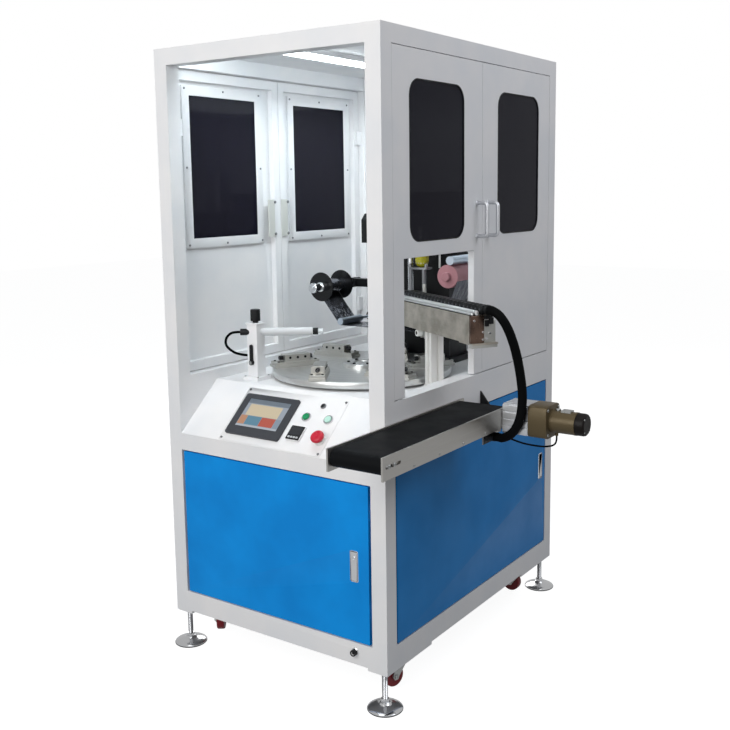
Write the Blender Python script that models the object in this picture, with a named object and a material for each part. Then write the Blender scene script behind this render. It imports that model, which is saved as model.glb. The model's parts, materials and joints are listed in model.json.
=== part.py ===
# Hot foil stamping machine: a welded frame on four levelling feet, with a round indexing
# table, a pneumatic stamping head with a foil feed, a pick-off beam and a belt conveyor.
# Metres, +Z up, +Y to the back, +X to the right as seen by the operator at the front.

import math

import bmesh
import bpy
from mathutils import Matrix, Vector

for old in list(bpy.data.objects):
    bpy.data.objects.remove(old, do_unlink=True)

# Gaps and overlaps
GAP = 0.0003
OVERLAP = 0.002
DOOR_GAP = 0.001

# Whole frame
FRAME_WIDTH = 0.793
FRAME_DEPTH = 1.042
FRAME_HEIGHT = 1.700
FLOOR_CLEARANCE = 0.118
TABLE_HEIGHT = 0.707
POST_SIDE = 0.048

RIGHT = FRAME_WIDTH / 2
LEFT = -RIGHT
BACK = FRAME_DEPTH / 2
FRONT = -BACK
BASE = FLOOR_CLEARANCE
TABLE = BASE + TABLE_HEIGHT
TOP = BASE + FRAME_HEIGHT
INNER_RIGHT = RIGHT - POST_SIDE
INNER_FRONT = FRONT + POST_SIDE
INNER_BACK = BACK - POST_SIDE

# Base frame
BOTTOM_RAIL_HEIGHT = 0.063
CONSOLE_FOOT_HEIGHT = 0.566
FRONT_RAIL_DEPTH = 0.051
SIDE_RAIL_DEPTH = 0.067
FLOOR_SHEET = 0.003
CORNER_PLATE_WIDTH = 0.064
CORNER_PLATE_LENGTH = 0.230
CORNER_PLATE_THICKNESS = 0.008
INLET_RADIUS = 0.009
INLET_REACH = 0.012
INLET_FROM_RIGHT = 0.106
INLET_HEIGHT = 0.036

# Upper frame
SILL_HEIGHT = 0.031
TOP_RAIL_DEPTH = 0.048
ROOF_SHEET = 0.003
BACK_WALL_SHEET = 0.002
LAMP_LENGTH = 1.020
LAMP_WIDTH = 0.040
LAMP_BODY_DEPTH = 0.014
LAMP_TUBE_RADIUS = 0.014
LAMP_X = -0.0335
LAMP_Y = -0.011

# Feet and casters
FOOT_INSET = 0.027
FOOT_RADIUS = 0.050
FOOT_EDGE = 0.004
FOOT_DOME = 0.013
STUD_RADIUS = 0.008
STUD_NUT_RADIUS = 0.013
STUD_NUT_HEIGHT = 0.010
CASTER_INSET_X = 0.057
CASTER_INSET_Y = 0.140
CASTER_PAD = 0.060
CASTER_PAD_THICKNESS = 0.003
CASTER_TRAIL = 0.022
CASTER_HEAD_RADIUS = 0.022
CASTER_HEAD_DEPTH = 0.009
WHEEL_RADIUS = 0.0315
WHEEL_WIDTH = 0.026
WHEEL_HUB_RADIUS = 0.020
WHEEL_DISH = 0.002
WHEEL_AXIS_HEIGHT = 0.048
AXLE_RADIUS = 0.004
FORK_SHEET = 0.003
FORK_SIDE_GAP = 0.002
FORK_FOOT_RADIUS = 0.011
BRAKE_REACH = 0.014
BRAKE_THICKNESS = 0.004
CASTER_TURNS = {
    "front_right": math.radians(-16),
    "front_left": math.radians(35),
    "rear_right": math.radians(-90),
    "rear_left": math.radians(-16),
}

# Console
CONSOLE_RUN = 0.162
CONSOLE_SHEET = 0.003
CONSOLE_FLANGE = 0.030
CONSOLE_LIP = 0.025
PLATE_WIDTH = 0.375
PLATE_LENGTH = 0.196
PLATE_THICKNESS = 0.0015
PLATE_X = -0.009
PLATE_ALONG = 0.1005
SCREEN_WIDTH = 0.203
SCREEN_LENGTH = 0.147
SCREEN_BEZEL = 0.0065
SCREEN_CORNER = 0.006
SCREEN_BODY_WIDTH = 0.190
SCREEN_BODY_LENGTH = 0.130
SCREEN_BODY_DEPTH = 0.028
SCREEN_VIEW_WIDTH = 0.156
SCREEN_VIEW_LENGTH = 0.100
SCREEN_VIEW_SHIFT = 0.006
SCREEN_RECESS = 0.001
SCREEN_X = -0.0833
SCREEN_ALONG = 0.0995
CONTROLLER_SIDE = 0.050
CONTROLLER_HEIGHT = 0.006
CONTROLLER_X = 0.0634
CONTROLLER_ALONG = 0.062
BUTTON_HOLE_RADIUS = 0.0095
BUTTON_RING_RADIUS = 0.0145
BUTTON_RING_HEIGHT = 0.004
BUTTON_RADIUS = 0.0115
BUTTON_PROUD = 0.004
BUTTON_TRAVEL = 0.003
BUTTON_STEM_LENGTH = 0.018
START_X = 0.0663
START_ALONG = 0.1218
RESET_X = 0.1441
RESET_ALONG = 0.1234
STOP_X = 0.1536
STOP_ALONG = 0.0533
STOP_RING_RADIUS = 0.0165
STOP_RING_HEIGHT = 0.010
STOP_HEAD_RADIUS = 0.020
STOP_HEAD_HEIGHT = 0.012
STOP_NECK_RADIUS = 0.0125
STOP_TRAVEL = 0.005
BUZZER_RADIUS = 0.008
BUZZER_HEIGHT = 0.003
BUZZER_X = 0.1021
BUZZER_ALONG = 0.1673

# Doors
DOOR_THICKNESS = 0.020
DOOR_SHEET = 0.002
DOOR_RIM = 0.030
DOOR_SPLIT = 0.529
DOOR_FOOT_HEIGHT = 0.741
DOOR_HEAD_GAP = 0.002
WINDOW_FOOT_HEIGHT = 1.1515
WINDOW_HEAD_HEIGHT = 1.5746
WINDOW_CORNER = 0.045
FRONT_WINDOW_START = 0.1295
FRONT_WINDOW_END = 0.4185
REAR_WINDOW_START = 0.626
REAR_WINDOW_END = 0.909
PANE_MARGIN = 0.018
PANE_THICKNESS = 0.005
RETAINER_MARGIN = 0.016
RETAINER_LIP = 0.014
RETAINER_SHEET = 0.003
NOTCH_START = 0.099
NOTCH_END = 0.478
NOTCH_HEAD_HEIGHT = 1.110
HANDLE_FOOT_HEIGHT = 1.1455
HANDLE_LENGTH = 0.1075
HANDLE_REACH = 0.034
HANDLE_RADIUS = 0.0055
HANDLE_BEND = 0.012
HANDLE_FROM_SPLIT = 0.0335
LOWER_GAP = 0.004
FRONT_DOOR_SIDE_GAP = 0.0085
SIDE_PANEL_GAP = 0.0055
LATCH_WIDTH = 0.0267
LATCH_LENGTH = 0.088
LATCH_BEZEL = 0.003
LATCH_BEZEL_PROUD = 0.002
LATCH_LEVER_THICKNESS = 0.005
FRONT_LATCH_FROM_DOOR_EDGE = 0.048
FRONT_LATCH_HEIGHT = 0.282
SIDE_LATCH_FROM_DOOR_EDGE = 0.037
SIDE_LATCH_HEIGHT = 0.344
CLOSED_PANEL_THICKNESS = 0.016
SEAT_REACH = 0.026
SEAT_DEPTH = 0.010
SEAT_LENGTH = 0.050
UPPER_SEAT_HEIGHTS = (0.860, 1.480)
LOWER_SEAT_HEIGHTS = (0.160, 0.440)

# Table plate, turntable and its drive
TABLE_THICKNESS = 0.015
TURN_Y = -0.058
TURN_RADIUS = 0.285
TURN_THICKNESS = 0.020
TURN_RIM_BEVEL = 0.002
TURN_LIFT = 0.007
HUB_RADIUS = 0.055
HUB_CLEARANCE = 0.005
CAP_RADIUS = 0.060
CAP_HEIGHT = 0.012
STATIONS = 6
STATION_RADIUS = 0.216
STATION_START = math.radians(-151.5)
STATION_SKEW = math.radians(33.5)
JIG_LENGTH = 0.156
JIG_WIDTH = 0.052
JIG_HEIGHT = 0.017
BLOCK_LENGTH = 0.088
BLOCK_WIDTH = 0.042
BLOCK_HEIGHT = 0.022
BLOCK_BEVEL = 0.006
CLAMP_ROD_RADIUS = 0.004
CLAMP_ROD_LENGTH = 0.112
CLAMP_ROD_LIFT = 0.011
CLAMP_KNOB_RADIUS = 0.007
CLAMP_KNOB_LENGTH = 0.014
DRIVE_FLANGE_SIDE = 0.220
DRIVE_FLANGE_THICKNESS = 0.016
DRIVE_BODY_SIDE = 0.180
DRIVE_BODY_DEPTH = 0.120
DRIVE_MOTOR_RADIUS = 0.045
DRIVE_MOTOR_LENGTH = 0.170

# Electrical plate in the cabinet
PLATE_SHEET = 0.003
PLATE_SPAN = 0.560
PLATE_TALL = 0.430
PLATE_Y = 0.330
PLATE_FOOT = 0.040
TROUGH_DEPTH = 0.040
TROUGH_SIDE = 0.030
DEVICE_DEPTH = 0.070
DEVICE_HEIGHT_SHARE = 0.24
DEVICE_SHARES = ((0.04, 0.30), (0.36, 0.52), (0.58, 0.94))

# Stamping press
PRESS_Y = 0.142
COLUMN_WIDTH = 0.280
COLUMN_DEPTH = 0.120
COLUMN_FRONT = 0.255
COLUMN_TOP_HEIGHT = 1.280
PRESS_FOOT_MARGIN = 0.020
PRESS_FOOT_THICKNESS = 0.020
ARM_WIDTH = 0.170
ARM_HEIGHT = 0.095
ARM_REACH = 0.072
ARM_FOOT_HEIGHT = 1.117
ARM_BEVEL = 0.020
GUIDE_RADIUS = 0.010
GUIDE_SPACING = 0.060
PISTON_RADIUS = 0.008
ROD_CLEARANCE = 0.0004
CYLINDER_SIDE = 0.076
CYLINDER_LENGTH = 0.150
CYLINDER_CAP = 0.022
CYLINDER_TUBE_RADIUS = 0.034
RAM_PLATE_WIDTH = 0.160
RAM_PLATE_DEPTH = 0.086
RAM_PLATE_THICKNESS = 0.016
HEATER_WIDTH = 0.110
HEATER_DEPTH = 0.080
HEATER_HEIGHT = 0.046
DIE_WIDTH = 0.070
DIE_DEPTH = 0.050
DIE_HEIGHT = 0.012
PRESS_STROKE = 0.047
DIE_REST_GAP = 0.0005
GUIDE_TOP_REACH = 0.050
FILTER_RADIUS = 0.022
FILTER_X = 0.104
FILTER_FOOT_HEIGHT = 1.040
FILTER_LENGTH = 0.130
FILTER_BRACKET = 0.030

# Foil feed
FOIL_WIDTH = 0.108
FOIL_FRONT = 0.088
FOIL_THICKNESS = 0.0008
SUPPLY_X = -0.2675
SUPPLY_HEIGHT = 0.961
SUPPLY_FLANGE_RADIUS = 0.050
SUPPLY_FLANGE = 0.0025
SUPPLY_ROLL_RADIUS = 0.024
SUPPLY_HUB_RADIUS = 0.0175
SUPPLY_HUB_REACH = 0.050
TAKEUP_X = 0.2305
TAKEUP_HEIGHT = 1.016
TAKEUP_ROLL_RADIUS = 0.037
TAKEUP_HUB_RADIUS = 0.014
TAKEUP_HUB_REACH = 0.016
REEL_SHAFT_RADIUS = 0.006
ROLLER_X = 0.1875
ROLLER_HEIGHT = 0.846
ROLLER_RADIUS = 0.012
ROLLER_SHAFT_RADIUS = 0.005
NIP_RADIUS = 0.014
NIP_OFFSET_X = 0.012
NIP_GAP = 0.001
REEL_ARM_FRONT = 0.268
REEL_ARM_DEPTH = 0.030
REEL_ARM_HEIGHT = 0.028
REEL_BOSS_RADIUS = 0.018
REEL_BOSS_PROUD = 0.006

# Pick-off beam
BEAM_X = 0.3161
BEAM_Y = -0.1368
BEAM_TURN = math.radians(-31.3)
BEAM_FOOT_HEIGHT = 0.173
BEAM_WIDTH = 0.070
BEAM_HEIGHT = 0.075
BEAM_INNER = 0.235
BEAM_OUTER = 0.2665
BEAM_END_PLATE = 0.006
BEAM_END_STEP = 0.002
BEAM_TAIL_PLATE = 0.004
BEAM_TAIL_LENGTH = 0.060
BEAM_TAIL_PROUD = 0.010
PROFILE_SIDE = 0.040
PROFILE_SLOT = 0.008
PROFILE_SLOT_DEPTH = 0.006
PROFILE_FOOT_MARGIN = 0.012
PROFILE_FOOT_THICKNESS = 0.008
GUIDE_ROD_RADIUS = 0.005
GUIDE_ROD_LIFT = 0.009
GUIDE_ROD_PROUD = 0.008
GUIDE_ROD_PLACE_SHARES = (-0.43, -0.22)
GUIDE_SADDLE_LENGTH = 0.016
CHAIN_PITCH = 0.0215
CHAIN_WIDTH = 0.030
CHAIN_HEIGHT = 0.024
CHAIN_GROOVE = 0.0015
CHAIN_GROOVE_WIDTH = 0.003
CHAIN_ACROSS = 0.017
CHAIN_LINKS = 22
CARRIAGE_REST = -0.190
CARRIAGE_TRAVEL = 0.350
CARRIAGE_LENGTH = 0.080
CARRIAGE_PLATE = 0.012
CARRIAGE_BLOCK_LENGTH = 0.044
CARRIAGE_BLOCK_DEPTH = 0.038
PICK_HEAD_GAP = 0.001
PICK_ROD_RADIUS = 0.006
PICK_ROD_LENGTH = 0.075
PICK_HEAD_LENGTH = 0.040
PICK_HEAD_DEPTH = 0.032
PICK_HEAD_HEIGHT = 0.024
PICK_TRAVEL = 0.050
PICK_REST_GAP = 0.004
FINGER_LENGTH = 0.020
FINGER_THICKNESS = 0.007
FINGER_DEPTH = 0.014
FINGER_SPREAD = 0.026

# Conveyor
CONVEYOR_START = -0.776
CONVEYOR_END = -0.116
CONVEYOR_STANDOFF = 0.003
CONVEYOR_PLATE = 0.005
CONVEYOR_PLATE_HEIGHT = 0.057
CONVEYOR_PLATE_FOOT = 0.627
BELT_WIDTH = 0.148
BELT_SIDE_GAP = 0.002
BELT_THICKNESS = 0.002
BELT_DROP = 0.004
BELT_ROLLER_RADIUS = 0.0200
BELT_END_INSET = 0.026
BELT_BED_THICKNESS = 0.030
ROLLER_PIN_RADIUS = 0.006
SLOT_START_INSET = 0.012
SLOT_LENGTH = 0.065
SLOT_HEIGHT = 0.008
MOUNT_BOSS_SIDE = 0.030
SHELF_THICKNESS = 0.004
SHELF_REACH = 0.045
SHELF_END = -0.003
GUSSET_THICKNESS = 0.006
CROSS_BAR_WIDTH = 0.020
CROSS_BAR_DEPTH = 0.008
CROSS_BAR_Y = -0.196
TAB_THICKNESS = 0.004
TAB_X = 0.5175
TAB_FRONT = -0.216
TAB_BACK = -0.156
TAB_FOOT = 0.700
GLAND_LENGTH = 0.025
HOSE_GLAND_RADIUS = 0.016
CABLE_GLAND_RADIUS = 0.006
MOTOR_FLANGE_SIDE = 0.079
MOTOR_FLANGE_LENGTH = 0.080
MOTOR_FLANGE_GROOVE = 0.004
MOTOR_FLANGE_GROOVE_SHARES = (0.30, 0.55, 0.80)
GEARBOX_SIDE = 0.090
GEARBOX_LENGTH = 0.054
GEARBOX_CORNER = 0.014
MOTOR_RADIUS = 0.031
MOTOR_LENGTH = 0.070
MOTOR_CAP_RADIUS = 0.029
MOTOR_CAP_LENGTH = 0.030
MOTOR_CAP_EDGE = 0.004
MOTOR_GLAND_RADIUS = 0.005
MOTOR_GLAND_LENGTH = 0.009
MOTOR_GLAND_PLACE = 0.012

# Product sensor
SENSOR_X = -0.2335
SENSOR_Y = -0.298
SENSOR_FOOT_SIDE = 0.062
SENSOR_FOOT_THICKNESS = 0.010
SENSOR_POST_WIDTH = 0.040
SENSOR_POST_DEPTH = 0.038
SENSOR_POST_HEIGHT = 0.178
SENSOR_CAP_THICKNESS = 0.004
SENSOR_CAP_PROUD = 0.003
SENSOR_KNOB_RADIUS = 0.015
SENSOR_KNOB_NECK = 0.006
SENSOR_KNOB_HEIGHT = 0.042
BARREL_TURN = math.radians(34.6)
BARREL_HEIGHT = 0.149
BARREL_RADIUS = 0.0125
BARREL_LENGTH = 0.178
BARREL_RING_LENGTH = 0.016
BARREL_RING_RADIUS = 0.0105
BARREL_TIP_LENGTH = 0.016
BARREL_TIP_RADIUS = 0.008
PLUG_RADIUS = 0.010
PLUG_LENGTH = 0.048
LEVER_HEIGHT = 0.055
LEVER_LENGTH = 0.057
LEVER_WIDTH = 0.010
LEVER_THICKNESS = 0.006
LEVER_PIVOT_RADIUS = 0.008
LEVER_PIVOT_LENGTH = 0.009
SENSOR_GLAND_RADIUS = 0.005
SENSOR_GLAND_LENGTH = 0.012
SENSOR_GLAND_HEIGHT = 0.072

# Cords
HOSE_RADIUS = 0.0125
HOSE_POINTS = 46
MOTOR_CABLE_RADIUS = 0.0025
MOTOR_CABLE_POINTS = 34
SENSOR_CABLE_RADIUS = 0.0022
SENSOR_CABLE_POINTS = 30

# Facets
DISC_SIDES = 48
ROUND_SIDES = 20
WHEEL_SIDES = 16
BUTTON_SIDES = 16
SMALL_SIDES = 12
CORNER_STEPS = 4
SHARP = math.radians(35)

# Everything hangs on one empty, which is set under the middle of the whole object at the end
machine = bpy.data.objects.new("machine", None)
bpy.context.scene.collection.objects.link(machine)


# Materials
def finish(name, colour, roughness, metallic=0.0, alpha=1.0):
    material = bpy.data.materials.new(name)
    material.use_nodes = True
    shader = material.node_tree.nodes["Principled BSDF"]
    shader.inputs["Base Color"].default_value = (*colour, 1.0)
    shader.inputs["Roughness"].default_value = roughness
    shader.inputs["Metallic"].default_value = metallic
    shader.inputs["Alpha"].default_value = alpha
    return material


WHITE_PAINT = finish("white_powder_coat", (0.80, 0.81, 0.83), 0.45)
BLUE_PAINT = finish("blue_powder_coat", (0.01, 0.20, 0.60), 0.45)
BLACK_PAINT = finish("black_paint", (0.02, 0.02, 0.02), 0.5)
ALUMINIUM = finish("anodised_aluminium", (0.70, 0.70, 0.72), 0.35, 1.0)
STEEL = finish("ground_steel", (0.55, 0.55, 0.56), 0.30, 1.0)
CHROME = finish("chrome_plate", (0.80, 0.80, 0.82), 0.12, 1.0)
BRASS = finish("brass", (0.75, 0.55, 0.25), 0.30, 1.0)
RUBBER = finish("black_rubber", (0.02, 0.02, 0.02), 0.8)
WHEEL_RED = finish("dark_red_polyurethane", (0.20, 0.01, 0.02), 0.45)
BLACK_PLASTIC = finish("black_plastic", (0.03, 0.03, 0.03), 0.5)
DARK_GLASS = finish("smoked_acrylic", (0.03, 0.03, 0.04), 0.1, 0.0, 0.5)
GREEN_PLASTIC = finish("green_plastic", (0.0, 0.35, 0.12), 0.35)
CLEAR_PLASTIC = finish("pale_plastic", (0.75, 0.80, 0.76), 0.3)
RED_PLASTIC = finish("red_plastic", (0.65, 0.02, 0.02), 0.35)
GEAR_PAINT = finish("olive_brown_paint", (0.16, 0.12, 0.05), 0.45)
FOIL = finish("stamping_foil", (0.08, 0.08, 0.10), 0.2, 0.8)


# Shape builders: each gives a closed mesh in the machine's own coordinates
def as_mesh(shape):
    bmesh.ops.recalc_face_normals(shape, faces=shape.faces)
    if shape.calc_volume(signed=True) < 0:
        bmesh.ops.reverse_faces(shape, faces=shape.faces)
    mesh = bpy.data.meshes.new("shape")
    shape.to_mesh(mesh)
    shape.free()
    mesh.shade_smooth()
    mesh.set_sharp_from_angle(angle=SHARP)
    return mesh


def block(low, high):
    shape = bmesh.new()
    low = Vector(low)
    high = Vector(high)
    bmesh.ops.create_cube(shape, size=1)
    size = Matrix.Diagonal((*(high - low), 1))
    shape.transform(Matrix.Translation((low + high) / 2) @ size)
    return as_mesh(shape)


def prism(outline, along, start, end):
    """An outline of (a, b) pairs pushed along X (a=y, b=z), Y (a=x, b=z) or Z (a=x, b=y)."""
    places = {
        "X": lambda a, b: (start, a, b),
        "Y": lambda a, b: (a, start, b),
        "Z": lambda a, b: (a, b, start),
    }
    directions = {"X": Vector((1, 0, 0)), "Y": Vector((0, 1, 0)), "Z": Vector((0, 0, 1))}
    shape = bmesh.new()
    face = shape.faces.new([shape.verts.new(places[along](a, b)) for a, b in outline])
    pushed = bmesh.ops.extrude_face_region(shape, geom=[face])
    moved = [item for item in pushed["geom"] if isinstance(item, bmesh.types.BMVert)]
    bmesh.ops.translate(shape, verts=moved, vec=directions[along] * (end - start))
    return as_mesh(shape)


def turned(profile, centre=(0, 0, 0), axis=(0, 0, 1), sides=ROUND_SIDES):
    """A profile of (radius, place along the axis) pairs spun about the axis through centre."""
    shape = bmesh.new()
    points = [shape.verts.new((radius, 0, along)) for radius, along in profile]
    ends = zip(points, points[1:])
    if profile[0][0] > 0:
        ends = zip(points, points[1:] + points[:1])
    edges = [shape.edges.new(pair) for pair in ends]
    bmesh.ops.spin(
        shape,
        geom=points + edges,
        cent=(0, 0, 0),
        axis=(0, 0, 1),
        angle=math.tau,
        steps=sides,
        use_merge=True,
    )
    bmesh.ops.remove_doubles(shape, verts=shape.verts, dist=GAP / 100)
    facing = Vector(axis).to_track_quat("Z", "Y").to_matrix().to_4x4()
    shape.transform(Matrix.Translation(centre) @ facing)
    return as_mesh(shape)


def rod(start, end, radius, sides=SMALL_SIDES):
    start = Vector(start)
    end = Vector(end)
    length = (end - start).length
    return turned([(0, 0), (radius, 0), (radius, length), (0, length)], start, end - start, sides)


def rounded(low_a, high_a, low_b, high_b, radius, steps=CORNER_STEPS):
    """The points of a rectangle with round corners, anticlockwise from its lower right corner."""
    corners = (
        (high_a - radius, low_b + radius, -90),
        (high_a - radius, high_b - radius, 0),
        (low_a + radius, high_b - radius, 90),
        (low_a + radius, low_b + radius, 180),
    )
    points = []
    for centre_a, centre_b, start in corners:
        for step in range(steps + 1):
            angle = math.radians(start + 90 * step / steps)
            points.append((centre_a + radius * math.cos(angle), centre_b + radius * math.sin(angle)))
    return points


def chamfered(low_a, high_a, low_b, high_b, cut):
    return rounded(low_a, high_a, low_b, high_b, cut, 1)


def moved(mesh, matrix):
    mesh.transform(matrix)
    return mesh


def operands(name, meshes):
    """A hidden group of helper shapes for one Boolean."""
    group = bpy.data.collections.new(name)
    bpy.context.scene.collection.children.link(group)
    for number, mesh in enumerate(meshes):
        helper = bpy.data.objects.new(f"{name}_{number}", mesh)
        helper.parent = machine
        helper.hide_render = True
        helper.display_type = "WIRE"
        group.objects.link(helper)
    return group


def piece(name, material, shapes, cuts=(), pivot=(0, 0, 0), carrier=None, added=(), opened=()):
    """One sub-part on its own pivot: shapes joined, cuts taken away, then more added and opened."""
    pivot = Vector(pivot)
    body = moved(shapes[0], Matrix.Translation(-pivot))
    body.name = name
    body.materials.append(material)
    obj = bpy.data.objects.new(name, body)
    bpy.context.scene.collection.objects.link(obj)
    obj.parent = carrier or machine
    obj["pivot"] = tuple(pivot)
    obj.location = pivot - Vector(carrier["pivot"]) if carrier else pivot
    steps = (
        ("joined", "UNION", shapes[1:]),
        ("cut", "DIFFERENCE", cuts),
        ("added", "UNION", added),
        ("opened", "DIFFERENCE", opened),
    )
    for label, operation, meshes in steps:
        if not meshes:
            continue
        boolean = obj.modifiers.new(label, "BOOLEAN")
        boolean.operation = operation
        boolean.operand_type = "COLLECTION"
        boolean.collection = operands(f"{name}_{label}", meshes)
        boolean.solver = "EXACT"
    return obj


def mirrored(mesh):
    """The same shape on the other side of the machine's middle plane."""
    mesh.transform(Matrix.Diagonal((-1, 1, 1, 1)))
    mesh.flip_normals()
    return mesh


# Base frame: posts up to the table, rails, cabinet floor, corner plates and power inlet
def corners():
    for side_x in (-1, 1):
        for side_y in (-1, 1):
            yield side_x, side_y


def corner_block(side_x, side_y, length_x, length_y, low, high):
    outer = Vector((side_x * RIGHT, side_y * BACK, 0))
    inner = Vector((side_x * (RIGHT - length_x), side_y * (BACK - length_y), 0))
    return block(
        (min(outer.x, inner.x), min(outer.y, inner.y), low),
        (max(outer.x, inner.x), max(outer.y, inner.y), high),
    )


def side_rails(low, high):
    inner_y = INNER_BACK + OVERLAP
    return [
        block((INNER_RIGHT, -inner_y, low), (RIGHT, inner_y, high)),
        block((LEFT, -inner_y, low), (-INNER_RIGHT, inner_y, high)),
    ]


def cross_rail(start, low, high):
    inner_x = INNER_RIGHT + OVERLAP
    return block((-inner_x, start, low), (inner_x, start + POST_SIDE, high))


def side_seats(heights):
    """Hinge leaves and keepers on the posts, just behind the doors and panels of both sides."""
    shapes = []
    for side_x, side_y in corners():
        face = RIGHT - DOOR_THICKNESS - GAP
        across = sorted((side_x * face, side_x * (face - SEAT_DEPTH)))
        along = sorted((side_y * (INNER_BACK + OVERLAP), side_y * (INNER_BACK - SEAT_REACH)))
        for height in heights:
            low = BASE + height - SEAT_LENGTH / 2
            high = low + SEAT_LENGTH
            shapes.append(block((across[0], along[0], low), (across[1], along[1], high)))
    return shapes


def end_seats(heights):
    """The same behind the front door and the back panel."""
    shapes = []
    for side_x, side_y in corners():
        thickness = DOOR_THICKNESS if side_y < 0 else CLOSED_PANEL_THICKNESS
        face = BACK - thickness - GAP
        across = sorted((side_x * (INNER_RIGHT + OVERLAP), side_x * (INNER_RIGHT - SEAT_REACH)))
        along = sorted((side_y * face, side_y * (face - SEAT_DEPTH)))
        for height in heights:
            low = BASE + height - SEAT_LENGTH / 2
            high = low + SEAT_LENGTH
            shapes.append(block((across[0], along[0], low), (across[1], along[1], high)))
    return shapes


PAD_FOOT = BASE - CORNER_PLATE_THICKNESS - CASTER_PAD_THICKNESS
CONSOLE_FOOT = BASE + CONSOLE_FOOT_HEIGHT


def caster_place(side_x, side_y):
    return side_x * (RIGHT - CASTER_INSET_X), side_y * (BACK - CASTER_INSET_Y)


def build_base_frame():
    shapes = []
    for side_x, side_y in corners():
        shapes.append(corner_block(side_x, side_y, POST_SIDE, POST_SIDE, BASE, TABLE - GAP))
        plate_foot = BASE - CORNER_PLATE_THICKNESS
        width = CORNER_PLATE_WIDTH
        length = CORNER_PLATE_LENGTH
        shapes.append(corner_block(side_x, side_y, width, length, plate_foot, BASE + OVERLAP))
        x, y = caster_place(side_x, side_y)
        pad_low = (x - CASTER_PAD / 2, y - CASTER_PAD / 2, PAD_FOOT)
        pad_high = (x + CASTER_PAD / 2, y + CASTER_PAD / 2, BASE + OVERLAP)
        shapes.append(block(pad_low, pad_high))
    bottom = BASE + BOTTOM_RAIL_HEIGHT
    shapes += side_rails(BASE, bottom)
    shapes += side_rails(TABLE - SIDE_RAIL_DEPTH, TABLE - GAP)
    shapes += side_seats(LOWER_SEAT_HEIGHTS)
    shapes += end_seats(LOWER_SEAT_HEIGHTS)
    shapes.append(cross_rail(FRONT, BASE, bottom))
    shapes.append(cross_rail(INNER_BACK, BASE, bottom))
    shapes.append(cross_rail(INNER_BACK, TABLE - SIDE_RAIL_DEPTH, TABLE - GAP))
    shapes.append(cross_rail(FRONT, CONSOLE_FOOT - FRONT_RAIL_DEPTH, CONSOLE_FOOT))
    floor = INNER_RIGHT + OVERLAP
    floor_back = INNER_BACK + OVERLAP
    shapes.append(block((-floor, -floor_back, BASE), (floor, floor_back, BASE + FLOOR_SHEET)))
    inlet = (RIGHT - INLET_FROM_RIGHT, FRONT + OVERLAP, BASE + INLET_HEIGHT)
    reach = INLET_REACH + OVERLAP
    recess = INLET_RADIUS / 2
    profile = [
        (0, 0),
        (INLET_RADIUS, 0),
        (INLET_RADIUS, reach - recess / 2),
        (INLET_RADIUS - recess / 2, reach),
        (recess, reach),
        (recess, reach - recess),
        (0, reach - recess),
    ]
    shapes.append(turned(profile, inlet, (0, -1, 0), SMALL_SIDES))
    return piece("base_frame", WHITE_PAINT, shapes)


# Upper frame: posts, sills, top rails, roof, back wall and the lamp under the roof
def build_upper_frame():
    foot = TABLE
    shapes = []
    for side_x, side_y in corners():
        shapes.append(corner_block(side_x, side_y, POST_SIDE, POST_SIDE, foot, TOP))
    shapes += side_rails(foot, TABLE + SILL_HEIGHT)
    shapes += side_rails(TOP - TOP_RAIL_DEPTH, TOP)
    shapes += side_seats(UPPER_SEAT_HEIGHTS)
    shapes.append(cross_rail(INNER_BACK, foot, TABLE + SILL_HEIGHT))
    shapes.append(cross_rail(INNER_BACK, TOP - TOP_RAIL_DEPTH, TOP))
    shapes.append(cross_rail(FRONT, TOP - TOP_RAIL_DEPTH, TOP))
    span_x = INNER_RIGHT + OVERLAP
    span_y = INNER_BACK + OVERLAP
    roof = TOP - ROOF_SHEET
    shapes.append(block((-span_x, -span_y, roof), (span_x, span_y, TOP)))
    wall_foot = foot + OVERLAP
    wall_head = TOP - OVERLAP
    wall = BACK - BACK_WALL_SHEET
    shapes.append(block((-span_x, wall, wall_foot), (span_x, BACK, wall_head)))
    lamp_start = LAMP_Y - LAMP_LENGTH / 2 + POST_SIDE
    lamp_end = LAMP_Y + LAMP_LENGTH / 2 - POST_SIDE
    body_foot = roof - LAMP_BODY_DEPTH
    half = LAMP_WIDTH / 2
    shapes.append(
        block((LAMP_X - half, lamp_start, body_foot), (LAMP_X + half, lamp_end, roof + ROOF_SHEET / 2))
    )
    tube = [(LAMP_X + LAMP_TUBE_RADIUS, body_foot + OVERLAP)]
    for step in range(2 * CORNER_STEPS + 1):
        angle = math.pi * step / (2 * CORNER_STEPS)
        x = LAMP_X + LAMP_TUBE_RADIUS * math.cos(angle)
        tube.append((x, body_foot - LAMP_TUBE_RADIUS * math.sin(angle)))
    tube.append((LAMP_X - LAMP_TUBE_RADIUS, body_foot + OVERLAP))
    shapes.append(prism(tube, "Y", lamp_start, lamp_end))
    return piece("upper_frame", WHITE_PAINT, shapes)


# Console: a folded sheet with its instrument plate, collars and small instruments
CONSOLE_SEAT = CONSOLE_FOOT + GAP
CONSOLE_SLOPE = math.atan2(TABLE - CONSOLE_SEAT, CONSOLE_RUN)


def on_console(mesh, x, along):
    """Moves a shape from (x, along the slope, off the sheet) into its place on the console."""
    turn = Matrix.Rotation(CONSOLE_SLOPE, 4, "X")
    up_slope = turn @ Vector((x, along, 0))
    return moved(mesh, Matrix.Translation(Vector((0, FRONT, CONSOLE_SEAT)) + up_slope) @ turn)


def console_point(x, along, off):
    turn = Matrix.Rotation(CONSOLE_SLOPE, 4, "X")
    return Vector((0, FRONT, CONSOLE_SEAT)) + turn @ Vector((x, along, off))


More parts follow.
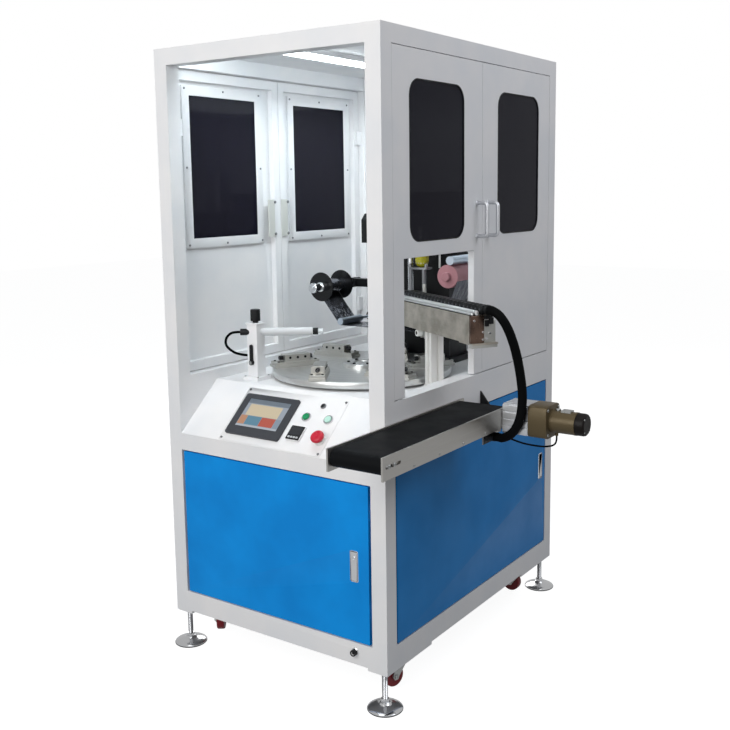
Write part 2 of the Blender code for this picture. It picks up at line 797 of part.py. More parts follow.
def collar(x, along, outer, hole, height):
    bevel = PLATE_THICKNESS / 2
    profile = [
        (hole, 0),
        (outer, 0),
        (outer, PLATE_THICKNESS + height - bevel),
        (outer - bevel, PLATE_THICKNESS + height),
        (hole, PLATE_THICKNESS + height),
    ]
    return on_console(turned(profile, sides=BUTTON_SIDES), x, along)


def build_console():
    slope = math.tan(CONSOLE_SLOPE)
    drop = CONSOLE_SHEET / math.cos(CONSOLE_SLOPE)
    head = FRONT + CONSOLE_RUN
    inside = head - CONSOLE_SHEET
    outline = [
        (FRONT, CONSOLE_SEAT),
        (FRONT + CONSOLE_FLANGE, CONSOLE_SEAT),
        (FRONT + CONSOLE_FLANGE, CONSOLE_SEAT + CONSOLE_SHEET),
        (FRONT + (CONSOLE_SHEET + drop) / slope, CONSOLE_SEAT + CONSOLE_SHEET),
        (inside, TABLE - CONSOLE_SHEET * slope - drop),
        (inside, TABLE - CONSOLE_LIP),
        (head, TABLE - CONSOLE_LIP),
        (head, TABLE),
    ]
    width = INNER_RIGHT - GAP
    shapes = [prism(outline, "X", -width, width)]
    plate = block(
        (PLATE_X - PLATE_WIDTH / 2, PLATE_ALONG - PLATE_LENGTH / 2, -CONSOLE_SHEET / 2),
        (PLATE_X + PLATE_WIDTH / 2, PLATE_ALONG + PLATE_LENGTH / 2, PLATE_THICKNESS),
    )
    shapes.append(on_console(plate, 0, 0))
    half = CONTROLLER_SIDE / 2
    rim = PLATE_THICKNESS + CONTROLLER_HEIGHT
    controller = prism(rounded(-half, half, -half, half, CONTROLLER_HEIGHT / 2, 2), "Z", 0, rim)
    shapes.append(on_console(controller, CONTROLLER_X, CONTROLLER_ALONG))
    ring = BUTTON_RING_RADIUS
    hole = BUTTON_HOLE_RADIUS
    shapes.append(collar(START_X, START_ALONG, ring, BUTTON_RADIUS + GAP, BUTTON_RING_HEIGHT))
    shapes.append(collar(RESET_X, RESET_ALONG, ring, BUTTON_RADIUS + GAP, BUTTON_RING_HEIGHT))
    shapes.append(collar(STOP_X, STOP_ALONG, STOP_RING_RADIUS, STOP_NECK_RADIUS + GAP, STOP_RING_HEIGHT))
    buzzer = [(0, 0), (BUZZER_RADIUS, 0), (BUZZER_RADIUS, PLATE_THICKNESS + BUZZER_HEIGHT)]
    buzzer.append((0, PLATE_THICKNESS + BUZZER_HEIGHT))
    shapes.append(on_console(turned(buzzer, sides=SMALL_SIDES), BUZZER_X, BUZZER_ALONG))
    cuts = []
    screen_hole = block(
        (-SCREEN_BODY_WIDTH / 2 - GAP, -SCREEN_BODY_LENGTH / 2 - GAP, -CONSOLE_SHEET - OVERLAP),
        (SCREEN_BODY_WIDTH / 2 + GAP, SCREEN_BODY_LENGTH / 2 + GAP, PLATE_THICKNESS + OVERLAP),
    )
    cuts.append(on_console(screen_hole, SCREEN_X, SCREEN_ALONG))
    places = ((START_X, START_ALONG), (RESET_X, RESET_ALONG), (STOP_X, STOP_ALONG))
    for x, along in places:
        start = console_point(x, along, -CONSOLE_SHEET - OVERLAP)
        end = console_point(x, along, PLATE_THICKNESS + OVERLAP)
        cuts.append(rod(start, end, hole + GAP, BUTTON_SIDES))
    return piece("console_panel", WHITE_PAINT, shapes, cuts)


def build_touch_panel():
    seat = PLATE_THICKNESS + GAP
    half_x = SCREEN_WIDTH / 2
    half_y = SCREEN_LENGTH / 2
    bezel = prism(
        rounded(-half_x, half_x, -half_y, half_y, SCREEN_CORNER, 2), "Z", seat, seat + SCREEN_BEZEL
    )
    body = block(
        (-SCREEN_BODY_WIDTH / 2, -SCREEN_BODY_LENGTH / 2, seat - SCREEN_BODY_DEPTH),
        (SCREEN_BODY_WIDTH / 2, SCREEN_BODY_LENGTH / 2, seat + SCREEN_BEZEL / 2),
    )
    shift = SCREEN_VIEW_SHIFT
    view = block(
        (-SCREEN_VIEW_WIDTH / 2, shift - SCREEN_VIEW_LENGTH / 2, seat + SCREEN_BEZEL - SCREEN_RECESS),
        (SCREEN_VIEW_WIDTH / 2, shift + SCREEN_VIEW_LENGTH / 2, seat + SCREEN_BEZEL + OVERLAP),
    )
    places = [on_console(shape, SCREEN_X, SCREEN_ALONG) for shape in (bezel, body)]
    return piece("touch_panel", BLACK_PLASTIC, places, [on_console(view, SCREEN_X, SCREEN_ALONG)])


def build_button(name, material, x, along):
    """A flat cap that slides in its collar, with a stem through the sheet."""
    seat = PLATE_THICKNESS + GAP + BUTTON_TRAVEL
    proud = PLATE_THICKNESS + BUTTON_RING_HEIGHT + BUTTON_PROUD
    bevel = BUTTON_PROUD / 4
    profile = [
        (0, -BUTTON_STEM_LENGTH),
        (BUTTON_HOLE_RADIUS, -BUTTON_STEM_LENGTH),
        (BUTTON_HOLE_RADIUS, seat),
        (BUTTON_RADIUS, seat),
        (BUTTON_RADIUS, proud - bevel),
        (BUTTON_RADIUS - bevel, proud),
        (0, proud),
    ]
    shape = on_console(turned(profile, sides=BUTTON_SIDES), x, along)
    return piece(name, material, [shape], pivot=console_point(x, along, 0))


def build_emergency_stop():
    seat = PLATE_THICKNESS + STOP_RING_HEIGHT + GAP + STOP_TRAVEL
    head = seat + STOP_HEAD_HEIGHT
    neck_foot = PLATE_THICKNESS + GAP + STOP_TRAVEL
    profile = [
        (0, -BUTTON_STEM_LENGTH),
        (BUTTON_HOLE_RADIUS, -BUTTON_STEM_LENGTH),
        (BUTTON_HOLE_RADIUS, neck_foot),
        (STOP_NECK_RADIUS, neck_foot),
        (STOP_NECK_RADIUS, seat),
        (STOP_HEAD_RADIUS - BUTTON_PROUD / 4, seat),
        (STOP_HEAD_RADIUS, seat + STOP_HEAD_HEIGHT / 4),
        (STOP_HEAD_RADIUS, seat + STOP_HEAD_HEIGHT / 2),
    ]
    for step in (1, 2, 3):
        angle = math.radians(90 * step / 4)
        rise = STOP_HEAD_HEIGHT / 2 * math.sin(angle)
        profile.append((STOP_HEAD_RADIUS * math.cos(angle), seat + STOP_HEAD_HEIGHT / 2 + rise))
    profile.append((0, head))
    shape = on_console(turned(profile, sides=BUTTON_SIDES), STOP_X, STOP_ALONG)
    return piece(
        "emergency_stop", RED_PLASTIC, [shape], pivot=console_point(STOP_X, STOP_ALONG, 0)
    )


# Table plate and turntable
TABLE_UNDER = TABLE - TABLE_THICKNESS
DISC_UNDER = TABLE + TURN_LIFT
DISC_TOP = DISC_UNDER + TURN_THICKNESS
TABLE_FRONT = FRONT + CONSOLE_RUN + GAP


def build_table_plate():
    width = INNER_RIGHT - GAP
    plate = block((-width, TABLE_FRONT, TABLE_UNDER), (width, INNER_BACK - GAP, TABLE))
    hole_radius = HUB_RADIUS + HUB_CLEARANCE
    hole = rod(
        (0, TURN_Y, TABLE_UNDER - OVERLAP), (0, TURN_Y, TABLE + OVERLAP), hole_radius, DISC_SIDES
    )
    return piece("table_plate", WHITE_PAINT, [plate], [hole])


def jig(station):
    """One holder: base, clamping block and a rod through it with a knob on each end."""
    angle = STATION_START + math.tau * station / STATIONS
    centre = (STATION_RADIUS * math.cos(angle), TURN_Y + STATION_RADIUS * math.sin(angle), 0)
    turn = Matrix.Rotation(angle + math.pi + STATION_SKEW, 4, "Z")
    place = Matrix.Translation(centre) @ turn
    jig_top = DISC_TOP + JIG_HEIGHT
    base = block(
        (-JIG_LENGTH / 2, -JIG_WIDTH / 2, DISC_TOP - OVERLAP), (JIG_LENGTH / 2, JIG_WIDTH / 2, jig_top)
    )
    half = BLOCK_WIDTH / 2
    outline = [
        (-half, jig_top - OVERLAP),
        (half, jig_top - OVERLAP),
        (half, jig_top + BLOCK_HEIGHT - BLOCK_BEVEL),
        (half - BLOCK_BEVEL, jig_top + BLOCK_HEIGHT),
        (-half, jig_top + BLOCK_HEIGHT),
    ]
    holder = prism(outline, "X", -BLOCK_LENGTH / 2, BLOCK_LENGTH / 2)
    reach = CLAMP_ROD_LENGTH / 2
    knob = reach - CLAMP_KNOB_LENGTH
    profile = [
        (0, -reach),
        (CLAMP_KNOB_RADIUS, -reach),
        (CLAMP_KNOB_RADIUS, -knob),
        (CLAMP_ROD_RADIUS, -knob),
        (CLAMP_ROD_RADIUS, knob),
        (CLAMP_KNOB_RADIUS, knob),
        (CLAMP_KNOB_RADIUS, reach),
        (0, reach),
    ]
    clamp = turned(profile, (0, 0, jig_top + CLAMP_ROD_LIFT), (1, 0, 0), 8)
    return [moved(shape, place) for shape in (base, holder, clamp)]


def build_turntable():
    rim = TURN_RADIUS - TURN_RIM_BEVEL
    profile = [
        (0, TABLE_UNDER),
        (HUB_RADIUS, TABLE_UNDER),
        (HUB_RADIUS, DISC_UNDER),
        (rim, DISC_UNDER),
        (TURN_RADIUS, DISC_UNDER + TURN_RIM_BEVEL),
        (TURN_RADIUS, DISC_TOP - TURN_RIM_BEVEL),
        (rim, DISC_TOP),
        (CAP_RADIUS, DISC_TOP),
        (CAP_RADIUS, DISC_TOP + CAP_HEIGHT),
        (0, DISC_TOP + CAP_HEIGHT),
    ]
    shapes = [turned(profile, (0, TURN_Y, 0), sides=DISC_SIDES)]
    for station in range(STATIONS):
        shapes += jig(station)
    return piece("turntable", ALUMINIUM, shapes, pivot=(0, TURN_Y, 0))


def build_index_drive():
    head = TABLE_UNDER - GAP
    flange = DRIVE_FLANGE_SIDE / 2
    body = DRIVE_BODY_SIDE / 2
    flange_foot = head - DRIVE_FLANGE_THICKNESS
    foot = head - DRIVE_BODY_DEPTH
    shapes = [
        block((-flange, TURN_Y - flange, flange_foot), (flange, TURN_Y + flange, head)),
        prism(
            chamfered(-body, body, TURN_Y - body, TURN_Y + body, DRIVE_FLANGE_THICKNESS),
            "Z",
            foot,
            flange_foot + OVERLAP,
        ),
    ]
    axis_height = (foot + flange_foot) / 2
    end = body + DRIVE_MOTOR_LENGTH
    cap = DRIVE_MOTOR_RADIUS / 4
    profile = [
        (0, 0),
        (DRIVE_MOTOR_RADIUS, 0),
        (DRIVE_MOTOR_RADIUS, end - cap),
        (DRIVE_MOTOR_RADIUS - cap, end),
        (0, end),
    ]
    shapes.append(turned(profile, (0, TURN_Y, axis_height), (0, 1, 0)))
    return piece("index_drive", STEEL, shapes)


# Electrical plate: a folded sheet standing on the cabinet floor, with devices and wire troughs
def build_electrical_plate():
    foot = BASE + FLOOR_SHEET + GAP
    half = PLATE_SPAN / 2
    outline = [
        (PLATE_Y, foot),
        (PLATE_Y + PLATE_FOOT, foot),
        (PLATE_Y + PLATE_FOOT, foot + PLATE_SHEET),
        (PLATE_Y + PLATE_SHEET, foot + PLATE_SHEET),
        (PLATE_Y + PLATE_SHEET, foot + PLATE_TALL),
        (PLATE_Y, foot + PLATE_TALL),
    ]
    shapes = [prism(outline, "X", -half, half)]
    bury = PLATE_Y + PLATE_SHEET / 2
    trough_share = 0.5
    for share in (0, trough_share, 1):
        low = foot + PLATE_SHEET + share * (PLATE_TALL - PLATE_SHEET - TROUGH_SIDE)
        start = (OVERLAP - half, PLATE_Y - TROUGH_DEPTH, low)
        end = (half - OVERLAP, bury, low + TROUGH_SIDE)
        shapes.append(block(start, end))
    rows = (0.5 * trough_share, 1.5 * trough_share)
    for row in rows:
        middle = foot + row * PLATE_TALL
        tall = DEVICE_HEIGHT_SHARE * PLATE_TALL
        for start_share, end_share in DEVICE_SHARES:
            low = (start_share * PLATE_SPAN - half, PLATE_Y - DEVICE_DEPTH, middle - tall / 2)
            high = (end_share * PLATE_SPAN - half, bury, middle + tall / 2)
            shapes.append(block(low, high))
    return piece("electrical_plate", ALUMINIUM, shapes)


# Stamping press
ARM_FOOT = BASE + ARM_FOOT_HEIGHT
ARM_TOP = ARM_FOOT + ARM_HEIGHT
COLUMN_BACK = COLUMN_FRONT + COLUMN_DEPTH
ROLLER_AXIS = BASE + ROLLER_HEIGHT
FOIL_LEVEL = ROLLER_AXIS - ROLLER_RADIUS - GAP
DIE_REST = FOIL_LEVEL + DIE_REST_GAP + PRESS_STROKE
RAM_TOP = DIE_REST + DIE_HEIGHT + HEATER_HEIGHT + RAM_PLATE_THICKNESS
SUPPLY_AXIS = BASE + SUPPLY_HEIGHT
TAKEUP_AXIS = BASE + TAKEUP_HEIGHT
NIP_AXIS = TAKEUP_AXIS + math.sqrt(
    (TAKEUP_ROLL_RADIUS + NIP_GAP + NIP_RADIUS) ** 2 - NIP_OFFSET_X**2
)


def reel_arm(x, height):
    """A bar from the column's flank to a boss behind a reel or roller."""
    side = math.copysign(1, x)
    root = side * (COLUMN_WIDTH / 2 - OVERLAP)
    half = REEL_ARM_HEIGHT / 2
    back = REEL_ARM_FRONT + REEL_ARM_DEPTH
    bar = block(
        (min(root, x), REEL_ARM_FRONT, height - half), (max(root, x), back, height + half)
    )
    length = REEL_ARM_DEPTH + 2 * REEL_BOSS_PROUD
    start = (x, REEL_ARM_FRONT - REEL_BOSS_PROUD, height)
    profile = [(0, 0), (REEL_BOSS_RADIUS, 0), (REEL_BOSS_RADIUS, length), (0, length)]
    return [bar, turned(profile, start, (0, 1, 0), 16)]


def fixed_roller(x, height, radius):
    """A smooth roller on a shaft that starts in its arm."""
    start = FOIL_FRONT - ROLLER_RADIUS / 2
    shaft = ROLLER_SHAFT_RADIUS
    face = FOIL_FRONT + FOIL_WIDTH + ROLLER_RADIUS / 2
    profile = [
        (0, start),
        (radius, start),
        (radius, face),
        (shaft, face),
        (shaft, REEL_ARM_FRONT + OVERLAP),
        (0, REEL_ARM_FRONT + OVERLAP),
    ]
    return turned(profile, (x, 0, height), (0, 1, 0), 16)


def build_press_frame():
    half = COLUMN_WIDTH / 2
    foot = TABLE + GAP
    margin = PRESS_FOOT_MARGIN
    column_top = BASE + COLUMN_TOP_HEIGHT
    shapes = [
        block((-half, COLUMN_FRONT, foot), (half, COLUMN_BACK, column_top)),
        block(
            (-half - margin, COLUMN_FRONT - margin, foot),
            (half + margin, COLUMN_BACK + margin, foot + PRESS_FOOT_THICKNESS),
        ),
    ]
    front = PRESS_Y - ARM_REACH
    arm = [
        (COLUMN_FRONT + OVERLAP, ARM_FOOT),
        (COLUMN_FRONT + OVERLAP, ARM_TOP),
        (front + ARM_BEVEL, ARM_TOP),
        (front, ARM_TOP - ARM_BEVEL),
        (front, ARM_FOOT),
    ]
    shapes.append(prism(arm, "X", -ARM_WIDTH / 2, ARM_WIDTH / 2))
    shapes += reel_arm(SUPPLY_X, SUPPLY_AXIS)
    shapes += reel_arm(TAKEUP_X, TAKEUP_AXIS)
    shapes += reel_arm(-ROLLER_X, ROLLER_AXIS)
    shapes += reel_arm(ROLLER_X, ROLLER_AXIS)
    shapes += reel_arm(TAKEUP_X + NIP_OFFSET_X, NIP_AXIS)
    shapes.append(fixed_roller(-ROLLER_X, ROLLER_AXIS, ROLLER_RADIUS))
    shapes.append(fixed_roller(ROLLER_X, ROLLER_AXIS, ROLLER_RADIUS))
    shapes.append(fixed_roller(TAKEUP_X + NIP_OFFSET_X, NIP_AXIS, NIP_RADIUS))
    filter_foot = BASE + FILTER_FOOT_HEIGHT
    neck = FILTER_RADIUS / 2
    profile = [
        (0, 0),
        (neck, 0),
        (FILTER_RADIUS, neck),
        (FILTER_RADIUS, FILTER_LENGTH),
        (0, FILTER_LENGTH),
    ]
    shapes.append(turned(profile, (FILTER_X, PRESS_Y, filter_foot), sides=16))
    bracket = FILTER_BRACKET / 2
    shapes.append(
        block(
            (ARM_WIDTH / 2 - OVERLAP, PRESS_Y - bracket, ARM_FOOT),
            (FILTER_X, PRESS_Y + bracket, ARM_FOOT + FILTER_BRACKET),
        )
    )
    cuts = []
    for x, radius in ((-GUIDE_SPACING, GUIDE_RADIUS), (0, PISTON_RADIUS), (GUIDE_SPACING, GUIDE_RADIUS)):
        start = (x, PRESS_Y, ARM_FOOT - OVERLAP)
        end = (x, PRESS_Y, ARM_TOP + OVERLAP)
        cuts.append(rod(start, end, radius + ROD_CLEARANCE))
    return piece("press_frame", BLACK_PAINT, shapes, cuts)


def build_press_cylinder():
    foot = ARM_TOP + GAP
    half = CYLINDER_SIDE / 2
    corner = CYLINDER_CAP / 3
    square = chamfered(-half, half, PRESS_Y - half, PRESS_Y + half, corner)
    top = foot + CYLINDER_LENGTH
    shapes = [
        prism(square, "Z", foot, foot + CYLINDER_CAP),
        prism(square, "Z", top - CYLINDER_CAP, top),
        rod((0, PRESS_Y, foot + OVERLAP), (0, PRESS_Y, top - OVERLAP), CYLINDER_TUBE_RADIUS, ROUND_SIDES),
    ]
    bore_top = foot + CYLINDER_CAP
    hole = rod((0, PRESS_Y, foot - OVERLAP), (0, PRESS_Y, bore_top), PISTON_RADIUS + ROD_CLEARANCE)
    return piece("press_cylinder", ALUMINIUM, shapes, [hole])


def build_press_ram():
    die_top = DIE_REST + DIE_HEIGHT
    heater_top = die_top + HEATER_HEIGHT
    shapes = []
    sizes = (
        (RAM_PLATE_WIDTH, RAM_PLATE_DEPTH, heater_top, RAM_TOP),
        (HEATER_WIDTH, HEATER_DEPTH, die_top, heater_top + OVERLAP),
        (DIE_WIDTH, DIE_DEPTH, DIE_REST, die_top + OVERLAP),
    )
    for width, depth, low, high in sizes:
        low_corner = (-width / 2, PRESS_Y - depth / 2, low)
        shapes.append(block(low_corner, (width / 2, PRESS_Y + depth / 2, high)))
    for x in (-GUIDE_SPACING, GUIDE_SPACING):
        end = (x, PRESS_Y, ARM_TOP + GUIDE_TOP_REACH)
        shapes.append(rod((x, PRESS_Y, RAM_TOP - OVERLAP), end, GUIDE_RADIUS))
    piston_end = (0, PRESS_Y, ARM_TOP + CYLINDER_CAP - OVERLAP)
    shapes.append(rod((0, PRESS_Y, RAM_TOP - OVERLAP), piston_end, PISTON_RADIUS))
    return piece("press_ram", STEEL, shapes, pivot=(0, PRESS_Y, RAM_TOP))


# Foil reels and the foil between them
FOIL_BACK = FOIL_FRONT + FOIL_WIDTH
BOSS_FACE = REEL_ARM_FRONT - REEL_BOSS_PROUD - GAP


def build_supply_reel():
    flange = SUPPLY_FLANGE
    inner = FOIL_FRONT - flange
    outer = FOIL_BACK + flange
    hub_end = inner - flange - SUPPLY_HUB_REACH
    groove = SUPPLY_HUB_RADIUS - flange
    profile = [
        (0, hub_end),
        (groove, hub_end),
        (SUPPLY_HUB_RADIUS, hub_end + flange),
        (SUPPLY_HUB_RADIUS, hub_end + SUPPLY_HUB_REACH / 3),
        (groove - flange, hub_end + SUPPLY_HUB_REACH / 3),
        (groove - flange, inner - flange),
        (SUPPLY_FLANGE_RADIUS, inner - flange),
        (SUPPLY_FLANGE_RADIUS, inner),
        (SUPPLY_ROLL_RADIUS, inner),
        (SUPPLY_ROLL_RADIUS, outer),
        (SUPPLY_FLANGE_RADIUS, outer),
        (SUPPLY_FLANGE_RADIUS, outer + flange),
        (REEL_SHAFT_RADIUS, outer + flange),
        (REEL_SHAFT_RADIUS, BOSS_FACE),
        (0, BOSS_FACE),
    ]
    shape = turned(profile, (SUPPLY_X, 0, SUPPLY_AXIS), (0, 1, 0))
    return piece("supply_reel", BLACK_PLASTIC, [shape], pivot=(SUPPLY_X, PRESS_Y, SUPPLY_AXIS))


def build_takeup_reel():
    hub_end = FOIL_FRONT - TAKEUP_HUB_REACH
    bevel = TAKEUP_HUB_REACH / 8
    profile = [
        (0, hub_end),
        (TAKEUP_HUB_RADIUS - bevel, hub_end),
        (TAKEUP_HUB_RADIUS, hub_end + bevel),
        (TAKEUP_HUB_RADIUS, FOIL_FRONT),
        (TAKEUP_ROLL_RADIUS, FOIL_FRONT),
        (TAKEUP_ROLL_RADIUS, FOIL_BACK),
        (REEL_SHAFT_RADIUS, FOIL_BACK),
        (REEL_SHAFT_RADIUS, BOSS_FACE),
        (0, BOSS_FACE),
    ]
    shape = turned(profile, (TAKEUP_X, 0, TAKEUP_AXIS), (0, 1, 0))
    return piece("takeup_reel", WHEEL_RED, [shape], pivot=(TAKEUP_X, PRESS_Y, TAKEUP_AXIS))


def tangent_angle(centre, radius, next_centre, next_radius):
    """The angle of the touching points where a web runs from one circle to the next, below both."""
    across = Vector(next_centre) - Vector(centre)
    heading = math.atan2(across.y, across.x)
    return heading - math.pi / 2 - math.asin((next_radius - radius) / across.length)


def web_side(stops, lift):
    """The points of one face of the web, which runs under each circle, lifted off it."""
    points = []
    angles = []
    for (centre, radius), (after, after_radius) in zip(stops, stops[1:]):
        angles.append(tangent_angle(centre, radius + lift, after, after_radius + lift))
    for number, (centre, radius) in enumerate(stops):
        first = angles[max(number - 1, 0)]
        last = angles[min(number, len(angles) - 1)]
        steps = CORNER_STEPS if last - first > SHARP / 2 else 0
        for step in range(steps + 1):
            angle = first + (last - first) * step / max(steps, 1)
            reach = radius + lift
            points.append((centre[0] + reach * math.cos(angle), centre[1] + reach * math.sin(angle)))
    return points


def build_foil_web():
    stops = [
        ((SUPPLY_X, SUPPLY_AXIS), SUPPLY_ROLL_RADIUS),
        ((-ROLLER_X, ROLLER_AXIS), ROLLER_RADIUS),
        ((ROLLER_X, ROLLER_AXIS), ROLLER_RADIUS),
        ((TAKEUP_X, TAKEUP_AXIS), TAKEUP_ROLL_RADIUS),
    ]
    inner = web_side(stops, GAP)
    outer = web_side(stops, GAP + FOIL_THICKNESS)
    front = FOIL_FRONT + GAP
    back = FOIL_BACK - GAP
    return piece("foil_web", FOIL, [prism(inner + outer[::-1], "Y", front, back)])


# Pick-off beam: shapes are made along +X from its column, then turned into place
BEAM_FOOT = TABLE + BEAM_FOOT_HEIGHT
BEAM_TOP = BEAM_FOOT + BEAM_HEIGHT
BEAM_PLACE = Matrix.Translation((BEAM_X, BEAM_Y, 0)) @ Matrix.Rotation(BEAM_TURN, 4, "Z")


def on_beam(mesh):
    return moved(mesh, BEAM_PLACE)


def build_transfer_beam():
    half = BEAM_WIDTH / 2
    step = BEAM_END_STEP
    shapes = [block((-BEAM_INNER, -half, BEAM_FOOT), (BEAM_OUTER, half, BEAM_TOP))]
    shapes.append(
        block(
            (BEAM_OUTER - OVERLAP, step - half, BEAM_FOOT + step),
            (BEAM_OUTER + BEAM_END_PLATE, half - step, BEAM_TOP - step),
        )
    )
    tail_end = BEAM_OUTER + BEAM_END_PLATE + BEAM_TAIL_PROUD
    shapes.append(
        block(
            (BEAM_OUTER - BEAM_TAIL_LENGTH, step - half, BEAM_FOOT - BEAM_TAIL_PLATE),
            (tail_end, half + BEAM_TAIL_PROUD, BEAM_FOOT + step / 2),
        )
    )
    side = PROFILE_SIDE / 2
    foot = TABLE + GAP
    shapes.append(block((-side, -side, foot), (side, side, BEAM_FOOT + OVERLAP)))
    flange = side + PROFILE_FOOT_MARGIN
    shapes.append(
        block((-flange, OVERLAP - side, foot), (side - OVERLAP, flange, foot + PROFILE_FOOT_THICKNESS))
    )
    rod_height = BEAM_TOP + GUIDE_ROD_LIFT
    for share in GUIDE_ROD_PLACE_SHARES:
        y = share * BEAM_WIDTH
        start = (-BEAM_INNER, y, rod_height)
        end = (BEAM_OUTER + BEAM_END_PLATE + GUIDE_ROD_PROUD, y, rod_height)
        shapes.append(rod(start, end, GUIDE_ROD_RADIUS, 10))
    near = GUIDE_ROD_PLACE_SHARES[0] * BEAM_WIDTH - GUIDE_ROD_RADIUS
    far = GUIDE_ROD_PLACE_SHARES[-1] * BEAM_WIDTH + GUIDE_ROD_RADIUS
    saddle_ends = (OVERLAP - BEAM_INNER, BEAM_OUTER - OVERLAP - GUIDE_SADDLE_LENGTH)
    for start in saddle_ends:
        shapes.append(
            block(
                (start, max(near, OVERLAP - half), BEAM_TOP - OVERLAP),
                (start + GUIDE_SADDLE_LENGTH, far, rod_height),
            )
        )
    depth = PROFILE_SLOT_DEPTH
    slot = PROFILE_SLOT / 2
    slot_foot = foot + PROFILE_FOOT_THICKNESS
    slot_top = BEAM_FOOT - OVERLAP
    cuts = []
    for direction in (-1, 1):
        face = direction * side
        low = min(face - direction * depth, face + direction * OVERLAP)
        high = max(face - direction * depth, face + direction * OVERLAP)
        cuts.append(block((low, -slot, slot_foot), (high, slot, slot_top)))
        cuts.append(block((-slot, low, slot_foot), (slot, high, slot_top)))
    return piece(
        "transfer_beam",
        ALUMINIUM,
        [on_beam(shape) for shape in shapes],
        [on_beam(shape) for shape in cuts],
    )


def chain_end():
    return BEAM_OUTER + BEAM_END_PLATE


def build_cable_chain():
    """A row of links, each a little narrower where it meets the next."""
    foot = BEAM_TOP + GAP
    half = CHAIN_WIDTH / 2
    top = foot + CHAIN_HEIGHT
    end = chain_end()
    start = end - CHAIN_LINKS * CHAIN_PITCH
    near = CHAIN_ACROSS - half
    far = CHAIN_ACROSS + half
    groove = CHAIN_GROOVE
    outer = [(near, foot), (far, foot), (far, top), (near, top)]
    inner = [
        (near + groove, foot + groove),
        (far - groove, foot + groove),
        (far - groove, top - groove),
        (near + groove, top - groove),
    ]
    shape = bmesh.new()
    rings = []
    for link in range(CHAIN_LINKS):
        low = start + link * CHAIN_PITCH
        high = low + CHAIN_PITCH - CHAIN_GROOVE_WIDTH
        rings += [(outer, low), (outer, high)]
        if link < CHAIN_LINKS - 1:
            rings += [(inner, high), (inner, low + CHAIN_PITCH)]
    loops = []
    for outline, x in rings:
        loops.append([shape.verts.new((x, y, z)) for y, z in outline])
    for ring, after in zip(loops, loops[1:]):
        for index in range(len(ring)):
            other = (index + 1) % len(ring)
            shape.faces.new((ring[index], ring[other], after[other], after[index]))
    shape.faces.new(loops[0][::-1])
    shape.faces.new(loops[-1])
    return piece("cable_chain", BLACK_PLASTIC, [on_beam(as_mesh(shape))])


CARRIAGE_FACE = BEAM_WIDTH / 2 + GAP
CARRIAGE_BLOCK = CARRIAGE_FACE + CARRIAGE_PLATE
PICK_AXIS = CARRIAGE_BLOCK + CARRIAGE_BLOCK_DEPTH / 2
PICK_LOW = DISC_TOP + JIG_HEIGHT + BLOCK_HEIGHT + PICK_REST_GAP + PICK_TRAVEL
PICK_HEAD_TOP = PICK_LOW + FINGER_LENGTH + PICK_HEAD_HEIGHT
BLOCK_FOOT = PICK_HEAD_TOP + PICK_HEAD_GAP


def build_transfer_carriage():
    half = CARRIAGE_LENGTH / 2
    step = BEAM_HEIGHT / 8
    shapes = [
        block(
            (CARRIAGE_REST - half, CARRIAGE_FACE, BEAM_FOOT + step),
            (CARRIAGE_REST + half, CARRIAGE_BLOCK, BEAM_TOP - step),
        )
    ]
    half = CARRIAGE_BLOCK_LENGTH / 2
    low = (CARRIAGE_REST - half, CARRIAGE_BLOCK - OVERLAP, BLOCK_FOOT)
    high = (CARRIAGE_REST + half, CARRIAGE_BLOCK + CARRIAGE_BLOCK_DEPTH, BEAM_TOP)
    shapes.append(block(low, high))
    bore = rod(
        (CARRIAGE_REST, PICK_AXIS, BLOCK_FOOT - OVERLAP),
        (CARRIAGE_REST, PICK_AXIS, BEAM_TOP + OVERLAP),
        PICK_ROD_RADIUS + ROD_CLEARANCE,
    )
    return piece(
        "transfer_carriage",
        BLACK_PAINT,
        [on_beam(shape) for shape in shapes],
        [on_beam(bore)],
        pivot=BEAM_PLACE @ Vector((CARRIAGE_REST, PICK_AXIS, BEAM_FOOT)),
    )


def build_gripper(carriage):
    x = CARRIAGE_REST
    half = PICK_HEAD_LENGTH / 2
    depth = PICK_HEAD_DEPTH / 2
    head_foot = PICK_LOW + FINGER_LENGTH
    shapes = [
        block((x - half, PICK_AXIS - depth, head_foot), (x + half, PICK_AXIS + depth, PICK_HEAD_TOP)),
        rod(
            (x, PICK_AXIS, PICK_HEAD_TOP - OVERLAP),
            (x, PICK_AXIS, PICK_HEAD_TOP + PICK_ROD_LENGTH + PICK_TRAVEL),
            PICK_ROD_RADIUS,
        ),
    ]
    for side in (-1, 1):
        middle = x + side * FINGER_SPREAD / 2
        shapes.append(
            block(
                (middle - FINGER_THICKNESS / 2, PICK_AXIS - FINGER_DEPTH / 2, PICK_LOW),
                (middle + FINGER_THICKNESS / 2, PICK_AXIS + FINGER_DEPTH / 2, head_foot + OVERLAP),
            )
        )
    return piece(
        "gripper",
        ALUMINIUM,
        [on_beam(shape) for shape in shapes],
        pivot=BEAM_PLACE @ Vector((x, PICK_AXIS, PICK_HEAD_TOP)),
        carrier=carriage,
    )


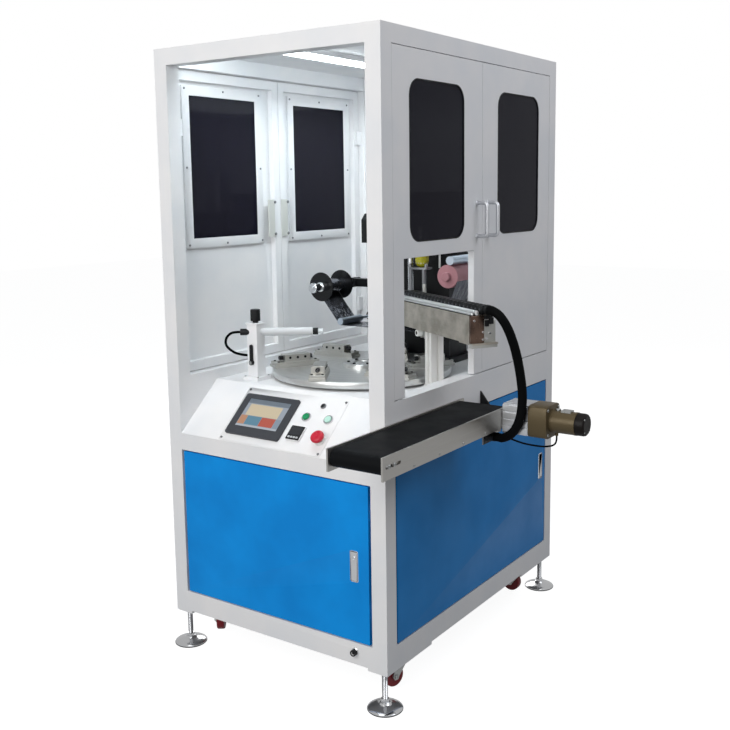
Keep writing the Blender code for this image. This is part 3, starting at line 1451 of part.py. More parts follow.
# Conveyor
CONVEYOR_LEFT = RIGHT + CONVEYOR_STANDOFF
CONVEYOR_RIGHT = CONVEYOR_LEFT + 2 * CONVEYOR_PLATE + 2 * BELT_SIDE_GAP + BELT_WIDTH
MOTOR_START = CONVEYOR_RIGHT + GAP
MOTOR_END = MOTOR_START + MOTOR_FLANGE_LENGTH + GEARBOX_LENGTH + MOTOR_LENGTH + MOTOR_CAP_LENGTH
PLATE_LOW = BASE + CONVEYOR_PLATE_FOOT
PLATE_HIGH = PLATE_LOW + CONVEYOR_PLATE_HEIGHT
BELT_TOP = PLATE_HIGH - BELT_DROP
BELT_OUTER_RADIUS = BELT_ROLLER_RADIUS + GAP + BELT_THICKNESS
ROLLER_Z = BELT_TOP - BELT_OUTER_RADIUS
FRONT_ROLLER_Y = CONVEYOR_START + BELT_END_INSET
BACK_ROLLER_Y = CONVEYOR_END - BELT_END_INSET
LEFT_FACE = CONVEYOR_LEFT + CONVEYOR_PLATE
RIGHT_FACE = CONVEYOR_RIGHT - CONVEYOR_PLATE
BELT_LEFT = LEFT_FACE + BELT_SIDE_GAP
BELT_RIGHT = BELT_LEFT + BELT_WIDTH
TAB_FACE = TAB_X + TAB_THICKNESS
HOSE_GLAND_Y = -0.196
HOSE_GLAND_Z = 0.723
CABLE_GLAND_Y = -0.171
CABLE_GLAND_Z = 0.718


def gland(y, height, radius):
    """A round cord inlet on the tab's right side, with a hexagonal collar."""
    start = TAB_FACE - OVERLAP
    end = GLAND_LENGTH + OVERLAP
    waist = radius * math.cos(math.pi / 6)
    profile = [
        (0, 0),
        (radius, 0),
        (radius, end / 2),
        (waist, end / 2),
        (waist, end),
        (0, end),
    ]
    return turned(profile, (start, y, height), (1, 0, 0), SMALL_SIDES)


def build_conveyor_frame():
    shapes = []
    for low in (CONVEYOR_LEFT, RIGHT_FACE):
        start = (low, CONVEYOR_START, PLATE_LOW)
        shapes.append(block(start, (low + CONVEYOR_PLATE, CONVEYOR_END, PLATE_HIGH)))
    bed_top = BELT_TOP - BELT_THICKNESS - GAP
    bed_start = FRONT_ROLLER_Y + BELT_OUTER_RADIUS + OVERLAP
    bed_end = BACK_ROLLER_Y - BELT_OUTER_RADIUS - OVERLAP
    inside = (LEFT_FACE - OVERLAP, RIGHT_FACE + OVERLAP)
    shapes.append(
        block((inside[0], bed_start, bed_top - BELT_BED_THICKNESS), (inside[1], bed_end, bed_top))
    )
    boss_start = RIGHT + GAP
    for y in (FRONT + POST_SIDE / 2, BACK_ROLLER_Y):
        low = (boss_start, y - MOUNT_BOSS_SIDE / 2, PLATE_HIGH - 1.5 * MOUNT_BOSS_SIDE)
        high = (CONVEYOR_LEFT + OVERLAP, y + MOUNT_BOSS_SIDE / 2, PLATE_HIGH - MOUNT_BOSS_SIDE / 2)
        shapes.append(block(low, high))
    shelf_start = CONVEYOR_END - 2 * SHELF_REACH / 3
    shelf_end = SHELF_END + GUSSET_THICKNESS
    shapes.append(
        block(
            (boss_start, shelf_start, PLATE_LOW - OVERLAP),
            (boss_start + SHELF_REACH, shelf_end, PLATE_LOW - OVERLAP + SHELF_THICKNESS),
        )
    )
    gusset = [
        (boss_start, PLATE_LOW),
        (boss_start + SHELF_REACH, PLATE_LOW),
        (boss_start, PLATE_HIGH),
    ]
    shapes.append(prism(gusset, "Y", SHELF_END, shelf_end))
    bar = CROSS_BAR_WIDTH / 2
    bar_low = PLATE_LOW + OVERLAP - CROSS_BAR_DEPTH
    shapes.append(
        block(
            (CONVEYOR_LEFT, CROSS_BAR_Y - bar, bar_low),
            (CONVEYOR_RIGHT, CROSS_BAR_Y + bar, bar_low + CROSS_BAR_DEPTH),
        )
    )
    shapes.append(block((TAB_X, TAB_FRONT, TAB_FOOT), (TAB_FACE, TAB_BACK, bar_low + OVERLAP)))
    shapes.append(gland(HOSE_GLAND_Y, HOSE_GLAND_Z, HOSE_GLAND_RADIUS))
    shapes.append(gland(CABLE_GLAND_Y, CABLE_GLAND_Z, CABLE_GLAND_RADIUS))
    cuts = []
    slot_start = CONVEYOR_START + SLOT_START_INSET
    slot = rounded(
        slot_start,
        slot_start + SLOT_LENGTH,
        ROLLER_Z - SLOT_HEIGHT / 2,
        ROLLER_Z + SLOT_HEIGHT / 2,
        SLOT_HEIGHT / 2 - GAP,
        2,
    )
    for low in (CONVEYOR_LEFT, RIGHT_FACE):
        cuts.append(prism(slot, "X", low - OVERLAP, low + CONVEYOR_PLATE + OVERLAP))
        start = (low - OVERLAP, BACK_ROLLER_Y, ROLLER_Z)
        end = (low + CONVEYOR_PLATE + OVERLAP, BACK_ROLLER_Y, ROLLER_Z)
        cuts.append(rod(start, end, ROLLER_PIN_RADIUS + ROD_CLEARANCE))
    return piece("conveyor_frame", ALUMINIUM, shapes, cuts)


def belt_outline(radius):
    points = []
    for y, start in ((BACK_ROLLER_Y, -90), (FRONT_ROLLER_Y, 90)):
        for step in range(2 * CORNER_STEPS + 1):
            angle = math.radians(start + 180 * step / (2 * CORNER_STEPS))
            points.append((y + radius * math.cos(angle), ROLLER_Z + radius * math.sin(angle)))
    return points


def build_conveyor_belt():
    outer = prism(belt_outline(BELT_OUTER_RADIUS), "X", BELT_LEFT, BELT_RIGHT)
    bore = belt_outline(BELT_OUTER_RADIUS - BELT_THICKNESS)
    inner = prism(bore, "X", BELT_LEFT - OVERLAP, BELT_RIGHT + OVERLAP)
    return piece("conveyor_belt", RUBBER, [outer], [inner])


def build_belt_roller(name, y, left_end, right_end):
    """A roller with a pin at each end, turning inside the belt's loop."""
    crown = 0.985
    facet = math.cos(math.pi / (2 * CORNER_STEPS) / 2)
    radius = BELT_ROLLER_RADIUS * facet
    middle = (BELT_LEFT + BELT_RIGHT) / 2
    profile = [
        (0, left_end),
        (ROLLER_PIN_RADIUS, left_end),
        (ROLLER_PIN_RADIUS, BELT_LEFT),
        (radius * crown, BELT_LEFT),
        (radius, middle - BELT_WIDTH / 4),
        (radius, middle + BELT_WIDTH / 4),
        (radius * crown, BELT_RIGHT),
        (ROLLER_PIN_RADIUS, BELT_RIGHT),
        (ROLLER_PIN_RADIUS, right_end),
        (0, right_end),
    ]
    shape = turned(profile, (0, y, ROLLER_Z), (1, 0, 0), 16)
    return piece(name, STEEL, [shape], pivot=(middle, y, ROLLER_Z))


def build_conveyor_motor():
    y = BACK_ROLLER_Y
    z = ROLLER_Z
    start = MOTOR_START
    half = MOTOR_FLANGE_SIDE / 2
    box_start = start + MOTOR_FLANGE_LENGTH
    square = chamfered(y - half, y + half, z - half, z + half, half / 4)
    shapes = [prism(square, "X", start, box_start + OVERLAP)]
    half = GEARBOX_SIDE / 2
    body_start = box_start + GEARBOX_LENGTH
    square = rounded(y - half, y + half, z - half, z + half, GEARBOX_CORNER, 2)
    shapes.append(prism(square, "X", box_start, body_start))
    cap_start = body_start + MOTOR_LENGTH
    edge = MOTOR_CAP_EDGE
    profile = [
        (0, body_start - OVERLAP),
        (MOTOR_RADIUS, body_start - OVERLAP),
        (MOTOR_RADIUS, cap_start),
        (MOTOR_CAP_RADIUS, cap_start),
        (MOTOR_CAP_RADIUS, MOTOR_END - edge),
        (MOTOR_CAP_RADIUS - edge, MOTOR_END),
        (0, MOTOR_END),
    ]
    shapes.append(turned(profile, (0, y, z), (1, 0, 0)))
    gland_x = body_start + MOTOR_GLAND_PLACE
    gland_end = z - MOTOR_RADIUS - MOTOR_GLAND_LENGTH
    shapes.append(rod((gland_x, y, z - MOTOR_RADIUS / 2), (gland_x, y, gland_end), MOTOR_GLAND_RADIUS, 8))
    groove = MOTOR_FLANGE_GROOVE
    half = MOTOR_FLANGE_SIDE / 2
    cuts = []
    for share in MOTOR_FLANGE_GROOVE_SHARES:
        level = z - half + share * MOTOR_FLANGE_SIDE
        for side in (-1, 1):
            face = y + side * half
            low = (start + groove, min(face - side * groove, face + side * OVERLAP), level - groove / 2)
            high = (
                box_start - groove,
                max(face - side * groove, face + side * OVERLAP),
                level + groove / 2,
            )
            cuts.append(block(low, high))
    return piece("conveyor_motor", GEAR_PAINT, shapes, cuts)


# Doors, windows and handles
def depth(measure):
    """A place measured back from the frame's front face."""
    return FRONT + measure


def window_cuts(start, end, low, high, inside):
    """The round-cornered opening and the pocket that traps the pane behind the sheet."""
    opening = rounded(start, end, low, high, WINDOW_CORNER)
    seat = RIGHT - DOOR_SHEET
    outside = prism(opening, "X", seat - OVERLAP, RIGHT + OVERLAP)
    pocket = block(
        (seat - PANE_THICKNESS - 2 * GAP, start - PANE_MARGIN, low - PANE_MARGIN),
        (seat, end + PANE_MARGIN, high + PANE_MARGIN),
    )
    lip = PANE_MARGIN - RETAINER_LIP
    hole = block(
        (inside - OVERLAP, start - lip, low - lip),
        (seat - PANE_THICKNESS / 2, end + lip, high + lip),
    )
    return [outside, pocket, hole]


def door_shapes(start, end, window_start, window_end, foot, head, pocket_foot):
    """A folded sheet door for the right side: rim, hollow back, window and its retainer."""
    low_window = BASE + WINDOW_FOOT_HEIGHT
    high_window = BASE + WINDOW_HEAD_HEIGHT
    inside = RIGHT - DOOR_THICKNESS
    slab = block((inside, start, foot), (RIGHT, end, head))
    rim = DOOR_RIM
    pan = block(
        (inside - OVERLAP, start + rim, pocket_foot + rim),
        (RIGHT - DOOR_SHEET, end - rim, head - rim),
    )
    frame_margin = PANE_MARGIN + RETAINER_MARGIN
    retainer_back = RIGHT - DOOR_SHEET - PANE_THICKNESS - RETAINER_SHEET
    retainer = block(
        (retainer_back, window_start - frame_margin, low_window - frame_margin),
        (RIGHT - DOOR_SHEET / 2, window_end + frame_margin, high_window + frame_margin),
    )
    cuts = window_cuts(window_start, window_end, low_window, high_window, retainer_back)
    return slab, pan, retainer, cuts


def build_door(name, side, start, end, window_start, window_end, notch, hinge_y):
    foot = BASE + DOOR_FOOT_HEIGHT
    head = TOP - TOP_RAIL_DEPTH - DOOR_HEAD_GAP
    pocket_foot = BASE + NOTCH_HEAD_HEIGHT if notch else foot
    slab, pan, retainer, cuts = door_shapes(
        start, end, window_start, window_end, foot, head, pocket_foot
    )
    openings = [pan]
    if notch:
        openings.append(
            block(
                (RIGHT - DOOR_THICKNESS - OVERLAP, depth(NOTCH_START), foot - OVERLAP),
                (RIGHT + OVERLAP, depth(NOTCH_END), BASE + NOTCH_HEAD_HEIGHT),
            )
        )
    groups = [[slab], openings, [retainer], cuts]
    if side < 0:
        groups = [[mirrored(shape) for shape in group] for group in groups]
    pivot = (side * RIGHT, hinge_y, foot)
    return piece(
        name, WHITE_PAINT, groups[0], groups[1], pivot=pivot, added=groups[2], opened=groups[3]
    )


def build_window(name, side, window_start, window_end, door):
    seat = RIGHT - DOOR_SHEET - GAP
    margin = PANE_MARGIN - GAP
    pane = block(
        (seat - PANE_THICKNESS, window_start - margin, BASE + WINDOW_FOOT_HEIGHT - margin),
        (seat, window_end + margin, BASE + WINDOW_HEAD_HEIGHT + margin),
    )
    if side < 0:
        pane = mirrored(pane)
    return piece(name, DARK_GLASS, [pane], pivot=door["pivot"], carrier=door)


def bent_path(points, radius, steps):
    """A line through the points with its inner corners rounded to the radius."""
    path = [Vector(points[0])]
    for before, corner, after in zip(points, points[1:], points[2:]):
        corner = Vector(corner)
        come = (corner - Vector(before)).normalized()
        leave = (Vector(after) - corner).normalized()
        start = corner - come * radius
        end = corner + leave * radius
        for step in range(steps + 1):
            share = step / steps
            path.append(start.lerp(corner, share).lerp(corner.lerp(end, share), share))
    path.append(Vector(points[-1]))
    return path


def tube(name, material, path, radius, resolution, pivot=(0, 0, 0), carrier=None):
    """A round bar or cord along the path, with filled ends."""
    pivot = Vector(pivot)
    curve = bpy.data.curves.new(name, "CURVE")
    curve.dimensions = "3D"
    curve.bevel_depth = radius
    curve.bevel_resolution = resolution
    curve.use_fill_caps = True
    curve.materials.append(material)
    spline = curve.splines.new("POLY")
    spline.points.add(len(path) - 1)
    for point, place in zip(spline.points, path):
        point.co = (*(Vector(place) - pivot), 1)
    spline.use_smooth = True
    obj = bpy.data.objects.new(name, curve)
    bpy.context.scene.collection.objects.link(obj)
    obj.parent = carrier or machine
    obj["pivot"] = tuple(pivot)
    obj.location = pivot - Vector(carrier["pivot"]) if carrier else pivot
    return obj


def build_handle(name, side, y, door):
    face = side * (RIGHT + GAP)
    outside = face + side * HANDLE_REACH
    low = BASE + HANDLE_FOOT_HEIGHT + HANDLE_RADIUS
    high = low + HANDLE_LENGTH - 2 * HANDLE_RADIUS
    corners_of_bar = [(face, y, low), (outside, y, low), (outside, y, high), (face, y, high)]
    path = bent_path(corners_of_bar, HANDLE_BEND, CORNER_STEPS)
    return tube(name, ALUMINIUM, path, HANDLE_RADIUS, 2, door["pivot"], door)


def build_doors():
    first = (INNER_FRONT + DOOR_GAP, depth(DOOR_SPLIT) - DOOR_GAP)
    second = (depth(DOOR_SPLIT) + DOOR_GAP, INNER_BACK - DOOR_GAP)
    front_window = (depth(FRONT_WINDOW_START), depth(FRONT_WINDOW_END))
    rear_window = (depth(REAR_WINDOW_START), depth(REAR_WINDOW_END))
    split = depth(DOOR_SPLIT)
    for side_name, side in (("right", 1), ("left", -1)):
        rows = (
            ("front", first, front_window, side > 0, INNER_FRONT, split - HANDLE_FROM_SPLIT),
            ("rear", second, rear_window, False, INNER_BACK, split + HANDLE_FROM_SPLIT),
        )
        for row_name, (start, end), (window_start, window_end), notch, hinge_y, handle_y in rows:
            label = f"{side_name}_{row_name}"
            door = build_door(
                f"{label}_door", side, start, end, window_start, window_end, notch, hinge_y
            )
            build_window(f"{label}_window", side, window_start, window_end, door)
            build_handle(f"{label}_handle", side, handle_y, door)


# Lower doors and panels
LOWER_FOOT = BASE + BOTTOM_RAIL_HEIGHT + LOWER_GAP


def latch_shapes(y, z, face):
    """The latch bezel and its lever for a door whose outer face looks along +X."""
    half_y = LATCH_WIDTH / 2
    half_z = LATCH_LENGTH / 2
    edge = LATCH_BEZEL
    bezel = prism(
        rounded(y - half_y, y + half_y, z - half_z, z + half_z, edge, 1),
        "X",
        face - OVERLAP,
        face + LATCH_BEZEL_PROUD,
    )
    recess = block(
        (face - LATCH_LEVER_THICKNESS, y - half_y + edge, z - half_z + edge),
        (face + LATCH_BEZEL_PROUD + OVERLAP, y + half_y - edge, z + half_z - edge),
    )
    inset = edge + GAP
    lever = block(
        (face - LATCH_LEVER_THICKNESS + GAP, y - half_y + inset, z - half_z + inset),
        (face + LATCH_BEZEL_PROUD, y + half_y - inset, z + half_z - inset),
    )
    return bezel, recess, lever


def pan_door(start, end, foot, head, thickness=DOOR_THICKNESS):
    """A plain folded door for the right side, hollow at the back."""
    slab = block((RIGHT - thickness, start, foot), (RIGHT, end, head))
    pan = block(
        (RIGHT - thickness - OVERLAP, start + DOOR_RIM, foot + DOOR_RIM),
        (RIGHT - DOOR_SHEET, end - DOOR_RIM, head - DOOR_RIM),
    )
    return slab, pan


def build_front_door():
    """Made as a right-side door and turned a quarter to the front."""
    width = 2 * (INNER_RIGHT - FRONT_DOOR_SIDE_GAP)
    head = CONSOLE_FOOT - FRONT_RAIL_DEPTH - LOWER_GAP
    slab, pan = pan_door(-width / 2, width / 2, LOWER_FOOT, head)
    latch_y = width / 2 - FRONT_LATCH_FROM_DOOR_EDGE
    latch_z = BASE + FRONT_LATCH_HEIGHT
    bezel, recess, lever = latch_shapes(latch_y, latch_z, RIGHT)
    boss = block(
        (RIGHT - DOOR_THICKNESS, latch_y - LATCH_WIDTH, latch_z - LATCH_LENGTH / 2 - LATCH_BEZEL),
        (RIGHT - DOOR_SHEET / 2, latch_y + LATCH_WIDTH, latch_z + LATCH_LENGTH / 2 + LATCH_BEZEL),
    )
    turn = Matrix.Rotation(-math.pi / 2, 4, "Z")
    place = Matrix.Translation((0, FRONT + RIGHT, 0)) @ turn
    hinge = (-width / 2 - FRONT_DOOR_SIDE_GAP / 2, FRONT, LOWER_FOOT)
    groups = [[moved(shape, place) for shape in group] for group in ([slab], [pan], [bezel, boss], [recess])]
    door = piece(
        "front_door", BLUE_PAINT, groups[0], groups[1], pivot=hinge, added=groups[2], opened=groups[3]
    )
    lever_top = latch_z + LATCH_LENGTH / 2 - LATCH_BEZEL - GAP
    pivot = place @ Vector((RIGHT + LATCH_BEZEL_PROUD, latch_y, lever_top))
    piece("front_latch", CHROME, [moved(lever, place)], pivot=pivot, carrier=door)


def build_side_panel(name, side, hinged):
    start = INNER_FRONT + SIDE_PANEL_GAP
    end = INNER_BACK - SIDE_PANEL_GAP
    head = TABLE - SIDE_RAIL_DEPTH - LOWER_GAP
    slab, pan = pan_door(start, end, LOWER_FOOT, head)
    latch_y = end - SIDE_LATCH_FROM_DOOR_EDGE
    latch_z = BASE + SIDE_LATCH_HEIGHT
    bezel, recess, _ = latch_shapes(latch_y, latch_z, RIGHT)
    boss = block(
        (RIGHT - DOOR_THICKNESS, latch_y - LATCH_WIDTH, latch_z - LATCH_LENGTH / 2 - LATCH_BEZEL),
        (RIGHT - DOOR_SHEET / 2, latch_y + LATCH_WIDTH, latch_z + LATCH_LENGTH / 2 + LATCH_BEZEL),
    )
    groups = [[slab], [pan], [bezel, boss], [recess]]
    if side < 0:
        groups = [[mirrored(shape) for shape in group] for group in groups]
    pivot = (side * RIGHT, INNER_FRONT + SIDE_PANEL_GAP / 2, LOWER_FOOT) if hinged else (0, 0, 0)
    return piece(
        name, BLUE_PAINT, groups[0], groups[1], pivot=pivot, added=groups[2], opened=groups[3]
    )


def build_back_panel():
    half = INNER_RIGHT - SIDE_PANEL_GAP
    start = BACK - CLOSED_PANEL_THICKNESS
    head = TABLE - SIDE_RAIL_DEPTH - LOWER_GAP
    slab = block((-half, start, LOWER_FOOT), (half, BACK, head))
    pan = block(
        (DOOR_RIM - half, start - OVERLAP, LOWER_FOOT + DOOR_RIM),
        (half - DOOR_RIM, BACK - DOOR_SHEET, head - DOOR_RIM),
    )
    return piece("back_panel", BLUE_PAINT, [slab], [pan])


# Feet and casters
def foot_name(side_x, side_y):
    row = "front" if side_y < 0 else "rear"
    return f"{row}_{'left' if side_x < 0 else 'right'}"


def build_feet():
    seat = BASE - CORNER_PLATE_THICKNESS - GAP
    for side_x, side_y in corners():
        x = side_x * (RIGHT - FOOT_INSET)
        y = side_y * (BACK - FOOT_INSET)
        neck = FOOT_EDGE + FOOT_DOME
        profile = [
            (0, 0),
            (FOOT_RADIUS - FOOT_EDGE / 2, 0),
            (FOOT_RADIUS, FOOT_EDGE / 2),
            (FOOT_RADIUS, FOOT_EDGE),
            (FOOT_RADIUS * 0.8, FOOT_EDGE + FOOT_DOME * 0.55),
            (STUD_NUT_RADIUS, neck),
            (STUD_NUT_RADIUS, neck + STUD_NUT_HEIGHT),
            (STUD_RADIUS, neck + STUD_NUT_HEIGHT),
            (STUD_RADIUS, seat - STUD_NUT_HEIGHT),
            (STUD_NUT_RADIUS, seat - STUD_NUT_HEIGHT),
            (STUD_NUT_RADIUS, seat),
            (0, seat),
        ]
        shape = turned(profile, (x, y, 0), sides=16)
        piece(f"{foot_name(side_x, side_y)}_foot", CHROME, [shape], pivot=(x, y, 0))


def build_caster(side_x, side_y):
    x, y = caster_place(side_x, side_y)
    name = foot_name(side_x, side_y)
    turn = Matrix.Rotation(CASTER_TURNS[name], 4, "Z")
    swivel = Matrix.Translation((x, y, 0)) @ turn @ Matrix.Translation((-x, -y, 0))
    head_top = PAD_FOOT - GAP
    head_foot = head_top - CASTER_HEAD_DEPTH
    head = turned(
        [(0, head_foot), (CASTER_HEAD_RADIUS, head_foot), (CASTER_HEAD_RADIUS, head_top), (0, head_top)],
        (x, y, 0),
        sides=16,
    )
    axle_y = y - CASTER_TRAIL
    z = WHEEL_AXIS_HEIGHT
    inner = WHEEL_WIDTH / 2 + FORK_SIDE_GAP
    outer = inner + FORK_SHEET
    foot = FORK_FOOT_RADIUS
    edge = CASTER_HEAD_RADIUS - OVERLAP / 2
    cheek = [
        (y - edge, head_foot + OVERLAP),
        (axle_y - foot, z),
        (axle_y - foot / 2, z - foot * math.sin(math.pi / 3)),
        (axle_y + foot / 2, z - foot * math.sin(math.pi / 3)),
        (axle_y + foot, z),
        (y + edge, head_foot - foot),
        (y + edge, head_foot + OVERLAP),
    ]
    shapes = [head]
    for side in (-1, 1):
        low = min(side * inner, side * outer)
        shapes.append(prism(cheek, "X", x + low, x + low + FORK_SHEET))
    reach = inner + FORK_SHEET / 2
    shapes.append(rod((x - reach, axle_y, z), (x + reach, axle_y, z), AXLE_RADIUS))
    crown_x = inner + FORK_SHEET / 2
    crown_y = edge - OVERLAP
    crown_low = (x - crown_x, y - crown_y, head_foot - FORK_SHEET)
    shapes.append(block(crown_low, (x + crown_x, y + crown_y, head_foot + OVERLAP / 2)))
    brake_low = (x - foot, y + crown_y - OVERLAP, head_foot - BRAKE_THICKNESS / 2)
    brake_high = (x + foot, y + CASTER_HEAD_RADIUS + BRAKE_REACH, head_foot + OVERLAP / 4)
    shapes.append(block(brake_low, brake_high))
    shapes = [moved(shape, swivel) for shape in shapes]
    fork = piece(f"{name}_caster_fork", STEEL, shapes, pivot=(x, y, head_top))
    half = WHEEL_WIDTH / 2
    bore = AXLE_RADIUS + ROD_CLEARANCE
    dish = WHEEL_DISH
    profile = [
        (bore, -half),
        (WHEEL_HUB_RADIUS * 0.5, -half),
        (WHEEL_HUB_RADIUS, dish - half),
        (WHEEL_RADIUS - dish, dish - half),
        (WHEEL_RADIUS, 3 * dish - half),
        (WHEEL_RADIUS, half - 3 * dish),
        (WHEEL_RADIUS - dish, half - dish),
        (WHEEL_HUB_RADIUS, half - dish),
        (WHEEL_HUB_RADIUS * 0.5, half),
        (bore, half),
    ]
    wheel = moved(turned(profile, (x, axle_y, z), (1, 0, 0), WHEEL_SIDES), swivel)
    piece(f"{name}_wheel", WHEEL_RED, [wheel], pivot=swivel @ Vector((x, axle_y, z)), carrier=fork)


# Product sensor
SENSOR_FOOT = TABLE + GAP
SENSOR_TOP = SENSOR_FOOT + SENSOR_POST_HEIGHT


def build_sensor_post():
    half = SENSOR_FOOT_SIDE / 2
    width = SENSOR_POST_WIDTH / 2
    depth_half = SENSOR_POST_DEPTH / 2
    proud = SENSOR_CAP_PROUD
    x = SENSOR_X
    y = SENSOR_Y
    shapes = [
        block((x - width, y - depth_half, SENSOR_FOOT), (x + width, y + depth_half, SENSOR_TOP)),
        block((x - half, y - half, SENSOR_FOOT), (x + half, y + half, SENSOR_FOOT + SENSOR_FOOT_THICKNESS)),
        block(
            (x - width - proud, y - depth_half - proud, SENSOR_TOP - SENSOR_CAP_THICKNESS),
            (x + width + proud, y + depth_half + proud, SENSOR_TOP),
        ),
    ]
    neck = SENSOR_KNOB_NECK
    knob = [
        (0, -OVERLAP),
        (SENSOR_KNOB_RADIUS - neck, -OVERLAP),
        (SENSOR_KNOB_RADIUS - neck, neck),
        (SENSOR_KNOB_RADIUS, neck),
        (SENSOR_KNOB_RADIUS, SENSOR_KNOB_HEIGHT - neck / 3),
        (SENSOR_KNOB_RADIUS - neck / 3, SENSOR_KNOB_HEIGHT),
        (0, SENSOR_KNOB_HEIGHT),
    ]
    shapes.append(turned(knob, (x, y, SENSOR_TOP), sides=16))
    ring = BARREL_LENGTH + BARREL_RING_LENGTH
    barrel = [
        (0, -PLUG_LENGTH),
        (PLUG_RADIUS, -PLUG_LENGTH),
        (PLUG_RADIUS, 0),
        (BARREL_RADIUS, 0),
        (BARREL_RADIUS, BARREL_LENGTH),
        (BARREL_RING_RADIUS, BARREL_LENGTH),
        (BARREL_RING_RADIUS, ring),
        (BARREL_TIP_RADIUS, ring),
        (BARREL_TIP_RADIUS, ring + BARREL_TIP_LENGTH),
        (0, ring + BARREL_TIP_LENGTH),
    ]
    heading = (math.cos(BARREL_TURN), math.sin(BARREL_TURN), 0)
    shapes.append(turned(barrel, (x, y, SENSOR_FOOT + BARREL_HEIGHT), heading, 16))
    gland_height = SENSOR_FOOT + SENSOR_GLAND_HEIGHT
    gland_end = (x - width - SENSOR_GLAND_LENGTH, y, gland_height)
    shapes.append(rod((x, y, gland_height), gland_end, SENSOR_GLAND_RADIUS, 8))
    return piece("sensor_post", WHITE_PAINT, shapes)


def build_clamp_lever():
    face = SENSOR_Y - SENSOR_POST_DEPTH / 2 - GAP
    pivot = (SENSOR_X, face, SENSOR_FOOT + LEVER_HEIGHT)
    boss = rod(pivot, (SENSOR_X, face - LEVER_PIVOT_LENGTH, pivot[2]), LEVER_PIVOT_RADIUS)
    half = LEVER_WIDTH / 2
    arm_start = face - LEVER_PIVOT_LENGTH + OVERLAP / 2
    arm = prism(
        rounded(SENSOR_X - half, SENSOR_X + half, pivot[2], pivot[2] + LEVER_LENGTH, half - GAP, 2),
        "Y",
        arm_start,
        arm_start + LEVER_THICKNESS,
    )
    return piece("clamp_lever", BLACK_PLASTIC, [boss, arm], pivot=pivot)


# Cords: the route's points are chosen by hand, and a smooth curve runs through them
HOSE_ROUTE = (
    (0.5581, -0.2640, 1.0866),
    (0.5691, -0.2707, 1.0866),
    (0.5800, -0.2773, 1.0866),
    (0.6040, -0.2790, 1.0730),
    (0.6210, -0.2620, 1.0330),
    (0.6300, -0.2360, 0.9700),
    (0.6330, -0.2120, 0.8950),
    (0.6320, -0.2005, 0.8370),
    (0.6220, -0.1970, 0.7800),
    (0.6000, -0.1960, 0.7400),
    (0.5725, -0.1960, 0.7230),
    (0.5595, -0.1960, 0.7230),
    (0.5468, -0.1960, 0.7230),
)
MOTOR_CABLE_ROUTE = (
    (0.7078, -0.1420, 0.7354),
    (0.7078, -0.1420, 0.7304),
    (0.7078, -0.1420, 0.7250),
    (0.7040, -0.1424, 0.7130),
    (0.6920, -0.1440, 0.7050),
    (0.6660, -0.1520, 0.7020),
    (0.6200, -0.1620, 0.7060),
    (0.5850, -0.1690, 0.7150),
    (0.5640, -0.1710, 0.7180),
    (0.5550, -0.1710, 0.7180),
    (0.5468, -0.1710, 0.7180),
)
SENSOR_CABLE_ROUTE = (
    (-0.2733, -0.3255, 0.9743),
    (-0.2774, -0.3283, 0.9743),
    (-0.2815, -0.3312, 0.9743),
    (-0.2990, -0.3410, 0.9700),
    (-0.3150, -0.3450, 0.9530),
    (-0.3190, -0.3400, 0.9290),
    (-0.3090, -0.3190, 0.9070),
    (-0.2920, -0.3040, 0.8990),
    (-0.2775, -0.2980, 0.8973),
    (-0.2716, -0.2980, 0.8973),
    (-0.2658, -0.2980, 0.8973),
)


def centre_machine():
    """Puts the point under the middle of the machine at the origin."""
    bpy.context.view_layer.update()
    graph = bpy.context.evaluated_depsgraph_get()
    low = Vector((math.inf, math.inf, math.inf))
    high = -low
    for obj in bpy.context.scene.objects:
        if obj.type == "EMPTY" or obj.hide_render:
            continue
        solid = obj.evaluated_get(graph)
        for point in solid.to_mesh().vertices:
            place = solid.matrix_world @ point.co
            low = Vector(map(min, low, place))
            high = Vector(map(max, high, place))
        solid.to_mesh_clear()
    middle = (low + high) / 2
    machine.location = (-middle.x, -middle.y, 0)
    print("machine size", *(round(size, 4) for size in high - low))


def smooth_path(route, count):
    """Points spread evenly along a centripetal spline through the route's own points."""
    places = [Vector(point) for point in route]
    places = [2 * places[0] - places[1]] + places + [2 * places[-1] - places[-2]]
    fine = []
    for before, start, end, after in zip(places, places[1:], places[2:], places[3:]):
        for step in range(count):
            share = step / count
            square = share * share
            cube = square * share
            fine.append(
                0.5
                * (
                    2 * start
                    + (end - before) * share
                    + (2 * before - 5 * start + 4 * end - after) * square
                    + (3 * start - before - 3 * end + after) * cube
                )
            )
    fine.append(places[-2])
    lengths = [0.0]
    for here, there in zip(fine, fine[1:]):
        lengths.append(lengths[-1] + (there - here).length)
    path = []
    index = 0
    for number in range(count):
        wanted = lengths[-1] * number / (count - 1)
        while index < len(fine) - 2 and lengths[index + 1] < wanted:
            index += 1
        share = (wanted - lengths[index]) / (lengths[index + 1] - lengths[index])
        path.append(fine[index].lerp(fine[index + 1], share))
    print("cord length", round(lengths[-1], 4))
    return path


def build_cords():
    """The cords, which don't count when the machine is centred."""
    centre_machine()
    tube("air_hose", RUBBER, smooth_path(HOSE_ROUTE, HOSE_POINTS), HOSE_RADIUS, 2)
    cable = smooth_path(MOTOR_CABLE_ROUTE, MOTOR_CABLE_POINTS)
    tube("motor_cable", RUBBER, cable, MOTOR_CABLE_RADIUS, 1)
    cable = smooth_path(SENSOR_CABLE_ROUTE, SENSOR_CABLE_POINTS)
    tube("sensor_cable", RUBBER, cable, SENSOR_CABLE_RADIUS, 1)


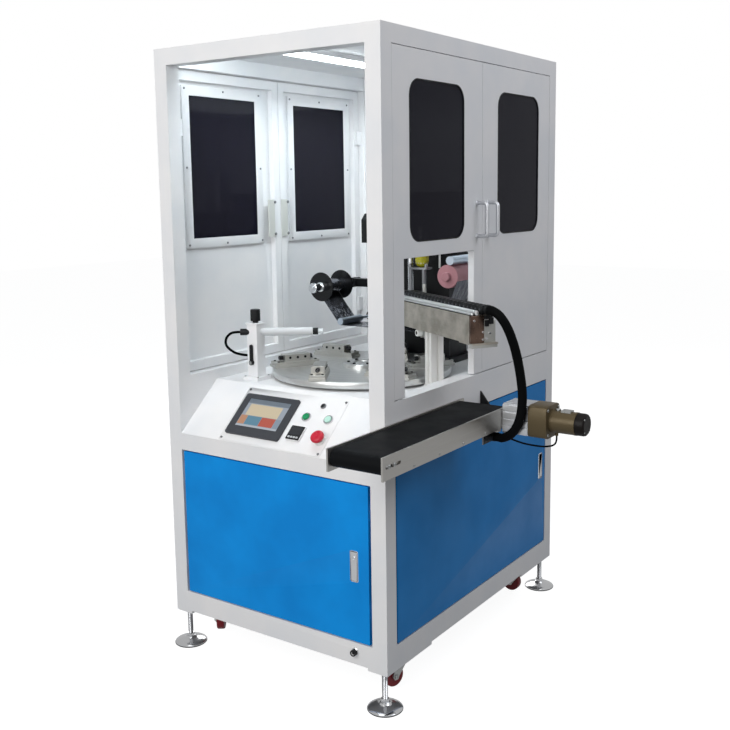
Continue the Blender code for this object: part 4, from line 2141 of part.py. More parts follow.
build_base_frame()
build_upper_frame()
build_console()
build_touch_panel()
build_button("start_button", GREEN_PLASTIC, START_X, START_ALONG)
build_button("reset_button", CLEAR_PLASTIC, RESET_X, RESET_ALONG)
build_emergency_stop()
build_table_plate()
build_turntable()
build_index_drive()
build_electrical_plate()
build_press_frame()
build_press_cylinder()
build_press_ram()
build_supply_reel()
build_takeup_reel()
build_foil_web()
build_transfer_beam()
build_cable_chain()
build_gripper(build_transfer_carriage())
build_conveyor_frame()
build_conveyor_belt()
build_belt_roller("idler_roller", FRONT_ROLLER_Y, LEFT_FACE + GAP, RIGHT_FACE - GAP)
build_belt_roller("drive_roller", BACK_ROLLER_Y, LEFT_FACE - CONVEYOR_PLATE / 2, CONVEYOR_RIGHT)
build_conveyor_motor()
build_doors()
build_front_door()
build_side_panel("right_lower_panel", 1, False)
build_side_panel("left_lower_door", -1, True)
build_back_panel()
build_feet()
for side_x, side_y in corners():
    build_caster(side_x, side_y)
build_sensor_post()
build_clamp_lever()
build_cords()
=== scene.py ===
# %% [markdown]
# # A hot foil stamping machine, dressed for a photograph
#
# The machine is a white welded cabinet with an indexing table inside, a stamping head with its
# foil feed, a pick-off beam and a belt conveyor on the right. Its solids come from a packed
# model. This lesson gives every piece its finish, its soft edges and the small parts that a
# plain solid doesn't have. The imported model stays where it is: a piece is either repainted or
# stood in for by a finer one in the same place.

import json
import math

import bmesh
import bpy
from mathutils import Matrix, Vector

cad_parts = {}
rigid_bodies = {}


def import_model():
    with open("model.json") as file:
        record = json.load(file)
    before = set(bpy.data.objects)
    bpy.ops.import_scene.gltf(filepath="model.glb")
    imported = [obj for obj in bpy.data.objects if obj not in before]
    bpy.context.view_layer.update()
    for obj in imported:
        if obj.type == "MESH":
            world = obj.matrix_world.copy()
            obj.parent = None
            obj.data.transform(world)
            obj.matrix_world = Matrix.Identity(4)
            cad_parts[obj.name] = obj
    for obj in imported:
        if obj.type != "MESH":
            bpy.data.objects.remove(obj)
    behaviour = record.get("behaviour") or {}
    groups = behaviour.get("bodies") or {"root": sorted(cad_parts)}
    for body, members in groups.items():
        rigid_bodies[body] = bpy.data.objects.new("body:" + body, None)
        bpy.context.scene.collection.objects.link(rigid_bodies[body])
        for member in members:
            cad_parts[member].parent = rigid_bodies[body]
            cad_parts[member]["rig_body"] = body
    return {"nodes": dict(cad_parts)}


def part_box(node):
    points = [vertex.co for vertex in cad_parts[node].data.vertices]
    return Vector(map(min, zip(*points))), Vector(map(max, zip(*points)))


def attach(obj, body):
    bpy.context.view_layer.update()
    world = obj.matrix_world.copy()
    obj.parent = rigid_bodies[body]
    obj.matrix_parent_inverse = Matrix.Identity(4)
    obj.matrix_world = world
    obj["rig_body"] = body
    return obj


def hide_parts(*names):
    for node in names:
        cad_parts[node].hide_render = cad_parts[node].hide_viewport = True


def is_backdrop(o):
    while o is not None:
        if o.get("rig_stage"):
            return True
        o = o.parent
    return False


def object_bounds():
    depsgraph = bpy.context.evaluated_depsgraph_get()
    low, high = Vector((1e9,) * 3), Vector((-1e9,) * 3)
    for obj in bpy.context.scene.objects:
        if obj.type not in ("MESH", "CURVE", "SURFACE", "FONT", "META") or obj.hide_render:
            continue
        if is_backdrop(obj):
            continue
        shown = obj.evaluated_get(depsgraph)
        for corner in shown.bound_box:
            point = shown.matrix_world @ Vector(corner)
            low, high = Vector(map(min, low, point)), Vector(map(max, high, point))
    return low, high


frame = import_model()
solid_box = [list(corner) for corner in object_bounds()]
low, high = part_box("upper_frame")
HERE = Vector(((low.x + high.x) / 2, (low.y + high.y) / 2, 0))
print("solids reach", solid_box)
print("the cabinet stands at", tuple(round(value, 4) for value in HERE))

# %% [markdown]
# ## Camera
#
# The photograph was taken with a normal lens, a little right of the front corner and a little
# above the touch panel. The place and the turn were solved from the straight edges of the
# cabinet, so the numbers are put in as they are. Setting the camera first means every later
# piece can be compared with the photograph as soon as it exists.

# %% Set the camera
CAMERA_PLACE = Vector((1.7646, -2.5515, 1.4086))
CAMERA_ROUND = math.radians(34.58)
CAMERA_DOWN = math.radians(8.12)
CAMERA_ROLL = -0.012867
SENSOR_WIDTH = 36
FOCAL_LENGTH = 47.849
LENS_SHIFT = (-0.01144, -0.0509)

back = Vector(
    (
        math.sin(CAMERA_ROUND) * math.cos(CAMERA_DOWN),
        -math.cos(CAMERA_ROUND) * math.cos(CAMERA_DOWN),
        math.sin(CAMERA_DOWN),
    )
)
level = Vector((math.cos(CAMERA_ROUND), math.sin(CAMERA_ROUND), 0))
upward = level.cross(-back)
across = level * math.cos(CAMERA_ROLL) + upward * math.sin(CAMERA_ROLL)
upright = upward * math.cos(CAMERA_ROLL) - level * math.sin(CAMERA_ROLL)
lens = bpy.data.cameras.new("camera")
lens.sensor_width = SENSOR_WIDTH
lens.sensor_fit = "HORIZONTAL"
lens.lens = FOCAL_LENGTH
lens.shift_x, lens.shift_y = LENS_SHIFT
camera = bpy.data.objects.new("camera", lens)
bpy.context.scene.collection.objects.link(camera)
turned_to = Matrix((across, upright, back)).transposed().to_4x4()
camera.matrix_world = Matrix.Translation(CAMERA_PLACE + HERE) @ turned_to
bpy.context.scene.camera = camera
print("camera at", tuple(round(value, 3) for value in camera.location))

# %% [markdown]
# ## Colour and finish helpers
#
# Colours are written as they look on a screen, so one function turns them into the linear
# values that a shader needs. Each finish starts from Blender's Principled shader, and one
# small function adds a node with its settings and its links. The settings that are the same
# all over a surface stay on the shader itself.


# %% Helpers for colours and shader nodes
def linear(colour):
    """A hex colour as linear values, by the screen's own curve."""
    values = []
    for place in (1, 3, 5):
        share = int(colour[place : place + 2], 16) / 255
        values.append(share / 12.92 if share <= 0.04045 else ((share + 0.055) / 1.055) ** 2.4)
    return (*values, 1.0)


def add(material, kind, settings, links):
    """A node of this kind, with its sockets or options set and its sockets linked."""
    node = material.node_tree.nodes.new(kind)
    for name, value in settings.items():
        if name in node.inputs:
            node.inputs[name].default_value = value
        else:
            setattr(node, name, value)
    for name, source in links.items():
        material.node_tree.links.new(source, node.inputs[name])
    return node


def shader_of(material):
    return material.node_tree.nodes["Principled BSDF"]


def new_finish(name, colour, **sockets):
    material = bpy.data.materials.new(name)
    material.use_nodes = True
    shader = shader_of(material)
    shader.inputs["Base Color"].default_value = linear(colour)
    for socket, value in sockets.items():
        shader.inputs[socket.replace("_", " ")].default_value = value
    return material


def to_shader(material, output, socket):
    material.node_tree.links.new(output, shader_of(material).inputs[socket])


def millimetres(size):
    """The scale of a pattern whose repeat is this many millimetres."""
    return 1000 / size


# %% [markdown]
# ### Surface texture
#
# Almost every surface here differs from a perfect one in two ways: it is a little uneven in
# how it shines, and it has a fine relief. Both come from noise in the piece's own coordinates,
# stretched along one direction when the surface was brushed or drawn. The real grain is finer
# than a pixel of the photograph, so the patterns are drawn coarser, with less height.


# %% Helpers for uneven shine, relief and soiling
def own_place(material, stretch=(1, 1, 1), centre=(0, 0, 0), turn=0.0):
    """The piece's own coordinates, moved to a centre, turned and stretched."""
    place = add(material, "ShaderNodeTexCoord", {}, {})
    settings = {
        "vector_type": "TEXTURE",
        "Location": centre,
        "Rotation": (0, 0, turn),
        "Scale": stretch,
    }
    return add(material, "ShaderNodeMapping", settings, {"Vector": place.outputs["Object"]})


def noise_of(material, place, size, detail):
    """Noise whose patches are about this many millimetres."""
    settings = {"Scale": millimetres(size), "Detail": detail}
    return add(material, "ShaderNodeTexNoise", settings, {"Vector": place.outputs["Vector"]})


def spread(material, source, reach, low, high):
    """Maps the part of a pattern within reach to the values from low to high."""
    settings = {"From Min": reach[0], "From Max": reach[1], "To Min": low, "To Max": high}
    node = add(material, "ShaderNodeMapRange", settings, {"Value": source.outputs["Fac"]})
    return node.outputs["Result"]


def bumped(material, source, height, strength=1.0):
    """Lets a pattern raise the surface; height is in metres."""
    settings = {"Strength": strength, "Distance": height}
    bump = add(material, "ShaderNodeBump", settings, {"Height": source.outputs["Fac"]})
    to_shader(material, bump.outputs["Normal"], "Normal")


def uneven(material, place, size, low, high):
    """Roughness that wanders between two values, over patches of this many millimetres."""
    noise = noise_of(material, place, size, 3.0)
    to_shader(material, spread(material, noise, (0.3, 0.7), low, high), "Roughness")
    return noise


def relief(material, place, size, height):
    """Relief of this many millimetres' spacing."""
    bumped(material, noise_of(material, place, size, 2.0), height)


def shaded(material, noise, light, dark):
    """A base colour that drifts from one hex colour to another with the noise."""
    share = spread(material, noise, (0.35, 0.65), 0.0, 1.0)
    mix = add(material, "ShaderNodeMix", {"data_type": "RGBA"}, {})
    mix.inputs[6].default_value = linear(light)
    mix.inputs[7].default_value = linear(dark)
    material.node_tree.links.new(share, mix.inputs[0])
    to_shader(material, mix.outputs[2], "Base Color")


def waves(material, place, size, options, distortion):
    """A wave whose crests are this many millimetres apart: Blender's has 20 to a unit."""
    settings = {"Scale": millimetres(size) / 20, "Distortion": distortion, **options}
    links = {"Vector": place.outputs["Vector"]}
    return add(material, "ShaderNodeTexWave", settings, links)


# %% [markdown]
# ### Painted sheet and tube
#
# The cabinet is steel tube and folded sheet with a baked powder coat: satin, with a faint
# orange peel from the powder melting. The white has a cold cast. The blue front door and the
# other blue panels have the same coat in another colour. The side and back panels get a darker
# copy of that blue, which is painted shade: it makes the sides darker than the lamps make them.
# Orange peel repeats every 3 mm or so; it is drawn at 7 mm, so that a trace of it shows
# at this size.


# %% Powder coats
ORANGE_PEEL = 7
ORANGE_PEEL_HEIGHT = 0.00006
COAT_PATCH = 160


def powder_coat(name, light, dark):
    coat = new_finish(name, light, Roughness=0.42, IOR=1.25)
    place = own_place(coat)
    noise = uneven(coat, place, COAT_PATCH, 0.34, 0.46)
    shaded(coat, noise, light, dark)
    relief(coat, place, ORANGE_PEEL, ORANGE_PEEL_HEIGHT)
    return coat


white_powder_coat = powder_coat("white_powder_coat", "#ECEBEB", "#E5E6E8")
blue_powder_coat = powder_coat("blue_powder_coat", "#0A92E6", "#0886D8")
# A darker copy of the same blue for the side and back panels: painted shade.
painted_shade_blue_coat = powder_coat("painted_shade_blue_coat", "#0980CA", "#0777BE")
print("powder coats:", white_powder_coat.name, blue_powder_coat.name, painted_shade_blue_coat.name)

# %% [markdown]
# ### Bare and plated metals
#
# Aluminium here is of three kinds. The extruded and anodised parts are pale and even. The round
# table was faced on a lathe, which leaves rings round its centre. The holders were milled. The
# beam is ground steel, a warmer grey with streaks along its length. Rods, feet and latches are
# chrome plated, and the caster forks are zinc plated. Metals keep the default IOR, because
# their colour and roughness say it all. Real brush lines and lathe marks are tenths of a
# millimetre apart and are drawn coarser here. Small bright pieces only shine unevenly: a relief
# finer than a pixel would make them look crumpled.


# %% Metals
STAIN_PATCH = 45


def brushed_metal(name, colour, low, high, stretch, size, height, turn=0.0, stain=None):
    """Streaks of this many millimetres, stretched along one direction.

    The roughness wanders from low to high, height is the relief's, and a stained metal drifts
    to the stain's colour over wide patches.
    """
    metal = new_finish(name, colour, Metallic=1.0, Roughness=high)
    place = own_place(metal, stretch=stretch, turn=turn)
    uneven(metal, place, size, low, high)
    if height:
        relief(metal, place, size, height)
    if stain:
        shaded(metal, noise_of(metal, own_place(metal), STAIN_PATCH, 4.0), colour, stain)
    return metal


BEAM_TURN = math.radians(-31.3)
anodised_aluminium = brushed_metal(
    "anodised_aluminium", "#C9CBCF", 0.34, 0.46, (1, 12, 1), 4, 0.00003
)
conveyor_aluminium = brushed_metal(
    "brushed_conveyor_aluminium", "#B2B0AC", 0.30, 0.44, (1, 25, 1), 3, 0.00004
)
bright_aluminium = brushed_metal("bright_aluminium", "#D6D8DB", 0.30, 0.40, (12, 1, 1), 20, 0)
milled_aluminium = brushed_metal("milled_aluminium", "#BEBDB8", 0.28, 0.40, (6, 1, 1), 8, 0.00002)
ground_steel = brushed_metal(
    "ground_steel", "#C6C0B6", 0.36, 0.50, (25, 1, 1), 3, 0.00003, BEAM_TURN, "#A39D92"
)
browned_steel = brushed_metal(
    "browned_steel", "#7A6458", 0.16, 0.28, (4, 1, 1), 6, 0.00003, BEAM_TURN, "#4E3F38"
)
polished_rod = brushed_metal("polished_rod", "#F4F4F3", 0.26, 0.34, (12, 1, 1), 20, 0, BEAM_TURN)
tool_steel = brushed_metal("tool_steel", "#8E8F92", 0.28, 0.40, (1, 1, 8), 4, 0.00003)
chrome_plate = brushed_metal("chrome_plate", "#D8D9DB", 0.12, 0.20, (1, 1, 6), 20, 0)
zinc_plate = brushed_metal("zinc_plate", "#A9ABAA", 0.26, 0.40, (1, 1, 3), 6, 0.00001)
dull_aluminium = brushed_metal("dull_aluminium", "#BDBDB9", 0.44, 0.56, (1, 1, 10), 12, 0.00001)
brass = brushed_metal("engraved_brass", "#C79A54", 0.24, 0.36, (1, 1, 1), 3, 0.00003)
ground_roller = brushed_metal("ground_roller", "#C3CEDA", 0.28, 0.38, (1, 12, 1), 20, 0)


LATHE_MARK = 5
LATHE_MARK_HEIGHT = 0.000006


def turned_metal(name, colour, centre, ring):
    """Metal faced on a lathe: rings round the centre, this many millimetres apart."""
    metal = new_finish(name, colour, Metallic=1.0, Roughness=0.3)
    place = own_place(metal, centre=centre)
    options = {"wave_type": "RINGS", "rings_direction": "Z"}
    rings = waves(metal, place, ring, options, 0.4)
    bumped(metal, rings, LATHE_MARK_HEIGHT)
    to_shader(metal, spread(metal, rings, (0.0, 1.0), 0.30, 0.40), "Roughness")
    return metal


TABLE_CENTRE = Vector((0, -0.058, 0))
turned_aluminium = turned_metal("turned_aluminium", "#D6D7D6", TABLE_CENTRE, LATHE_MARK)
print("the table's rings are centred at", tuple(round(value, 3) for value in TABLE_CENTRE))

# %% [markdown]
# ### Plastics, rubber, glass and enamel
#
# The press is enamelled black. Knobs, reels, the touch panel and the chain are black moulded
# plastic with a fine spark texture. The windows are smoked acrylic: nearly black, glossy, and
# still a little see-through. The belt is black PVC on cloth, the hose is smooth rubber and the
# wheels are dark red polyurethane on grey hubs. The gear case has an olive brown enamel.


# %% Plastics, rubber and enamel
SPARK_HEIGHT = 0.00004


def moulded(name, colour, low, high, size=3, **sockets):
    """Spark texture of this many millimetres, and a shine that wanders over wider patches."""
    plastic = new_finish(name, colour, Roughness=high, **{"IOR": 1.4, **sockets})
    place = own_place(plastic)
    uneven(plastic, place, 8 * size, low, high)
    relief(plastic, place, size, SPARK_HEIGHT)
    return plastic


def smooth(name, colour, size, low, high, **sockets):
    """A smooth surface, whose shine is only a little uneven."""
    material = new_finish(name, colour, **sockets)
    uneven(material, own_place(material), size, low, high)
    return material


black_enamel = moulded("black_enamel", "#131416", 0.32, 0.44, IOR=1.33)
black_plastic = moulded("black_moulded_plastic", "#0E0F11", 0.42, 0.54, IOR=1.33)
panel_plastic = moulded("dark_grey_plastic", "#3A3C41", 0.36, 0.46)
grey_plastic = moulded("pale_grey_plastic", "#B9BCBE", 0.42, 0.54)
white_plastic = moulded("white_plastic", "#ECEDEA", 0.30, 0.40)
green_plastic = moulded("green_plastic", "#0B8C55", 0.24, 0.34)
pale_green_plastic = moulded("pale_green_plastic", "#BFE6D8", 0.24, 0.34)
red_plastic = moulded("red_plastic", "#C6263A", 0.26, 0.36)
hose_rubber = moulded("black_hose_rubber", "#08090A", 0.60, 0.70, size=5, IOR=1.13)
foot_rubber = moulded("foot_rubber", "#202123", 0.62, 0.74)
wheel_polyurethane = moulded("dark_red_polyurethane", "#7E151F", 0.32, 0.42)
pink_wrap = moulded("pink_roll", "#A5757B", 0.44, 0.56, size=2)
brake_plastic = moulded("orange_red_plastic", "#C8402C", 0.32, 0.42)
olive_enamel = moulded("olive_brown_enamel", "#5A4E37", 0.32, 0.44, IOR=1.33, Metallic=0.3)
fan_cover_black = moulded("brown_black_cover", "#14100E", 0.34, 0.46, IOR=1.22)
glossy_black = moulded("glossy_black_plastic", "#0D0E10", 0.14, 0.22)
barrel_grey = moulded("silver_grey_barrel", "#CFD1D3", 0.30, 0.42)
pale_strip = moulded("pale_anodised_strip", "#DADBD5", 0.40, 0.52, size=8, Metallic=0.3)
column_white = moulded("pale_anodised_column", "#EDECE9", 0.40, 0.52, size=8, Metallic=0.3)
smoked_acrylic = smooth(
    "smoked_acrylic", "#191823", 220, 0.04, 0.09, Roughness=0.06, IOR=1.14, Alpha=0.93
)
bowl_plastic = smooth(
    "yellow_green_bowl", "#A8A21F", 20, 0.08, 0.16, Roughness=0.12, IOR=1.5, Alpha=0.85
)
clear_tip = smooth("frosted_tip", "#E9EEF0", 10, 0.2, 0.35, Roughness=0.3, IOR=1.5, Alpha=0.75)

# %% [markdown]
# Three finishes need something of their own. The stamping foil is a thin metal film that never
# hangs quite flat, so it has a wide, low relief that breaks up what it mirrors. The belt's face
# has fine cross ribs, drawn 6 mm apart. A lit thing gives a little light itself.

# %% Foil, belt and lit surfaces
FOIL_WAVE = 26
FOIL_WAVE_HEIGHT = 0.006
BELT_RIB = 6
BELT_RIB_HEIGHT = 0.0001
stamping_foil = smooth("stamping_foil", "#6E7077", 60, 0.10, 0.20, Metallic=0.9, Roughness=0.14)
hanging = own_place(stamping_foil, stretch=(1, 1, 2.5))
relief(stamping_foil, hanging, FOIL_WAVE, FOIL_WAVE_HEIGHT)

belt_pvc = new_finish("black_belt_pvc", "#101113", Roughness=0.6, IOR=1.12)
belt_place = own_place(belt_pvc)
uneven(belt_pvc, belt_place, 90, 0.46, 0.62)
ribs = waves(belt_pvc, belt_place, BELT_RIB, {"bands_direction": "Y"}, 0.3)
bumped(belt_pvc, ribs, BELT_RIB_HEIGHT, 0.6)


def glowing(name, colour, strength, roughness=0.3):
    """A surface that gives a little light of its own, such as a lit screen or a lamp tube."""
    sockets = {"Roughness": roughness, "IOR": 1.5, "Emission_Strength": strength}
    glow = smooth(name, colour, 60, roughness * 0.9, roughness * 1.1, **sockets)
    shader_of(glow).inputs["Emission Color"].default_value = linear(colour)
    return glow


lamp_glow = glowing("lamp_tube_glow", "#EAF5FA", 13.0)
print("finishes so far:", len(bpy.data.materials))

# %% [markdown]
# ### Colour groups
#
# Whoever takes the finished machine may want to repaint it, so every finish is sorted into
# the group that it is repainted with. Most groups follow from the finish. Screw heads are handed
# the steel group, whatever they are blackened with; a piece looks its group up but doesn't keep it.

# %% Which finish belongs to which group
GROUPS = {
    "white_paint": (white_powder_coat, white_plastic, barrel_grey),
    "blue_paint": (blue_powder_coat, painted_shade_blue_coat),
    "black_paint": (black_enamel,),
    "gear_paint": (olive_enamel,),
    "aluminium": (
        anodised_aluminium,
        conveyor_aluminium,
        bright_aluminium,
        milled_aluminium,
        turned_aluminium,
        pale_strip,
        grey_plastic,
    ),
    "steel": (ground_steel, browned_steel, tool_steel, zinc_plate, dull_aluminium, brass),
    "chrome": (chrome_plate, polished_rod),
    "black_plastic": (black_plastic, panel_plastic, glossy_black, fan_cover_black),
    "pale_plastic": (pale_green_plastic, bowl_plastic),
    "green_plastic": (green_plastic,),
    "red_plastic": (red_plastic,),
    "rubber": (hose_rubber, foot_rubber, belt_pvc),
    "wheel_red": (wheel_polyurethane,),
    "roll_pink": (pink_wrap,),
    "foil": (stamping_foil,),
    "panes": (smoked_acrylic,),
}
GROUP_OF = {finish.name: group for group, finishes in GROUPS.items() for finish in finishes}
print("colour groups:", ", ".join(GROUPS))

# %% [markdown]
# ## Making and placing a piece
#
# All the shapes below are given in the cabinet's own coordinates: metres, with the middle of
# the cabinet at zero, the operator's side at minus Y and the floor at zero. One function turns
# a mesh under construction into a piece: it smooths the round faces, keeps real edges sharp,
# rounds them with a Bevel modifier, and hands the piece to the body that carries it. A real
# edge is never razor sharp, and the thin light line along it is what makes metal look real.

# %% Turn a mesh into a placed piece
SMOOTH_UP_TO = math.radians(32)
ROUNDED_FROM = math.radians(38)
SAME_PLACE = 0.00002
SAME_FACE = math.radians(1)


def settle(shape, name, finishes, body="frame", edge=0.0, stands_for=(), which=None, group=None):
    """finishes is one material or several; which gives the number for a face's centre."""
    finishes = finishes if isinstance(finishes, list) else [finishes]
    if which:
        for face in shape.faces:
            face.material_index = which(face.calc_center_median())
    mesh = bpy.data.meshes.new(name)
    shape.to_mesh(mesh)
    shape.free()
    for material in finishes:
        mesh.materials.append(material)
    mesh.shade_smooth()
    mesh.set_sharp_from_angle(angle=SMOOTH_UP_TO)
    piece = bpy.data.objects.new(name, mesh)
    piece.location = HERE
    bpy.context.scene.collection.objects.link(piece)
    if edge:
        bevel = piece.modifiers.new("soft edges", "BEVEL")
        bevel.width = edge
        bevel.segments = 2
        bevel.limit_method = "ANGLE"
        bevel.angle_limit = ROUNDED_FROM
        bevel.harden_normals = True
    if stands_for:
        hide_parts(*stands_for)
    group or GROUP_OF[finishes[0].name]
    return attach(piece, body)


def flattened(shape):
    """Makes each flat face whole."""
    bmesh.ops.remove_doubles(shape, verts=shape.verts, dist=SAME_PLACE)
    bmesh.ops.dissolve_limit(shape, angle_limit=SAME_FACE, verts=shape.verts, edges=shape.edges)


def whole(shape):
    """Turns every face of the shape outwards."""
    bmesh.ops.recalc_face_normals(shape, faces=shape.faces)
    return shape


def solid_of(node, whole_faces=True):
    """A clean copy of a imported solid, in the cabinet's coordinates.

    Flat faces are made whole, which gives clean rounded edges. A face with a window in it
    can't be whole, so a door keeps its triangles.
    """
    shape = bmesh.new()
    shape.from_mesh(frame["nodes"][node].data)
    bmesh.ops.translate(shape, verts=shape.verts, vec=-HERE)
    if whole_faces:
        flattened(shape)
    else:
        bmesh.ops.remove_doubles(shape, verts=shape.verts, dist=SAME_PLACE)
    return whole(shape)


def softened(node, finishes, edge, which=None, whole_faces=True, group=None):
    """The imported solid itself, with soft edges and a real finish."""
    body = frame["nodes"][node]["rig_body"]
    shape = solid_of(node, whole_faces)
    return settle(shape, f"{node}_made", finishes, body, edge, [node], which, group)


# %% [markdown]
# ### Shapes in mesh code
#
# Most small parts are boxes, turned shapes and pushed outlines. Each helper adds its shape to a
# mesh under construction, so that one piece can hold several of them, and takes a matrix that
# says where the shape goes.


# %% Boxes, turned shapes and pushed outlines
def box(shape, low, high, place=None):
    """A box from one corner to the opposite one, moved by a matrix where one is given."""
    low = Vector(low)
    high = Vector(high)
    made = bmesh.ops.create_cube(shape, size=1)
    size = Matrix.Diagonal((*(high - low), 1))
    matrix = (place or Matrix()) @ Matrix.Translation((low + high) / 2) @ size
    bmesh.ops.transform(shape, matrix=matrix, verts=made["verts"])


def axis_place(centre, axis):
    """A matrix that puts the shape's own Z along the axis."""
    facing = Vector(axis).to_track_quat("Z", "Y").to_matrix().to_4x4()
    return Matrix.Translation(centre) @ facing


def moved(x, y, z=0.0):
    """A matrix that moves a shape without turning it."""
    return Matrix.Translation((x, y, z))


def side_place(side, x):
    """Turns an outline of (y, z) pairs upright, facing the machine's left or right side."""
    columns = Matrix(((0, 0, side, 0), (1, 0, 0, 0), (0, 1, 0, 0), (0, 0, 0, 1)))
    return moved(side * x, 0) @ columns


def turned(shape, profile, place, sides=48, flutes=0.0):
    """A profile of (radius, height) pairs turned about Z. Flutes pull in every other side."""
    rings = []
    for radius, height in profile:
        if radius == 0:
            rings.append([shape.verts.new((0, 0, height))])
            continue
        ring = []
        for side in range(sides):
            angle = math.tau * side / sides
            reach = radius - (flutes if side % 2 else 0.0)
            ring.append(shape.verts.new((reach * math.cos(angle), reach * math.sin(angle), height)))
        rings.append(ring)
    for ring, after in zip(rings, rings[1:]):
        for side in range(sides):
            other = (side + 1) % sides
            corners = [ring[side], ring[other]] if len(ring) > 1 else [ring[0]]
            corners += [after[other], after[side]] if len(after) > 1 else [after[0]]
            if len(corners) > 2:
                shape.faces.new(corners)
    if len(rings[0]) > 1:
        shape.faces.new(rings[0][::-1])
    if len(rings[-1]) > 1:
        shape.faces.new(rings[-1])
    corners = [corner for ring in rings for corner in ring]
    bmesh.ops.transform(shape, matrix=place, verts=corners)


def pushed(shape, outline, place, depth):
    """An outline in its own XY plane, pushed along Z, and put in place."""
    floor = [shape.verts.new((x, y, 0)) for x, y in outline]
    face = shape.faces.new(floor)
    made = bmesh.ops.extrude_face_region(shape, geom=[face])
    tops = [item for item in made["geom"] if isinstance(item, bmesh.types.BMVert)]
    bmesh.ops.translate(shape, verts=tops, vec=(0, 0, depth))
    bmesh.ops.transform(shape, matrix=place, verts=floor + tops)


def round_corners(low_x, high_x, low_y, high_y, radius, steps=8):
    """The outline of a plate whose corners are round."""
    points = []
    corners = (
        (high_x - radius, low_y + radius, -90),
        (high_x - radius, high_y - radius, 0),
        (low_x + radius, high_y - radius, 90),
        (low_x + radius, low_y + radius, 180),
    )
    for x, y, start in corners:
        for step in range(steps + 1):
            angle = math.radians(start + 90 * step / steps)
            points.append((x + radius * math.cos(angle), y + radius * math.sin(angle)))
    return points


def nut(shape, place, radius, height, bore):
    """A hexagonal nut with a chamfer on its free face."""
    profile = [(radius, 0), (radius, height * 0.8), (radius * 0.9, height), (bore, height)]
    profile += [(bore, height * 0.6), (0, height * 0.6)]
    turned(shape, profile, place, 6)


def screw(shape, place, radius, height, sides=16):
    """A round screw head with a socket in it."""
    profile = [(radius, 0), (radius, height * 0.7), (radius * 0.86, height)]
    profile += [(radius * 0.5, height), (radius * 0.45, height * 0.4), (0, height * 0.4)]
    turned(shape, profile, place, sides)


# %% [markdown]
# Three kinds of piece come back all the time: one turned shape, a set of screw heads, and a
# round bar or cord. Each gets a function that makes the whole piece.


# %% Whole pieces: one turned shape, a set of screws, a bar or a cord
def lathe(name, finish, profile, place, sides=48, flutes=0.0, **how):
    """One turned shape as a piece; how goes on to settle."""
    shape = bmesh.new()
    turned(shape, profile, place, sides, flutes)
    settle(whole(shape), name, finish, **how)


def screws(name, finish, heads, sides=16, body="frame", group="steel"):
    """One piece of screw heads, each given as its place, its radius and its height."""
    shape = bmesh.new()
    for place, radius, height in heads:
        screw(shape, place, radius, height, sides)
    settle(whole(shape), name, finish, body, group=group)


def grid(xs, ys):
    """Every pair of one from each list, such as the four corners of a plate."""
    return [(x, y) for x in xs for y in ys]


def square(half):
    """The corners of a square that is twice as wide as this."""
    return grid((-half, half), (-half, half))


def within(centre, low, high):
    """Tells whether a face's centre lies in a box."""
    return all(least < value < most for least, value, most in zip(low, centre, high))


def bar_along(name, path, radius, finish):
    """A round bar along a path: a curve with a round bevel keeps the path as its centreline."""
    curve = bpy.data.curves.new(name, "CURVE")
    curve.dimensions = "3D"
    curve.bevel_depth = radius
    curve.bevel_resolution = 6
    curve.use_fill_caps = True
    curve.materials.append(finish)
    spline = curve.splines.new("POLY")
    spline.points.add(len(path) - 1)
    for point, place in zip(spline.points, path):
        point.co = (*place, 1)
    spline.use_smooth = True
    piece = bpy.data.objects.new(name, curve)
    piece.location = HERE
    bpy.context.scene.collection.objects.link(piece)
    return piece


print("shape helpers ready")

# %% [markdown]
# ## Cords
#
# Three cords show, and each is seen almost whole. A smooth black air hose bends from the end of
# the cable chain down to a large gland under the conveyor, a thin motor lead runs under the
# gear motor to a gland beside it, and the sensor's lead loops back to its post. Each is a curve
# through the same points as in the solids, so it keeps its real length.

# %% Routes of the cords
HOSE_ROUTE = (
    (0.5581, -0.2640, 1.0866),
    (0.5691, -0.2707, 1.0866),
    (0.5800, -0.2773, 1.0866),
    (0.6040, -0.2790, 1.0730),
    (0.6210, -0.2620, 1.0330),
    (0.6300, -0.2360, 0.9700),
    (0.6330, -0.2120, 0.8950),
    (0.6320, -0.2005, 0.8370),
    (0.6220, -0.1970, 0.7800),
    (0.6000, -0.1960, 0.7400),
    (0.5725, -0.1960, 0.7230),
    (0.5595, -0.1960, 0.7230),
    (0.5468, -0.1960, 0.7230),
)
MOTOR_LEAD_ROUTE = (
    (0.7078, -0.1420, 0.7354),
    (0.7078, -0.1420, 0.7304),
    (0.7078, -0.1420, 0.7250),
    (0.7040, -0.1424, 0.7130),
    (0.6920, -0.1440, 0.7050),
    (0.6660, -0.1520, 0.7020),
    (0.6200, -0.1620, 0.7060),
    (0.5850, -0.1690, 0.7150),
    (0.5640, -0.1710, 0.7180),
    (0.5550, -0.1710, 0.7180),
    (0.5468, -0.1710, 0.7180),
)
SENSOR_LEAD_ROUTE = (
    (-0.2733, -0.3255, 0.9743),
    (-0.2774, -0.3283, 0.9743),
    (-0.2815, -0.3312, 0.9743),
    (-0.2990, -0.3410, 0.9700),
    (-0.3150, -0.3450, 0.9530),
    (-0.3190, -0.3400, 0.9290),
    (-0.3090, -0.3190, 0.9070),
    (-0.2920, -0.3040, 0.8990),
    (-0.2775, -0.2980, 0.8973),
    (-0.2716, -0.2980, 0.8973),
    (-0.2658, -0.2980, 0.8973),
)


